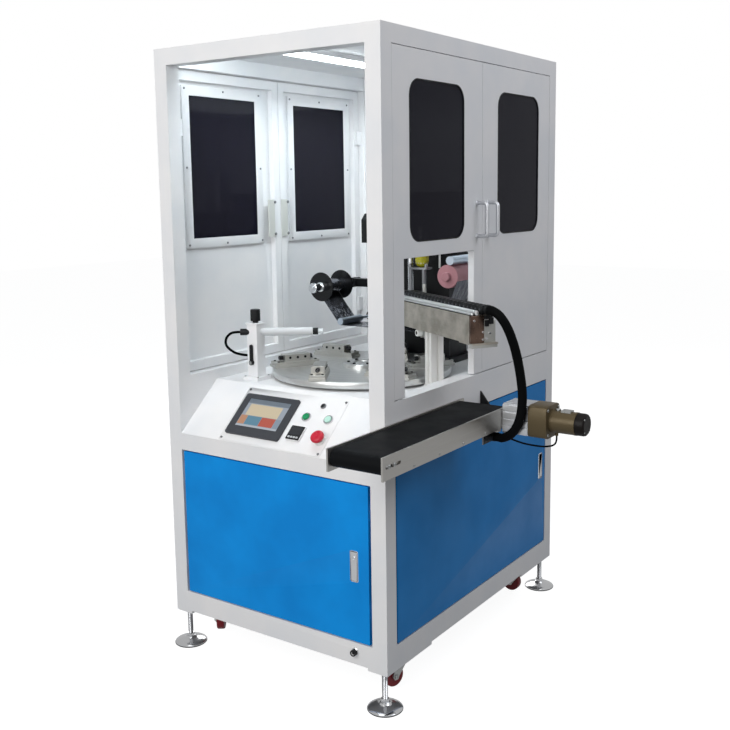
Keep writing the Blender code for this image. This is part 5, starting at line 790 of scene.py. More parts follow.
def smooth_path(route, count):
    """Points spread evenly along a spline through the route's own points, and its length."""
    places = [Vector(point) for point in route]
    places = [2 * places[0] - places[1]] + places + [2 * places[-1] - places[-2]]
    fine = []
    for before, start, end, after in zip(places, places[1:], places[2:], places[3:]):
        for step in range(count):
            share = step / count
            square = share * share
            cube = square * share
            slope = (end - before) * share
            bend = (2 * before - 5 * start + 4 * end - after) * square
            twist = (3 * start - before - 3 * end + after) * cube
            fine.append(0.5 * (2 * start + slope + bend + twist))
    fine.append(places[-2])
    lengths = [0.0]
    for here, there in zip(fine, fine[1:]):
        lengths.append(lengths[-1] + (there - here).length)
    path = []
    index = 0
    for number in range(count):
        wanted = lengths[-1] * number / (count - 1)
        while index < len(fine) - 2 and lengths[index + 1] < wanted:
            index += 1
        share = (wanted - lengths[index]) / (lengths[index + 1] - lengths[index])
        path.append(fine[index].lerp(fine[index + 1], share))
    return path, lengths[-1]


# %% Hose and leads
def cord(name, node, route, points, radius):
    path, length = smooth_path(route, points)
    piece = bar_along(name, path, radius, hose_rubber)
    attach(piece, "frame")
    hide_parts(node)
    print(name, "is", round(length, 3), "m long")


cord("hose", "air_hose", HOSE_ROUTE, 46, 0.0125)
cord("motor_lead", "motor_cable", MOTOR_LEAD_ROUTE, 34, 0.0025)
cord("sensor_lead", "sensor_cable", SENSOR_LEAD_ROUTE, 30, 0.0040)

# %% [markdown]
# ## The welded cabinet
#
# On the real machine the lower and the upper frame are one weldment: posts run from the feet
# to the roof with no joint to see. The solids come in two, split at table height by a hair. So
# the two copies are brought together and joined with a Boolean before their edges are rounded.
# The lamp tube under the roof belongs to the same solid and gets its own finish by place.

# %% Join the two halves of the frame
TABLE = 0.825
RIGHT = 0.3965
BACK = 0.521
BASE = 0.118
LAMP_X = -0.0335
LAMP_TUBE = ((LAMP_X - 0.0145, -0.48, 1.78), (LAMP_X + 0.0145, 0.48, 1.8005))
SPLIT_GAP = 0.001


def joined(first, second):
    """Two meshes under construction, joined into a new one."""
    helpers = []
    for shape in (first, second):
        mesh = bpy.data.meshes.new("half")
        shape.to_mesh(mesh)
        shape.free()
        helpers.append(bpy.data.objects.new("half", mesh))
        bpy.context.scene.collection.objects.link(helpers[-1])
    lower, upper = helpers
    boolean = lower.modifiers.new("join", "BOOLEAN")
    boolean.operation = "UNION"
    boolean.solver = "EXACT"
    boolean.object = upper
    bpy.context.view_layer.update()
    graph = bpy.context.evaluated_depsgraph_get()
    result = bmesh.new()
    result.from_mesh(lower.evaluated_get(graph).to_mesh())
    lower.evaluated_get(graph).to_mesh_clear()
    for helper in helpers:
        bpy.data.objects.remove(helper)
    flattened(result)
    return result


def tube_or_cabinet(centre):
    """1 for the lamp's round tube, which hangs below its body under the roof."""
    return 1 if within(centre, *LAMP_TUBE) else 0


lower = solid_of("base_frame")
for vertex in lower.verts:
    if abs(vertex.co.z - TABLE) < SPLIT_GAP:
        vertex.co.z = TABLE
cabinet = joined(lower, solid_of("upper_frame"))
halves = ["base_frame", "upper_frame"]
cabinet_finishes = [white_powder_coat, lamp_glow]
settle(
    cabinet, "welded_cabinet", cabinet_finishes, "frame", 0.0018, halves, which=tube_or_cabinet
)
softened("table_plate", white_powder_coat, 0.001)
print("cabinet joined from", " and ".join(halves))

# %% [markdown]
# The supply fitting in the front rail is a small plated ring with a black bush in it. The lamp
# has a pale cap at each end. The eye finds such small things on an otherwise plain tube frame.

# %% Supply fitting and lamp ends
fitting_place = axis_place((RIGHT - 0.106, -BACK, BASE + 0.036), (0, -1, 0))
profile = [(0.0125, 0), (0.0125, 0.0016), (0.0108, 0.003), (0.0093, 0.003)]
lathe("supply_fitting_ring", chrome_plate, profile, fitting_place)
profile = [(0.0091, 0.002), (0.0091, 0.0122), (0.0078, 0.0126), (0.005, 0.0126)]
profile += [(0.0046, 0.009), (0, 0.009)]
lathe("supply_fitting_bush", black_plastic, profile, fitting_place)

CAP_WIDTH = 0.042
CAP_LOW = 1.7855
CAP_HIGH = 1.8145
CAP_DEPTH = 0.011
caps = bmesh.new()
half_cap = CAP_WIDTH / 2
for end in (-0.4735, 0.4515):
    outline = round_corners(LAMP_X - half_cap, LAMP_X + half_cap, CAP_LOW, CAP_HIGH, 0.010)
    pushed(caps, outline, moved(0, end) @ Matrix.Rotation(math.pi / 2, 4, "X"), CAP_DEPTH)
settle(whole(caps), "lamp_end_caps", white_plastic, edge=0.001)

# %% [markdown]
# ## Doors and windows
#
# The upper doors are folded sheet, hollow at the back, with a smoked pane clamped between the
# sheet and a frame of flat bar. Small screws hold the bar, one at each corner and one at each
# middle. The window's corners are round, and the solid has few faces there. A thin rubber seal
# with finely stepped corners covers that edge, as the seal on the real door does. On the left
# side the doors are seen from inside, so the clamping frame with its screws is what shows there.

# %% Window seals and screws
SIDES = (("right", 1), ("left", -1))
DOOR_SPLIT = -BACK + 0.529
WINDOWS = {"front": (-BACK + 0.1295, -BACK + 0.4185), "rear": (-BACK + 0.626, -BACK + 0.909)}
WINDOW_LOW = BASE + 1.1515
WINDOW_HIGH = BASE + 1.5746
WINDOW_CORNER = 0.045
SEAL_OVER_SHEET = 0.0010
SEAL_OVER_PANE = 0.0022
SEAL_DEPTH = 0.0027
PANE_BAR_FACE = RIGHT - 0.002 - 0.005 - 0.003
PANE_BAR_MIDDLE = 0.018 + 0.016 - 0.010


def ring_between(shape, outer, inner, place, depth):
    """A flat ring with the same number of points outside and inside."""
    levels = []
    for height in (0, depth):
        for outline in (outer, inner):
            levels.append([shape.verts.new((x, y, height)) for x, y in outline])
    low_out, low_in, high_out, high_in = levels
    count = len(outer)
    for index in range(count):
        other = (index + 1) % count
        shape.faces.new((low_out[index], low_in[index], low_in[other], low_out[other]))
        shape.faces.new((high_out[index], high_out[other], high_in[other], high_in[index]))
        shape.faces.new((low_out[index], low_out[other], high_out[other], high_out[index]))
        shape.faces.new((low_in[index], high_in[index], high_in[other], low_in[other]))
    corners = [corner for level in levels for corner in level]
    bmesh.ops.transform(shape, matrix=place, verts=corners)


def window_outline(start, end, grow):
    """The window's own outline, grown all round by this much."""
    low, high, corner = WINDOW_LOW - grow, WINDOW_HIGH + grow, WINDOW_CORNER + grow
    return round_corners(start - grow, end + grow, low, high, corner, 14)


def window_seal(door, side, start, end):
    seal = bmesh.new()
    outer = window_outline(start, end, SEAL_OVER_SHEET)
    inner = window_outline(start, end, -SEAL_OVER_PANE)
    ring_between(seal, outer, inner, side_place(side, RIGHT - 0.0022), SEAL_DEPTH)
    settle(whole(seal), f"{door}_seal", black_plastic, f"{door}_door")


def pane_screws(door, side, start, end):
    """Screw heads on the bar that clamps the pane: one at each corner and each middle."""
    columns = (start - PANE_BAR_MIDDLE, (start + end) / 2, end + PANE_BAR_MIDDLE)
    low, high = WINDOW_LOW - PANE_BAR_MIDDLE, WINDOW_HIGH + PANE_BAR_MIDDLE
    heads = []
    for y, z in grid(columns, (low, (WINDOW_LOW + WINDOW_HIGH) / 2, high)):
        if y != columns[1] or z in (low, high):
            place = axis_place((side * (PANE_BAR_FACE - 0.0001), y, z), (-side, 0, 0))
            heads.append((place, 0.0034, 0.0022))
    screws(f"{door}_pane_screws", tool_steel, heads, 12, f"{door}_door")


for side_name, side in SIDES:
    for row, (start, end) in WINDOWS.items():
        door = f"{side_name}_{row}"
        softened(f"{door}_door", white_powder_coat, 0.0014, whole_faces=False)
        softened(f"{door}_window", smoked_acrylic, 0.0005)
        window_seal(door, side, start, end)
        pane_screws(door, side, start, end)
print("doors:", len(SIDES) * len(WINDOWS))

# %% [markdown]
# ### Door handles
#
# Each upper door has a bar handle of anodised aluminium, bent from round bar and screwed on
# from behind. Its feet have small collars. On the inside of the door a flat backing strip
# spreads the load of the two screws, and on the left doors those strips show from the front.

# %% Handles with collars, and the backing strips inside
HANDLE_RADIUS = 0.0055
HANDLE_LOW = BASE + 1.1455 + HANDLE_RADIUS
HANDLE_HIGH = HANDLE_LOW + 0.1075 - 2 * HANDLE_RADIUS
HANDLE_REACH = 0.034
HANDLE_BEND = 0.012
HANDLE_FROM_SPLIT = 0.0335
BEND_STEPS = 8
STRIP_FACE = RIGHT - 0.0203
STRIP_THICK = 0.0040
STRIP_HALF_WIDTH = 0.0155
STRIP_PAST_HANDLE = 0.014
STRIP_OFFSETS = {"front": 0.0165, "rear": 0.0158}


def bent_path(corners, bend):
    """A path through the corners, each rounded off."""
    path = [Vector(corners[0])]
    for before, corner, after in zip(corners, corners[1:], corners[2:]):
        before, corner, after = Vector(before), Vector(corner), Vector(after)
        start = corner - (corner - before).normalized() * bend
        end = corner + (after - corner).normalized() * bend
        for step in range(BEND_STEPS + 1):
            share = step / BEND_STEPS
            path.append(start.lerp(corner, share).lerp(corner.lerp(end, share), share))
    return path + [Vector(corners[-1])]


def handle(side_name, side, row, y):
    name = f"{side_name}_{row}"
    door = f"{name}_door"
    corners = [(0, HANDLE_LOW), (HANDLE_REACH, HANDLE_LOW)]
    corners += [(HANDLE_REACH, HANDLE_HIGH), (0, HANDLE_HIGH)]
    flat = bent_path(corners, HANDLE_BEND)
    path = [(side * (RIGHT + 0.0002 + out), y, z) for out, z in flat]
    bar = bar_along(f"{name}_bar", path, HANDLE_RADIUS, anodised_aluminium)
    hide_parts(f"{name}_handle")
    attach(bar, door)
    collars = bmesh.new()
    for z in (HANDLE_LOW, HANDLE_HIGH):
        place = axis_place((side * (RIGHT + 0.0001), y, z), (side, 0, 0))
        turned(collars, [(0.0088, 0), (0.0088, 0.0016), (0.0076, 0.003), (0.0058, 0.003)], place)
    settle(whole(collars), f"{name}_collars", anodised_aluminium, door, 0.0006)
    low_x, high_x = sorted((side * STRIP_FACE, side * (STRIP_FACE - STRIP_THICK)))
    middle = y - STRIP_OFFSETS[row]
    strip_low = (low_x, middle - STRIP_HALF_WIDTH, HANDLE_LOW - STRIP_PAST_HANDLE)
    strip_high = (high_x, middle + STRIP_HALF_WIDTH, HANDLE_HIGH + STRIP_PAST_HANDLE)
    strip = bmesh.new()
    box(strip, strip_low, strip_high)
    settle(strip, f"{name}_backing_strip", pale_strip, door, 0.0008)
    heads = []
    for z in (HANDLE_LOW - 0.005, HANDLE_HIGH + 0.005):
        place = axis_place((side * (STRIP_FACE - 0.0039), y, z), (-side, 0, 0))
        heads.append((place, 0.0050, 0.0028))
    screws(f"{name}_strip_screws", tool_steel, heads, body=door)


for side_name, side in SIDES:
    handle(side_name, side, "front", DOOR_SPLIT - HANDLE_FROM_SPLIT)
    handle(side_name, side, "rear", DOOR_SPLIT + HANDLE_FROM_SPLIT)
print("handles:", 2 * len(SIDES))

# %% [markdown]
# ### Lower door and panels
#
# The blue panels sit in the frame with an even gap. Each has a flush latch: a chrome bezel and
# a paddle. The bezel is part of the panel's solid, so its faces get chrome by their place.


# %% Blue panels with chrome latches
BEZEL_DEPTH = 0.0058


def bezel_faces(flat_range, z_range, faces_side):
    """Tells the bezel's faces from the panel's by where they are."""

    def which(centre):
        flat = centre.y if faces_side else centre.x
        out = abs(centre.x) - RIGHT if faces_side else -centre.y - BACK
        across = flat_range[0] < flat < flat_range[1]
        return 1 if across and z_range[0] < centre.z < z_range[1] and out > -BEZEL_DEPTH else 0

    return which


front_bezel = bezel_faces((0.277, 0.307), (0.354, 0.446), False)
side_bezel = bezel_faces((0.415, 0.446), (0.416, 0.508), True)
softened("front_door", [blue_powder_coat, chrome_plate], 0.0014, front_bezel)
softened("front_latch", chrome_plate, 0.0008)
# The side panels and the back panel take the darker blue, which is painted shade.
for panel in ("right_lower_panel", "left_lower_door"):
    softened(panel, [painted_shade_blue_coat, chrome_plate], 0.0014, side_bezel)
softened("back_panel", painted_shade_blue_coat, 0.0014)

# %% [markdown]
# The right panel and the left door have no separate paddle among the solids, so each gets one
# here: a chrome plate with its key plug, as on the front latch.

# %% Latch paddles and their key plugs
LATCH_Y = 0.4675 - 0.037
LATCH_Z = BASE + 0.344
PADDLE_HALF_WIDTH = 0.0097
PADDLE_HALF_HEIGHT = 0.0404


def key_plug(top, floor):
    """The profile of a round plug with a hole for the key."""
    return [(0.006, 0), (0.006, 0.0008), (0.0052, top), (0.003, top), (0.003, floor), (0, floor)]


for name, body, side in (
    ("right_panel_paddle", "frame", 1),
    ("left_door_paddle", "left_lower_door", -1),
):
    paddle = bmesh.new()
    low_y, high_y = LATCH_Y - PADDLE_HALF_WIDTH, LATCH_Y + PADDLE_HALF_WIDTH
    low_z, high_z = LATCH_Z - PADDLE_HALF_HEIGHT, LATCH_Z + PADDLE_HALF_HEIGHT
    outline = round_corners(low_y, high_y, low_z, high_z, 0.0015, 3)
    pushed(paddle, outline, side_place(side, RIGHT - 0.0042), 0.0045)
    plug_place = axis_place((side * (RIGHT + 0.0002), LATCH_Y, LATCH_Z + 0.022), (side, 0, 0))
    turned(paddle, key_plug(0.0014, 0.0006), plug_place, 24)
    settle(whole(paddle), name, chrome_plate, body, 0.0006)
plug_place = axis_place((0.29195, -BACK - 0.0018, 0.4225), (0, -1, 0))
profile = key_plug(0.0012, 0.0005)
lathe("front_latch_plug", chrome_plate, profile, plug_place, 24, body="front_latch")
print("panels done")

# %% [markdown]
# ## Feet and casters
#
# A levelling foot is a spun cup on a rubber pad, with a threaded stud and a nut at each end. It
# is turned here with fine sides, and the thread is a stack of small rings, drawn 1.8 mm apart.
# A caster is a pressed zinc-plated fork with a swivel head, a red wheel on a grey hub and an
# orange-red brake tab. The fork's solid is right already and only needs softening.

# %% Levelling feet
CORNERS = grid((("left", -1), ("right", 1)), (("front", -1), ("rear", 1)))
FOOT_X = 0.3695
FOOT_Y = 0.494
CUP = (
    (0.0492, 0.0036),
    (0.0488, 0.0052),
    (0.0460, 0.0072),
    (0.0400, 0.0100),
    (0.0300, 0.0128),
    (0.0210, 0.0152),
    (0.0170, 0.0172),
    (0.0150, 0.0200),
    (0.0128, 0.0215),
    (0.0085, 0.0222),
)
THREAD_RADIUS = 0.0080
THREAD_DEPTH = 0.0010
THREAD_STEP = 0.0018
THREAD_START = 0.028
THREAD_END = 0.1000
NUT_RADIUS = 0.0130
NUT_BORE = 0.0082
FOOT_NUTS = ((0.0215, 0.0085), (0.0995, 0.0099))


def levelling_foot(name, x, y):
    profile = [(0, 0), (0.0485, 0), (0.0498, 0.0012), (0.0498, 0.0034), (0.047, 0.0042)]
    lathe(f"{name}_pad", foot_rubber, profile, moved(x, y), 64)
    metal = bmesh.new()
    turned(metal, CUP, moved(x, y), 64)
    for z, height in FOOT_NUTS:
        nut(metal, moved(x, y, z), NUT_RADIUS, height, NUT_BORE)
    thread = [(0, THREAD_START - 0.001)]
    height = THREAD_START
    while height < THREAD_END:
        thread.append((THREAD_RADIUS, height))
        thread.append((THREAD_RADIUS - THREAD_DEPTH, height + THREAD_STEP / 2))
        height += THREAD_STEP
    turned(metal, thread + [(0, THREAD_END + 0.0001)], moved(x, y), 24)
    settle(whole(metal), f"{name}_levelling_foot", chrome_plate, stands_for=[f"{name}_foot"])


for (side_name, side), (row, end) in CORNERS:
    levelling_foot(f"{row}_{side_name}", side * FOOT_X, end * FOOT_Y)

# %% Caster forks and wheels
CASTER_X = 0.3395
CASTER_Y = 0.381
CASTER_TURNS = {"front_right": -16, "front_left": 35, "rear_right": -90, "rear_left": -16}
AXLE = (0, -0.022, 0.048)
FORK_OUTSIDE = 0.0179
BRAKE_START = 0.0195
BRAKE_LOW = 0.085
TREAD_HALF = (
    (0.0205, 0.0110),
    (0.0270, 0.0122),
    (0.0298, 0.0116),
    (0.0311, 0.0095),
    (0.0315, 0.0060),
)
HUB_HALF = (
    (0, 0),
    (0.0044, 0.0126),
    (0.0075, 0.0126),
    (0.0095, 0.0100),
    (0.0150, 0.0085),
    (0.0180, 0.0100),
    (0.0205, 0.0098),
    (0.0208, 0.0),
)


def other_way(profile):
    return [(radius, -height) for radius, height in profile]


def caster(name, x, y):
    swivel = moved(x, y) @ Matrix.Rotation(math.radians(CASTER_TURNS[name]), 4, "Z")

    def brake_or_fork(centre):
        own = swivel.inverted() @ centre
        return 1 if own.y > BRAKE_START and centre.z > BRAKE_LOW else 0

    softened(f"{name}_caster_fork", [zinc_plate, brake_plastic], 0.0007, brake_or_fork)
    axle = swivel @ Matrix.Translation(AXLE)
    across = axle @ Matrix.Rotation(math.pi / 2, 4, "Y")
    wheel = f"{name}_wheel"
    profile = other_way(TREAD_HALF) + list(TREAD_HALF[::-1])
    lathe(f"{name}_tread", wheel_polyurethane, profile, across, 64, body=wheel, stands_for=[wheel])
    hub = bmesh.new()
    turned(hub, HUB_HALF, across)
    turned(hub, other_way(HUB_HALF), across)
    settle(whole(hub), f"{name}_hub", grey_plastic, wheel)
    nuts = bmesh.new()
    for side in (-1, 1):
        place = axle @ axis_place((side * FORK_OUTSIDE, 0, 0), (side, 0, 0))
        nut(nuts, place, 0.0068, 0.0042, 0.003)
    settle(whole(nuts), f"{name}_axle_nuts", zinc_plate, f"{name}_caster")


for (side_name, side), (row, end) in CORNERS:
    caster(f"{row}_{side_name}", side * CASTER_X, end * CASTER_Y)
print("feet and casters:", len(CORNERS), "of each")

# %% [markdown]
# ## Console
#
# The console is a folded white sheet with an instrument plate held by four small screws. The
# touch panel has a dark grey bezel and a lit screen. Its picture is kept plain: blocks of flat
# colour on a pale field. The small controller has a black face with two display windows and a
# row of keys. All of it lies in the console's own slope, so one matrix places everything.

# %% The sloped plane of the console
CONSOLE_SEAT = 0.6843
CONSOLE_SLOPE = math.atan2(TABLE - CONSOLE_SEAT, 0.162)
CONSOLE = moved(0, -BACK, CONSOLE_SEAT) @ Matrix.Rotation(CONSOLE_SLOPE, 4, "X")
PLATE = 0.0015
GAP = 0.0003
softened("console_panel", white_powder_coat, 0.0007)
softened("touch_panel", panel_plastic, 0.0012)


def on_console(x, along, off=PLATE):
    """A place on the slope: across, up the slope, and off the sheet."""
    return CONSOLE @ moved(x, along, off)


CHEEK_THICK = 0.0008
CHEEK_FRONT = -BACK + 0.0483
CHEEK_REAR = -BACK + 0.165
cheeks = bmesh.new()
for x in (-0.3495, 0.3487):
    cheek_low = (x, CHEEK_FRONT, CONSOLE_SEAT - 0.03)
    box(cheeks, cheek_low, (x + CHEEK_THICK, CHEEK_REAR, TABLE - 0.0672))
settle(whole(cheeks), "console_cheeks", white_powder_coat)
places = grid((-0.1885, 0.1705), (0.0105, 0.1905))
heads = [(on_console(x, along, PLATE - 0.0001), 0.0038, 0.0022) for x, along in places]
screws("console_screws", tool_steel, heads)
print("console slopes", round(math.degrees(CONSOLE_SLOPE), 1), "degrees")

# %% [markdown]
# ### Touch panel picture
#
# The screen is a sheet of glass over a lit picture. Each colour block is a thin tile a fifth of
# a millimetre over the field, with a weak glow, so it reads as lit but still takes the
# reflections of the room.

# %% Screen and its colour blocks
SCREEN = (-0.0833, 0.0995)
SCREEN_OFF = PLATE + GAP + 0.0065 - 0.001
TILE = 0.0002
SCREEN_GLOW = 0.85
SCREEN_ROUGHNESS = 0.14
DARK_GLASS = "#0C0D0F"
SCREEN_TILES = (
    ("field", "#9FA8B4", (-0.0775, 0.0775, -0.0435, 0.0555), 0.0),
    ("top_bar", "#6F7B87", (-0.0775, 0.0775, 0.0400, 0.0555), TILE),
    ("work_area", "#D6C7A9", (-0.0640, 0.0580, -0.0035, 0.0370), TILE),
    ("orange_key", "#C08E6E", (-0.0760, -0.0510, -0.0360, -0.0045), TILE),
    ("teal_key", "#5F8CA2", (-0.0500, 0.0030, -0.0360, -0.0045), TILE),
    ("red_key", "#BC5A47", (0.0040, 0.0560, -0.0360, -0.0045), TILE),
    ("grey_key", "#8B9AA9", (0.0570, 0.0765, -0.0360, -0.0045), TILE),
    ("foot_bar", "#B4BCC4", (-0.0775, 0.0775, -0.0435, -0.0375), TILE),
)
for name, colour, sides, lift in SCREEN_TILES:
    tile = bmesh.new()
    pushed(tile, round_corners(*sides, 0.0008, 2), on_console(*SCREEN, SCREEN_OFF + lift), TILE)
    glow = glowing(f"screen_{name}", colour, SCREEN_GLOW, SCREEN_ROUGHNESS)
    shader_of(glow).inputs["Base Color"].default_value = linear(DARK_GLASS)
    settle(whole(tile), f"screen_{name}", glow, group="black_plastic")
print("screen tiles:", len(SCREEN_TILES))

# %% [markdown]
# ### Controller, buzzer and buttons
#
# The controller's face is glossy black plastic with two readouts and a strip of four keys
# below. The push buttons sit in bright rings. A green cap starts the machine, a pale one resets
# it, and the red mushroom stops it. The buzzer has a small round cap with three slots.

# %% Temperature controller
CONTROLLER = (0.0634, 0.062)
HALF_FACE = 0.0235
HALF_READOUT = 0.019
KEY_STEP = 0.0097
face = bmesh.new()
outline = round_corners(-HALF_FACE, HALF_FACE, -HALF_FACE, HALF_FACE, 0.002, 4)
pushed(face, outline, on_console(*CONTROLLER, PLATE + 0.006), 0.0012)
settle(whole(face), "controller_face", black_plastic, edge=0.0004)
readouts = bmesh.new()
above = on_console(*CONTROLLER, PLATE + 0.0071)
for low_y, high_y in ((0.006, 0.018), (-0.007, 0.004)):
    outline = round_corners(-HALF_READOUT, HALF_READOUT, low_y, high_y, 0.001, 2)
    pushed(readouts, outline, above, 0.0003)
display_glass = glowing("dark_display", "#2B2E33", 0.1, 0.12)
settle(whole(readouts), "controller_readouts", display_glass, group="black_plastic")
keys = bmesh.new()
for key in range(4):
    x = -0.0145 + key * KEY_STEP
    pushed(keys, round_corners(x - 0.0038, x + 0.0038, -0.0185, -0.0125, 0.001, 2), above, 0.0009)
settle(whole(keys), "controller_keys", grey_plastic, edge=0.0002)

# %% Collars, buttons, emergency stop and buzzer
START = (0.0663, 0.1218)
RESET = (0.1441, 0.1234)
STOP = (0.1536, 0.0533)
BUZZER = (0.1021, 0.1673)
STEM = 0.0094
STEM_DOWN = -0.018
profile = [(0.0149, 0), (0.0149, 0.0034), (0.0143, 0.0046), (0.0122, 0.0048)]
profile += [(0.0112, 0.0040), (0.0110, 0.0)]
for name, spot in (("start", START), ("reset", RESET)):
    lathe(f"{name}_collar", chrome_plate, profile, on_console(*spot))


def button_cap(node, spot, finish):
    foot = PLATE + GAP + 0.003
    top = PLATE + 0.004 + 0.004
    profile = [(0, STEM_DOWN), (STEM, STEM_DOWN), (STEM, foot), (0.0103, foot)]
    profile += [(0.0103, top - 0.0012), (0.0098, top - 0.0003), (0.0088, top)]
    profile += [(0.0080, top - 0.0003), (0, top - 0.0008)]
    place = on_console(*spot, 0)
    lathe(f"{node}_cap", finish, profile, place, body=node, stands_for=[node])


button_cap("start_button", START, green_plastic)
button_cap("reset_button", RESET, pale_green_plastic)
profile = [(0.0168, 0), (0.0168, 0.0080), (0.0162, 0.0098), (0.0140, 0.0102)]
profile += [(0.0130, 0.0098), (0.0130, 0.0)]
lathe("stop_collar", white_plastic, profile, on_console(*STOP), group="chrome")
neck = PLATE + GAP + 0.005
seat = neck + 0.010
profile = [(0, STEM_DOWN), (STEM, STEM_DOWN), (STEM, neck), (0.0124, neck), (0.0124, seat)]
profile += [(0.0190, seat), (0.0199, seat + 0.0016), (0.0200, seat + 0.0050)]
profile += [(0.0195, seat + 0.0074), (0.0180, seat + 0.0093), (0.0150, seat + 0.0110)]
profile += [(0.0100, seat + 0.0117), (0.0094, seat + 0.0109), (0.0070, seat + 0.0109)]
profile += [(0.0064, seat + 0.0119), (0, seat + 0.0119)]
how = {"body": "emergency_stop", "stands_for": ["emergency_stop"]}
lathe("stop_mushroom", red_plastic, profile, on_console(*STOP, 0), 64, **how)
profile = [(0.0086, 0), (0.0086, 0.0030), (0.0078, 0.0038), (0.0055, 0.0038)]
profile += [(0.0050, 0.0030), (0.0028, 0.0030), (0.0024, 0.0036), (0, 0.0036)]
lathe("buzzer_cap", tool_steel, profile, on_console(*BUZZER))
slots = bmesh.new()
buzzer_x, buzzer_along = BUZZER
for offset in (-0.0038, 0.0, 0.0038):
    x = buzzer_x + offset
    slot_low = (x - 0.0011, buzzer_along - 0.005, PLATE + 0.0030)
    slot_high = (x + 0.0011, buzzer_along + 0.005, PLATE + 0.0042)
    box(slots, slot_low, slot_high, CONSOLE)
settle(whole(slots), "buzzer_slots", black_plastic)
print("console done")

# %% [markdown]
# ## Round table and its holders
#
# The indexing table is an aluminium plate faced on a lathe, with a polished rim and a capped
# hub. Six holders stand on it at a skew, each a milled base with a clamping block, a rod with
# two black knurled knobs through it, and socket screws. The disc is turned again here with
# 160 sides, because its rim runs right across the picture.

# %% Disc and cap
DISC_UNDER = TABLE + 0.007
DISC_TOP = DISC_UNDER + 0.020
DISC_RADIUS = 0.285
SPIGOT_RADIUS = 0.055
SPIGOT_FOOT = TABLE - 0.015
HUB_SCREW_CIRCLE = 0.043
profile = [(0, SPIGOT_FOOT), (SPIGOT_RADIUS, SPIGOT_FOOT), (SPIGOT_RADIUS, DISC_UNDER)]
profile += [(DISC_RADIUS - 0.0025, DISC_UNDER), (DISC_RADIUS - 0.0005, DISC_UNDER + 0.002)]
profile += [(DISC_RADIUS, DISC_UNDER + 0.004), (DISC_RADIUS, DISC_TOP - 0.004)]
profile += [(DISC_RADIUS - 0.0008, DISC_TOP - 0.0015), (DISC_RADIUS - 0.0025, DISC_TOP)]
for groove, width, depth in ((0.2760, 0.0020, 0.0008), (0.1300, 0.0016, 0.0006)):
    slope = width / 4
    profile.append((groove, DISC_TOP))
    profile.append((groove - slope, DISC_TOP - depth))
    profile.append((groove - width + slope, DISC_TOP - depth))
    profile.append((groove - width, DISC_TOP))
profile.append((0, DISC_TOP))
on_table = Matrix.Translation(TABLE_CENTRE)
how = {"body": "turntable", "stands_for": ["turntable"]}
lathe("table_disc", turned_aluminium, profile, on_table, 160, **how)
profile = [(0.0600, -0.0002), (0.0600, 0.0100), (0.0585, 0.0119), (0.0260, 0.0120)]
profile += [(0.0250, 0.0100), (0, 0.0100)]
on_disc = Matrix.Translation(TABLE_CENTRE + Vector((0, 0, DISC_TOP)))
lathe("hub_cap", turned_aluminium, profile, on_disc, 96, body="turntable")


def round_the_table(radius, angle, height=0.0):
    return TABLE_CENTRE + Vector((radius * math.cos(angle), radius * math.sin(angle), height))


angles = [math.tau * (number + 0.5) / 6 for number in range(6)]
spots = [round_the_table(HUB_SCREW_CIRCLE, angle, DISC_TOP + 0.0118) for angle in angles]
heads = [(Matrix.Translation(spot), 0.0052, 0.0034) for spot in spots]
screws("hub_screws", black_plastic, heads, body="turntable")

# %% [markdown]
# Every holder is the same, so one loop makes them in the holder's own coordinates and a matrix
# sets each on its station: out along the radius, then turned by the skew.

# %% Six part holders
STATION_RADIUS = 0.216
STATION_START = math.radians(-151.5)
STATION_SKEW = math.radians(33.5)
BLOCK_LENGTH = 0.088
BLOCK_OUTLINE = [(-0.021, 0.0168), (0.021, 0.0168), (0.021, 0.033), (0.015, 0.039), (-0.021, 0.039)]
ROD_RADIUS = 0.0039
ROD_LENGTH = 0.112
KNOB_LENGTH = 0.014
bases = bmesh.new()
blocks = bmesh.new()
rods = bmesh.new()
knobs = bmesh.new()
heads = []
for station in range(6):
    angle = STATION_START + math.tau * station / 6
    turn = Matrix.Rotation(angle + math.pi + STATION_SKEW, 4, "Z")
    spot = round_the_table(STATION_RADIUS, angle, DISC_TOP)
    place = Matrix.Translation(spot) @ turn
    box(bases, (-0.078, -0.026, -0.0004), (0.078, 0.026, 0.0080), place)
    box(bases, (-0.074, -0.024, 0.0076), (0.074, 0.024, 0.0170), place)
    pushed(blocks, BLOCK_OUTLINE, place @ side_place(1, -BLOCK_LENGTH / 2), BLOCK_LENGTH)
    rod = place @ axis_place((-ROD_LENGTH / 2, 0, 0.028), (1, 0, 0))
    turned(rods, [(0, 0), (ROD_RADIUS, 0), (ROD_RADIUS, ROD_LENGTH), (0, ROD_LENGTH)], rod, 24)
    for start in (0.0, ROD_LENGTH - KNOB_LENGTH):
        end = start + KNOB_LENGTH
        profile = [(0, start), (0.0064, start), (0.0070, start + 0.001)]
        profile += [(0.0070, end - 0.001), (0.0064, end), (0, end)]
        turned(knobs, profile, rod, 32, 0.0005)
    for x in (-0.026, 0.0, 0.026):
        heads.append((place @ axis_place((x, -0.0209, 0.029), (0, -1, 0)), 0.0042, 0.0016))
    for x, y in grid((-0.064, 0.064), (-0.016, 0.016)):
        heads.append((place @ moved(x, y, 0.0168), 0.0040, 0.0026))
settle(whole(bases), "holder_bases", milled_aluminium, "turntable", 0.0008)
settle(whole(blocks), "holder_blocks", milled_aluminium, "turntable", 0.0008)
settle(whole(rods), "holder_rods", chrome_plate, "turntable")
settle(whole(knobs), "holder_knobs", black_plastic, "turntable")
screws("holder_screws", black_plastic, heads, body="turntable")
print("holders done")

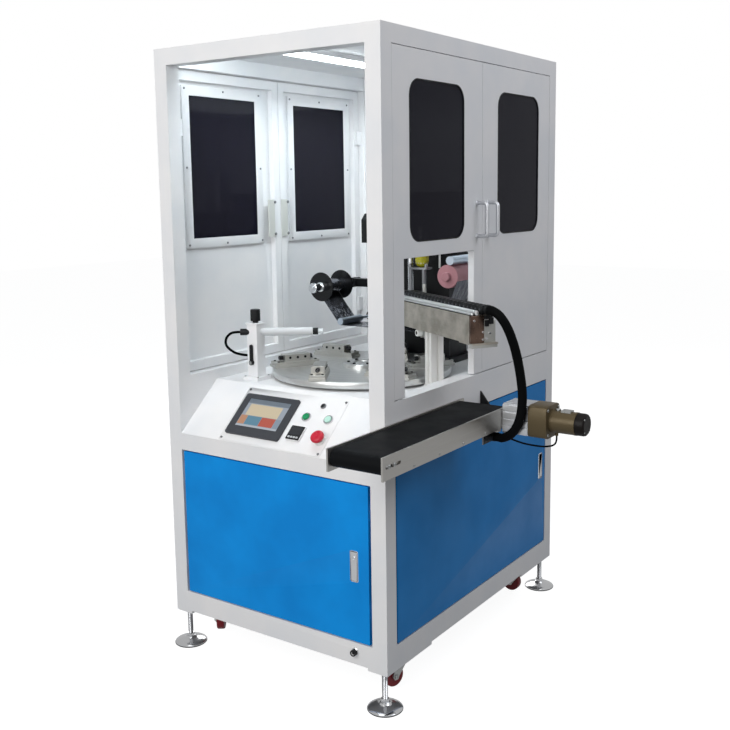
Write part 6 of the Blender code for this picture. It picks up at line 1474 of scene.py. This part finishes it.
# %% [markdown]
# ## Press, reels and foil
#
# The press stands behind the table: a black enamelled column and head with a square air
# cylinder on top, two guide rods, a steel moving plate, the heater block and a brass die. The
# column's solid has the bars that carry the reels, so rollers and bosses are told apart from
# painted faces by where they are. Rollers are bright ground steel. A filter with a yellow-green
# bowl hangs on a bracket at its right.

# %% Column, head and rollers
PRESS_Y = 0.142
ROLLER_AXES = ((-0.1875, 0.964, 0.0125), (0.1875, 0.964, 0.0125), (0.2425, 1.1846, 0.0145))
ROLLER_BACK = 0.262
FILTER_HEAD = ((0.079, 0, 1.15), (0.128, 0.17, 1.5))


def press_faces(centre):
    for x, z, radius in ROLLER_AXES:
        if math.hypot(centre.x - x, centre.z - z) < radius and centre.y < ROLLER_BACK:
            return 1
    return 2 if within(centre, *FILTER_HEAD) else 0


softened("press_frame", [black_enamel, ground_roller, zinc_plate], 0.0012, press_faces)

# %% Air filter on its bracket
FILTER_X = 0.104
profile = [(0, 1.1565), (0.009, 1.1565), (0.016, 1.160), (0.0215, 1.168), (0.0228, 1.178)]
profile += [(0.0228, 1.232), (0.0238, 1.234), (0.0238, 1.242), (0.0225, 1.244)]
lathe("filter_bowl", bowl_plastic, profile, moved(FILTER_X, PRESS_Y))
profile = [(0.0165, 1.2875), (0.0175, 1.2890), (0.0175, 1.3060), (0.0160, 1.3080), (0, 1.3080)]
lathe("filter_knob", black_plastic, profile, moved(FILTER_X, PRESS_Y), 40, 0.0006)
bracket = bmesh.new()
outline = round_corners(0.068, 0.138, PRESS_Y - 0.030, PRESS_Y + 0.012, 0.008, 4)
pushed(bracket, outline, moved(0, 0, 1.150), 0.0065)
for x in (0.0745, 0.1250):
    box(bracket, (x - 0.0045, PRESS_Y - 0.028, 1.078), (x + 0.0045, PRESS_Y - 0.016, 1.151))
profile = [(0, 1.156), (0.0060, 1.156), (0.0060, 1.166), (0.0045, 1.168), (0, 1.168)]
for x in (0.0730, 0.1330):
    turned(bracket, profile, moved(x, PRESS_Y - 0.022), 20)
settle(whole(bracket), "filter_bracket", tool_steel, edge=0.0008)
profile = [(0.0028, 1.148), (0.0034, 1.150), (0.0034, 1.262)]
lathe("air_drop_tube", white_plastic, profile, moved(0.1245, 0.220), 20, group="pale_plastic")

# %% [markdown]
# The air cylinder is a round tube between two square caps, held by four tie rods with nuts. Two
# brass fittings stand out on its right.

# %% Air cylinder
CYLINDER_FOOT = 1.3303
CAP = 0.022
CYLINDER_LENGTH = 0.150
HALF_CAP = 0.038
TIE_ROD = 0.031
cylinder = bmesh.new()
outline = round_corners(-HALF_CAP, HALF_CAP, PRESS_Y - HALF_CAP, PRESS_Y + HALF_CAP, 0.006, 4)
for start in (0.0, CYLINDER_LENGTH - CAP):
    pushed(cylinder, outline, moved(0, 0, CYLINDER_FOOT + start), CAP)
turned(cylinder, [(0.0335, 0.020), (0.0335, 0.130)], moved(0, PRESS_Y, CYLINDER_FOOT), 64)
how = {"edge": 0.001, "stands_for": ["press_cylinder"]}
settle(whole(cylinder), "air_cylinder", anodised_aluminium, **how)
ties = bmesh.new()
for x, y in square(TIE_ROD):
    turned(ties, [(0.0030, 0.021), (0.0030, 0.129)], moved(x, PRESS_Y + y, CYLINDER_FOOT), 16)
    screw(ties, moved(x, PRESS_Y + y, CYLINDER_FOOT + 0.1465), 0.0055, 0.0032)
settle(whole(ties), "tie_rods", zinc_plate)
fittings = bmesh.new()
profile = [(0.0075, 0), (0.0075, 0.006), (0.0060, 0.007), (0.0060, 0.018)]
profile += [(0.0035, 0.018), (0.0035, 0.012), (0, 0.012)]
for z in (CYLINDER_FOOT + CAP / 2, CYLINDER_FOOT + CYLINDER_LENGTH - CAP / 2):
    turned(fittings, profile, axis_place((0.0375, PRESS_Y, z), (1, 0, 0)), 24)
settle(whole(fittings), "air_fittings", brass)

# %% Moving plate, heater and guide rods
RAM_FOOT = 0.9992
PLATE_TOP = 1.0735
DIE_HEIGHT = 0.012


def ram_faces(centre):
    if centre.z > PLATE_TOP:
        return 1
    return 2 if centre.z < RAM_FOOT + DIE_HEIGHT else 0


softened("press_ram", [tool_steel, chrome_plate, brass], 0.0009, ram_faces)
heads = []
for x in (-0.040, -0.013, 0.013, 0.040):
    heads.append((axis_place((x, PRESS_Y - 0.0398, 1.034), (0, -1, 0)), 0.0055, 0.0035))
for x in (-0.070, 0.070):
    heads.append((moved(x, PRESS_Y - 0.030, PLATE_TOP - 0.0005), 0.0050, 0.0045))
screws("heater_screws", black_plastic, heads, body="press_ram")

# %% [markdown]
# The supply reel has two black flanges and a bright hub that stands forward, with three screws
# in its nose. The film on it is a dark mirror. The take-up roll is wrapped pink film on a core
# of the same colour, and a bright roller presses on it from above.

# %% Reels
SUPPLY_CENTRE = Vector((-0.2675, 0, 1.079))
SUPPLY = axis_place(SUPPLY_CENTRE, (0, 1, 0))
TAKEUP = axis_place((0.2305, 0, 1.134), (0, 1, 0))
NOSE_CIRCLE = 0.0115
CORE = 0.0175
FLANGE_THICK = 0.0025
SHAFT = 0.0060
SHAFT_END = 0.2614
flanges = bmesh.new()
for start in (0.0830, 0.1985):
    end = start + FLANGE_THICK
    profile = [(0.0176, start), (0.0470, start), (0.0498, start + 0.0006)]
    profile += [(0.0500, start + 0.0018), (0.0495, end), (0.0176, end)]
    turned(flanges, profile, SUPPLY, 96)
turned(flanges, [(CORE, 0.0830), (CORE, 0.2010)], SUPPLY)
settle(whole(flanges), "supply_flanges", glossy_black, "supply_reel", 0.0, ["supply_reel"])
profile = [(CORE, 0.0858), (0.0240, 0.0858), (0.0240, 0.1980), (CORE, 0.1980)]
lathe("supply_film", stamping_foil, profile, SUPPLY, 64, body="supply_reel")
hub = bmesh.new()
profile = [(0, 0.0335), (0.0060, 0.0332), (0.0075, 0.0345), (0.0150, 0.0340)]
profile += [(0.0170, 0.0352), (CORE, 0.0370), (CORE, 0.0480), (0.0165, 0.0492)]
profile += [(0.0122, 0.0496), (0.0122, 0.0760), (0.0165, 0.0768), (0.0172, 0.0780)]
turned(hub, profile + [(0.0172, 0.0832)], SUPPLY)
for number in range(3):
    angle = math.tau * number / 3 + 0.5
    spot = Vector((NOSE_CIRCLE * math.cos(angle), 0.0350, NOSE_CIRCLE * math.sin(angle)))
    screw(hub, axis_place(SUPPLY_CENTRE + spot, (0, -1, 0)), 0.0030, 0.0016, 12)
turned(hub, [(SHAFT, 0.2005), (SHAFT, SHAFT_END)], SUPPLY, 24)
settle(whole(hub), "supply_hub", chrome_plate, "supply_reel")
profile = [(0.0140, 0.0884), (0.0355, 0.0882), (0.0370, 0.0892), (0.0370, 0.1950)]
profile += [(0.0355, 0.1958), (0.0140, 0.1956)]
how = {"body": "takeup_reel", "stands_for": ["takeup_reel"]}
lathe("takeup_roll", pink_wrap, profile, TAKEUP, 80, **how)
profile = [(0, 0.0722), (0.0118, 0.0722), (0.0138, 0.0738), (0.0138, 0.0890)]
profile += [(0.0138, 0.1955), (SHAFT, 0.1960), (SHAFT, SHAFT_END)]
lathe("takeup_hub", pink_wrap, profile, TAKEUP, 40, body="takeup_reel")
softened("foil_web", stamping_foil, 0.0)
print("press and reels done")

# %% [markdown]
# ## Pick-off beam
#
# The beam runs out through the notch of the right front door. Its front face is a ground steel
# cover, a browned block closes its end, and a thin and a thick bright rod lie on a black bed
# along its top edge. It stands on a pale anodised column. Beam and column are one solid, so
# each face takes its finish by where it lies in the beam's own coordinates, and the solid's
# rods make room for finer ones.

# %% Beam and column
BEAM = moved(0.3161, -0.1368) @ Matrix.Rotation(BEAM_TURN, 4, "Z")
BEAM_FOOT = 0.998
BEAM_TOP = 1.073
COLUMN_FLANGE = 0.0045
END_CAP_START = 0.2672
ROD_EDGE = -0.008


def beam_faces(centre):
    own = BEAM.inverted() @ centre
    if centre.z < BEAM_FOOT - COLUMN_FLANGE:
        return 1
    if centre.z > BEAM_TOP + 0.0005:
        return 2
    return 1 if own.x > END_CAP_START and centre.z > BEAM_FOOT else 0


def on_rods(vertex):
    return vertex.co.z > BEAM_TOP + 0.0008 and (BEAM.inverted() @ vertex.co).y < ROD_EDGE


beam = solid_of("transfer_beam")
rod_corners = [vertex for vertex in beam.verts if on_rods(vertex)]
bmesh.ops.delete(beam, geom=rod_corners, context="VERTS")
beam_finishes = [ground_steel, column_white, chrome_plate]
how = {"edge": 0.0008, "stands_for": ["transfer_beam"], "which": beam_faces}
settle(beam, "beam_and_column", beam_finishes, **how)

# %% [markdown]
# The end of the beam carries a bent plate with three air connectors. Under the beam, near the
# column, a pale roller stops the carriage.


# %% What is fixed to the beam
def beam_boxes(name, finish, boxes, edge=0.0008):
    """Boxes in the beam's own coordinates, each from one corner to the opposite one."""
    shape = bmesh.new()
    for low, high in boxes:
        box(shape, low, high, BEAM)
    settle(whole(shape), name, finish, edge=edge)


end_low, end_high = (0.2660, -0.0348, BEAM_FOOT + 0.0005), (0.2745, 0.0065, BEAM_TOP - 0.0005)
beam_boxes("beam_end_block", browned_steel, [(end_low, end_high)], 0.0010)
beam_boxes(
    "beam_end_plate",
    dull_aluminium,
    [
        ((0.2700, 0.0066, BEAM_FOOT - 0.0080), (0.2735, 0.0420, BEAM_TOP - 0.0150)),
        ((0.2650, -0.0345, BEAM_FOOT - 0.0120), (0.2810, 0.0440, BEAM_FOOT - 0.0002)),
    ],
)
beam_boxes(
    "end_connectors",
    black_plastic,
    [
        ((0.2734, 0.0080, BEAM_TOP - 0.0300), (0.2800, 0.0180, BEAM_TOP - 0.0130)),
        ((0.2734, 0.0200, BEAM_TOP - 0.0240), (0.2810, 0.0320, BEAM_TOP - 0.0060)),
        ((0.2700, 0.0060, BEAM_TOP - 0.0100), (0.2790, 0.0300, BEAM_TOP - 0.0010)),
    ],
)
heads = []
for y, z in ((0.0020, 0.030), (0.0240, 0.026), (0.0020, 0.010), (0.0130, 0.012), (-0.0250, 0.062)):
    heads.append((BEAM @ axis_place((0.2733, y, BEAM_FOOT + z), (1, 0, 0)), 0.0034, 0.0030))
screws("beam_bolts", chrome_plate, heads, group="chrome")
ROLLER_FRONT = 0.0142
profile = [(0.0050, 0), (0.0105, 0), (0.0105, 0.014), (0.0095, 0.016)]
profile += [(0.0050, 0.016), (0.0045, 0.010), (0, 0.010)]
stop_roller = BEAM @ axis_place((-0.0634, -0.010, 0.9840), (0, -1, 0))
lathe("beam_stop_roller", white_plastic, profile, stop_roller, 32)
# A black disc in the mouth of the roller's recess is painted shade: it stands for the dark of the
# bore.
profile = [(0, 0), (0.0054, 0), (0.0054, 0.0022), (0, 0.0022)]
lathe("stop_roller_bore_shade", black_plastic, profile, stop_roller @ moved(0, 0, ROLLER_FRONT), 24)

RAIL_START = -0.2348
RAIL_BED = BEAM_TOP + 0.0012
RAIL_LENGTH = 0.5100
bed_low, bed_high = (-0.2345, -0.0345, BEAM_TOP + 0.0002), (0.2700, -0.0090, RAIL_BED)
beam_boxes("rail_bed", black_plastic, [(bed_low, bed_high)], 0.0)
rails = bmesh.new()
for y, radius in ((-0.0305, 0.0030), (-0.0165, 0.0064)):
    place = BEAM @ axis_place((RAIL_START, y, RAIL_BED + radius), (1, 0, 0))
    profile = [(0.0020, 0), (radius, 0.0012), (radius, RAIL_LENGTH - 0.0010), (0.0020, RAIL_LENGTH)]
    turned(rails, profile, place, 40)
settle(whole(rails), "beam_rods", polished_rod)
heads = []
for x, y in ((-0.026, 0.012), (-0.026, 0.026), (-0.010, 0.026), (0.010, 0.026)):
    heads.append((BEAM @ moved(x, y, TABLE + 0.0080), 0.0045, 0.0040))
screws("column_foot_screws", black_plastic, heads)

# %% [markdown]
# ### Cable chain
#
# The chain is a row of black plastic links that snap into each other. Each link is a short
# frame with rounded shoulders, two side plates with a pin, and a snap-in cross bar. At this
# size the gaps between links and the pins are what tells the eye it is a chain.

# %% Links of the chain
LINKS = 22
LINK_STEP = 0.0215
LINK_LENGTH = 0.0205
CHAIN_END = 0.2725
CHAIN_FOOT = BEAM_TOP + 0.0003
SIDE_PLATE = 0.0035
links = bmesh.new()
pins = bmesh.new()
standing = Matrix(((1, 0, 0, 0), (0, 0, -1, 0), (0, 1, 0, 0), (0, 0, 0, 1)))
for link in range(LINKS):
    start = CHAIN_END - LINKS * LINK_STEP + link * LINK_STEP
    end = start + LINK_LENGTH
    outline = [(start, 0.003), (start + 0.003, 0), (end - 0.004, 0), (end, 0.005)]
    outline += [(end, 0.019), (end - 0.004, 0.0235), (start + 0.003, 0.0235), (start, 0.020)]
    for y in (0.0055, 0.0320):
        pushed(links, outline, BEAM @ moved(0, y, CHAIN_FOOT) @ standing, SIDE_PLATE)
    for low_z, high_z in ((0.0205, 0.0238), (0.0002, 0.0030)):
        bar_low = (start + 0.003, 0.004, CHAIN_FOOT + low_z)
        box(links, bar_low, (end - 0.006, 0.030, CHAIN_FOOT + high_z), BEAM)
    for y, way in ((0.0021, -1), (0.0319, 1)):
        place = BEAM @ axis_place((start + 0.006, y, CHAIN_FOOT + 0.012), (0, way, 0))
        turned(pins, [(0.0048, 0), (0.0048, 0.0003), (0.0042, 0.0006), (0, 0.0006)], place, 16)
settle(whole(links), "chain_links", black_plastic, edge=0.0005, stands_for=["cable_chain"])
settle(whole(pins), "chain_pins", panel_plastic)
lines = bmesh.new()
for y, z, radius in ((0.010, 0.009, 0.004), (0.017, 0.012, 0.005), (0.025, 0.009, 0.004)):
    place = BEAM @ axis_place((-0.198, y, CHAIN_FOOT + z), (1, 0, 0))
    turned(lines, [(0, 0), (radius, 0), (radius, 0.468), (0, 0.468)], place, 16)
settle(whole(lines), "lines_in_chain", hose_rubber)
print("chain links:", LINKS)

# %% [markdown]
# A flared sleeve joins the hose to the chain's last link. It is turned in the direction in which
# the hose leaves, so that the hose seems to grow out of it.

# %% Sleeve at the chain's end, carriage and gripper
hose_start = Vector(HOSE_ROUTE[0])
hose_way = (Vector(HOSE_ROUTE[1]) - hose_start).normalized()
profile = [(0.0128, -0.003), (0.0140, -0.002), (0.0140, 0.006), (0.0134, 0.010), (0.0128, 0.0105)]
lathe("hose_sleeve", black_plastic, profile, axis_place(hose_start, hose_way), 40)


def carriage_faces(centre):
    slide_back = 0.048
    return 1 if (BEAM.inverted() @ centre).y > slide_back else 0


softened("transfer_carriage", [black_enamel, anodised_aluminium], 0.0009, carriage_faces)
softened("gripper", milled_aluminium, 0.0007)
print("beam done")

# %% [markdown]
# ## Conveyor
#
# Two brushed aluminium side plates hold a slider bed, a tension roller in front and a driven
# roller behind. The black belt runs round both. The front ends of the plates have slots with
# the tension bolts in them. A black gusset holds the rear end to the cabinet.


# %% Side plates, gusset and bolts
GUSSET_START = -0.114
GLANDS = ((0.5205, -0.22, 0.6), (0.56, -0.15, 0.742))


def conveyor_faces(centre):
    return 1 if centre.y > GUSSET_START or within(centre, *GLANDS) else 0


softened("conveyor_frame", [conveyor_aluminium, black_plastic], 0.0007, conveyor_faces)
ROLLER_Z = 0.7757
PLATE_OUTSIDES = ((1, 0.5615), (-1, 0.3968))
heads = []
for side, x in PLATE_OUTSIDES:
    for y in (-0.750, -0.728):
        place = axis_place((x - side * 0.0002, y, ROLLER_Z), (side, 0, 0))
        heads.append((place, 0.0056, 0.0030))
for y in (-0.640, -0.520, -0.400, -0.280):
    heads.append((axis_place((0.5613, y, 0.752), (1, 0, 0)), 0.0034, 0.0016))
screws("conveyor_bolts", zinc_plate, heads)

# %% [markdown]
# ### Belt and rollers
#
# The belt is a closed loop: two straight runs and two half circles. It is pushed from a finely
# stepped outline, with the same outline a belt's thickness smaller inside, so that its rounded
# ends look round at the front, where the photograph shows them close.

# %% Belt loop
BELT_LEFT = 0.4065
BELT_RIGHT = 0.5545
BELT_THICK = 0.0020
BELT_OUTSIDE = 0.0223
DRIVE_Y = -0.142
IDLER_Y = -0.750
LOOP_STEPS = 24


def loop_outline(radius):
    """Two half circles round the rollers, joined by the straight runs."""
    points = []
    for y, start in ((DRIVE_Y, -90), (IDLER_Y, 90)):
        for step in range(LOOP_STEPS + 1):
            angle = math.radians(start + 180 * step / LOOP_STEPS)
            points.append((y + radius * math.cos(angle), ROLLER_Z + radius * math.sin(angle)))
    return points


belt = bmesh.new()
outer, inner = loop_outline(BELT_OUTSIDE), loop_outline(BELT_OUTSIDE - BELT_THICK)
ring_between(belt, outer, inner, side_place(1, BELT_LEFT), BELT_RIGHT - BELT_LEFT)
settle(whole(belt), "belt_loop", belt_pvc, stands_for=["conveyor_belt"])


def belt_roller(node, y, left, right):
    profile = [(0, left), (0.0052, left), (0.0058, left + 0.0008), (0.0058, BELT_LEFT)]
    profile += [(0.0188, BELT_LEFT), (0.0195, BELT_LEFT + 0.003), (0.0195, BELT_RIGHT - 0.003)]
    profile += [(0.0188, BELT_RIGHT), (0.0058, BELT_RIGHT), (0.0058, right - 0.0008)]
    profile += [(0.0052, right), (0, right)]
    how = {"body": node, "stands_for": [node], "group": "steel"}
    lathe(f"{node}_drum", chrome_plate, profile, axis_place((0, y, ROLLER_Z), (1, 0, 0)), **how)


belt_roller("idler_roller", IDLER_Y, 0.4021, 0.5562)
belt_roller("drive_roller", DRIVE_Y, 0.3993, 0.5615)

# %% [markdown]
# ### Gear motor
#
# A square aluminium adapter joins the motor to the conveyor, with four wide flat bands on each
# side. Behind it come the gear case and the round motor in olive brown enamel, and a brown-black
# fan cover with eight bars in its end. Socket screws hold the gear case at its four corners.

# %% Adapter, gear case, motor and fan cover
CASE_START = 0.6417
COVER_START = 0.7690
COVER_END = 0.7957
COVER_CIRCLE = 0.0245
COVER_BARS = 8
CASE_CORNER = 0.034
MOTOR = axis_place((0, DRIVE_Y, ROLLER_Z), (1, 0, 0))
MOTOR_CENTRE = moved(0, DRIVE_Y, ROLLER_Z)


def motor_faces(centre):
    if centre.x > COVER_START:
        return 2
    return 1 if centre.x < CASE_START else 0


motor_finishes = [olive_enamel, bright_aluminium, fan_cover_black]
softened("conveyor_motor", motor_finishes, 0.0012, motor_faces)
profile = [(0.0318, 0.6950), (0.0318, 0.7020), (0.0312, 0.7024), (0.0312, 0.7620)]
profile += [(0.0318, 0.7624), (0.0318, COVER_START), (0.0290, COVER_START + 0.0004)]
lathe("motor_shell", olive_enamel, profile, MOTOR, 64)
cover = bmesh.new()
profile = [(0.0300, 0.7688), (0.0308, 0.7700), (0.0308, 0.7880), (0.0296, 0.7925)]
profile += [(0.0262, 0.7952), (0.0210, COVER_END), (0.0205, 0.7935), (0.0100, 0.7935)]
turned(cover, profile + [(0.0095, COVER_END), (0, COVER_END)], MOTOR, 64)
for number in range(COVER_BARS):
    turn = Matrix.Rotation(math.tau * number / COVER_BARS, 4, "X")
    box(cover, (0.7930, -0.0016, 0.0090), (COVER_END, 0.0016, 0.0220), MOTOR_CENTRE @ turn)
settle(whole(cover), "motor_fan_cover", fan_cover_black)
top_fittings = bmesh.new()
for number in range(4):
    angle = math.tau * (number + 0.5) / 4
    y = DRIVE_Y + COVER_CIRCLE * math.cos(angle)
    z = ROLLER_Z + COVER_CIRCLE * math.sin(angle)
    screw(top_fittings, axis_place((0.7940, y, z), (1, 0, 0)), 0.0026, 0.0018, 12)
place = axis_place((0.712, DRIVE_Y, ROLLER_Z + 0.0305), (0, 0, 1))
turned(top_fittings, [(0.0075, 0), (0.0075, 0.004), (0.0055, 0.0055), (0, 0.0055)], place, 24)
box(top_fittings, (0.7240, -0.012, 0.0290), (0.7520, 0.012, 0.0345), MOTOR_CENTRE)
settle(whole(top_fittings), "motor_top_fittings", zinc_plate)
heads = []
for y, z in square(CASE_CORNER):
    heads.append((axis_place((0.6956, DRIVE_Y + y, ROLLER_Z + z), (1, 0, 0)), 0.0042, 0.0030))
screws("gear_case_screws", zinc_plate, heads)
BAND_HALF_WIDTH = 0.0082
BAND_LOW = 0.0385
BAND_HIGH = 0.0422
bands = bmesh.new()
for quarter in range(4):
    face_place = MOTOR_CENTRE @ Matrix.Rotation(quarter * math.pi / 2, 4, "X")
    for offset in (-0.0305, -0.0102, 0.0102, 0.0305):
        band_low = (0.5635, offset - BAND_HALF_WIDTH, BAND_LOW)
        box(bands, band_low, (0.6402, offset + BAND_HALF_WIDTH, BAND_HIGH), face_place)
settle(whole(bands), "adapter_ribs", bright_aluminium, edge=0.0008)
print("conveyor done")

# %% [markdown]
# ## Product sensor
#
# A white post carries a long pale barrel that looks at the holders, with a black ring and a
# frosted tip. On top of the post is a black knurled knob, and a black lever clamps the barrel's
# height. The post's solid is one piece, so its faces take their finish by place.

# %% Post, barrel, knob and lever
BARREL_TURN = math.radians(34.6)
POST = Vector((-0.2335, -0.298, 0))
BARREL = moved(POST.x, POST.y, 0.9743) @ Matrix.Rotation(BARREL_TURN, 4, "Z")
BARREL_REACH = 0.0128
PLUG_END = -0.021
SLEEVE_START = 0.024
RING_START = 0.1775
TIP_START = 0.194
KNOB_FOOT = 1.0033
CABLE_PLUG = ((POST.x - 0.1, POST.y - 0.1, 0.85), (POST.x - 0.0205, POST.y + 0.1, 0.92))
FOOT_SCREW = 0.0255


def post_faces(centre):
    own = BARREL.inverted() @ centre
    if math.hypot(own.y, own.z) < BARREL_REACH:
        if own.x > TIP_START:
            return 3
        if own.x > RING_START or own.x < PLUG_END:
            return 1
        return 2 if own.x > SLEEVE_START else 0
    return 1 if centre.z > KNOB_FOOT + 0.0002 or within(centre, *CABLE_PLUG) else 0


post_finishes = [white_powder_coat, black_plastic, barrel_grey, clear_tip]
softened("sensor_post", post_finishes, 0.0007, post_faces)
along_barrel = BARREL @ axis_place((0, 0, 0), (1, 0, 0))
profile = [(0.0126, 0.0235), (0.0127, 0.170), (0.0131, 0.1705)]
profile += [(0.0131, RING_START), (0.0110, 0.1782)]
lathe("sensor_barrel", barrel_grey, profile, along_barrel)
ring = bmesh.new()
profile = [(0.0100, 0.1778), (0.0108, 0.1782), (0.0108, 0.1935), (0.0090, 0.1942)]
turned(ring, profile, along_barrel, 32, 0.0005)
profile = [(0.0104, -0.0475), (0.0104, -0.0300), (0.0094, -0.0295)]
profile += [(0.0094, -0.0240), (0.0104, -0.0235), (0.0104, -0.0200)]
turned(ring, profile, along_barrel, 24, 0.0004)
settle(whole(ring), "barrel_ring", black_plastic)
profile = [(0.0090, 0), (0.0090, 0.006), (0.0148, 0.0062), (0.0153, 0.0080)]
profile += [(0.0153, 0.0395), (0.0145, 0.0415), (0, 0.0418)]
lathe("sensor_knob", black_plastic, profile, moved(POST.x, POST.y, KNOB_FOOT), 48, 0.0007)
softened("clamp_lever", black_plastic, 0.0012)
head = axis_place((POST.x, POST.y - 0.0283, 0.8803), (0, -1, 0))
screws("lever_bolt", zinc_plate, [(head, 0.0050, 0.0026)], body="clamp_lever")
heads = []
for x, y in square(FOOT_SCREW):
    heads.append((moved(POST.x + x, POST.y + y, TABLE + 0.0101), 0.0038, 0.0028))
screws("post_foot_screws", zinc_plate, heads)
print("sensor done")

# %% [markdown]
# ## Inside the cabinet
#
# The index drive hangs under the table plate, and an upright plate in the cabinet carries the
# electrics: wire troughs with slotted sides in pale grey, and rows of devices. None of it shows
# in the photograph, but the doors open. Terminals are added to the devices so they read as what
# they are.


# %% Drive and electrical plate
DRIVE_MOTOR_START = 0.033
DRIVE_SCREW = 0.098
BOARD_FRONT = 0.3265
TROUGH_FRONT = 0.288


def drive_faces(centre):
    return 1 if centre.y > DRIVE_MOTOR_START else 0


softened("index_drive", [zinc_plate, black_enamel], 0.0014, drive_faces)
heads = []
for x, y in square(DRIVE_SCREW):
    heads.append((axis_place((x, TABLE_CENTRE.y + y, 0.7938), (0, 0, -1)), 0.0065, 0.0050))
screws("drive_screws", black_plastic, heads)


def plate_faces(centre):
    if centre.y > BOARD_FRONT:
        return 0
    return 2 if centre.y <= TROUGH_FRONT and centre.x < 0.1 else 1


plate_finishes = [zinc_plate, grey_plastic, panel_plastic]
softened("electrical_plate", plate_finishes, 0.0010, plate_faces, group="aluminium")
TERMINALS = 24
TERMINAL_STEP = 0.0219
TERMINAL_WIDTH = 0.012
terminals = bmesh.new()
for z in (0.2288, 0.4438):
    for number in range(TERMINALS):
        x = -0.252 + number * TERMINAL_STEP
        for low_z, high_z in ((z - 0.047, z - 0.036), (z + 0.036, z + 0.047)):
            box(terminals, (x, 0.2575, low_z), (x + TERMINAL_WIDTH, 0.2606, high_z))
settle(whole(terminals), "device_terminals", white_plastic, edge=0.0004)
print("inside done")

# %% [markdown]
# ## Studio
#
# The photograph has a plain white ground and soft light. Large soft lamps stand in front, at
# the right and behind on the left, one hangs above, and the sky fills in from everywhere. A
# small one inside the cabinet does what the lamp tube does, with less speckle. The floor takes
# the machine's shadow; for the camera and for reflections it also glows a little, and the sky
# is white, so that ground and background meet in white. That adds no light to the machine.

# %% Floor and sky
LIGHT_LEVEL = 0.26
MIRRORED_SHARE = 0.4
GROUND_GLOW = 0.92
GROUND_COLOUR = (0.25, 0.255, 0.26, 1)
WHITE = (1, 1, 1, 1)
FLOOR_SIZE = 14
FLOOR_DROP = 0.0005


def times(material, output, factor):
    node = add(material, "ShaderNodeMath", {"operation": "MULTIPLY"}, {})
    material.node_tree.links.new(output, node.inputs[0])
    node.inputs[1].default_value = factor
    return node.outputs[0]


def larger(material, first, second):
    node = add(material, "ShaderNodeMath", {"operation": "MAXIMUM"}, {})
    material.node_tree.links.new(first, node.inputs[0])
    material.node_tree.links.new(second, node.inputs[1])
    return node.outputs[0]


def seen_share(material, ray):
    """1 where the camera looks, and the mirrored share where a reflection does."""
    mirrored = times(material, ray.outputs["Is Glossy Ray"], MIRRORED_SHARE)
    return larger(material, ray.outputs["Is Camera Ray"], mirrored)


floor_shape = bmesh.new()
bmesh.ops.create_grid(floor_shape, x_segments=4, y_segments=4, size=FLOOR_SIZE)
floor_mesh = bpy.data.meshes.new("studio_floor")
floor_shape.to_mesh(floor_mesh)
floor_shape.free()
floor = bpy.data.objects.new("studio_floor", floor_mesh)
floor.location = (HERE.x, HERE.y, -FLOOR_DROP)
bpy.context.scene.collection.objects.link(floor)
floor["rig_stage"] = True
ground = bpy.data.materials.new("studio_ground")
ground.use_nodes = True
nodes = ground.node_tree.nodes
nodes.remove(nodes["Principled BSDF"])
seen = seen_share(ground, add(ground, "ShaderNodeLightPath", {}, {}))
glow = add(ground, "ShaderNodeEmission", {"Color": WHITE}, {})
matt = add(ground, "ShaderNodeBsdfDiffuse", {"Color": GROUND_COLOUR}, {})
both = add(ground, "ShaderNodeAddShader", {}, {})
link = ground.node_tree.links.new
link(times(ground, seen, GROUND_GLOW), glow.inputs["Strength"])
link(matt.outputs[0], both.inputs[0])
link(glow.outputs[0], both.inputs[1])
link(both.outputs[0], nodes["Material Output"].inputs["Surface"])
floor_mesh.materials.append(ground)

world = bpy.data.worlds.new("studio_sky")
world.use_nodes = True
bpy.context.scene.world = world
sky = world.node_tree.nodes["Background"]
sky.inputs["Color"].default_value = WHITE
ray = add(world, "ShaderNodeLightPath", {}, {})
through = larger(world, seen_share(world, ray), ray.outputs["Is Transmission Ray"])
settings = {"To Min": LIGHT_LEVEL, "To Max": 1.0}
level = add(world, "ShaderNodeMapRange", settings, {"Value": through})
world.node_tree.links.new(level.outputs["Result"], sky.inputs["Strength"])


# %% Lamps
def soft_lamp(name, place, aim, size, power, colour="#FFFFFF"):
    light = bpy.data.lights.new(name, "AREA")
    light.shape = "RECTANGLE"
    light.size, light.size_y = size
    light.energy = power
    light.color = linear(colour)[:3]
    lamp = bpy.data.objects.new(name, light)
    place = Vector(place)
    facing = (Vector(aim) - place).to_track_quat("-Z", "Y")
    lamp.matrix_world = Matrix.Translation(place + HERE) @ facing.to_matrix().to_4x4()
    bpy.context.scene.collection.objects.link(lamp)
    print(name, "gives", power, "W")
    return lamp


soft_lamp("front_lamp", (0.2, -3.6, 2.2), (0, -0.3, 1.0), (2.6, 2.6), 89)
soft_lamp("side_lamp", (2.4, 0.3, 3.0), (0.4, 0, 1.4), (1.8, 1.8), 25, "#F2F6FF")
soft_lamp("top_lamp", (0.2, -0.6, 4.4), (0, 0, 0.9), (2.6, 2.6), 28)
soft_lamp("back_lamp", (-2.6, 3.0, 2.6), (0, 0.2, 0.9), (2.4, 2.4), 46)
inside_place = (LAMP_X, 0, 1.715)
inside = soft_lamp("cabinet_lamp", inside_place, (LAMP_X, 0, 0.9), (0.4, 0.9), 3.6, "#EAF5FA")
inside.visible_camera = False
bpy.context.scene.view_settings.view_transform = "Standard"

# %% [markdown]
# ## Last look at the sizes
# Both boxes are measured, and how far the dressed machine reaches past the space of its
# solids is printed in millimetres.

# %% Compare the boxes and finish
dressed_box = [list(corner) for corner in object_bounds()]
before = solid_box[0] + solid_box[1]
after = dressed_box[0] + dressed_box[1]
grown = [round(1000 * (new - old), 2) for old, new in zip(before, after)]
print("dressed box minus solid box, mm:", grown)
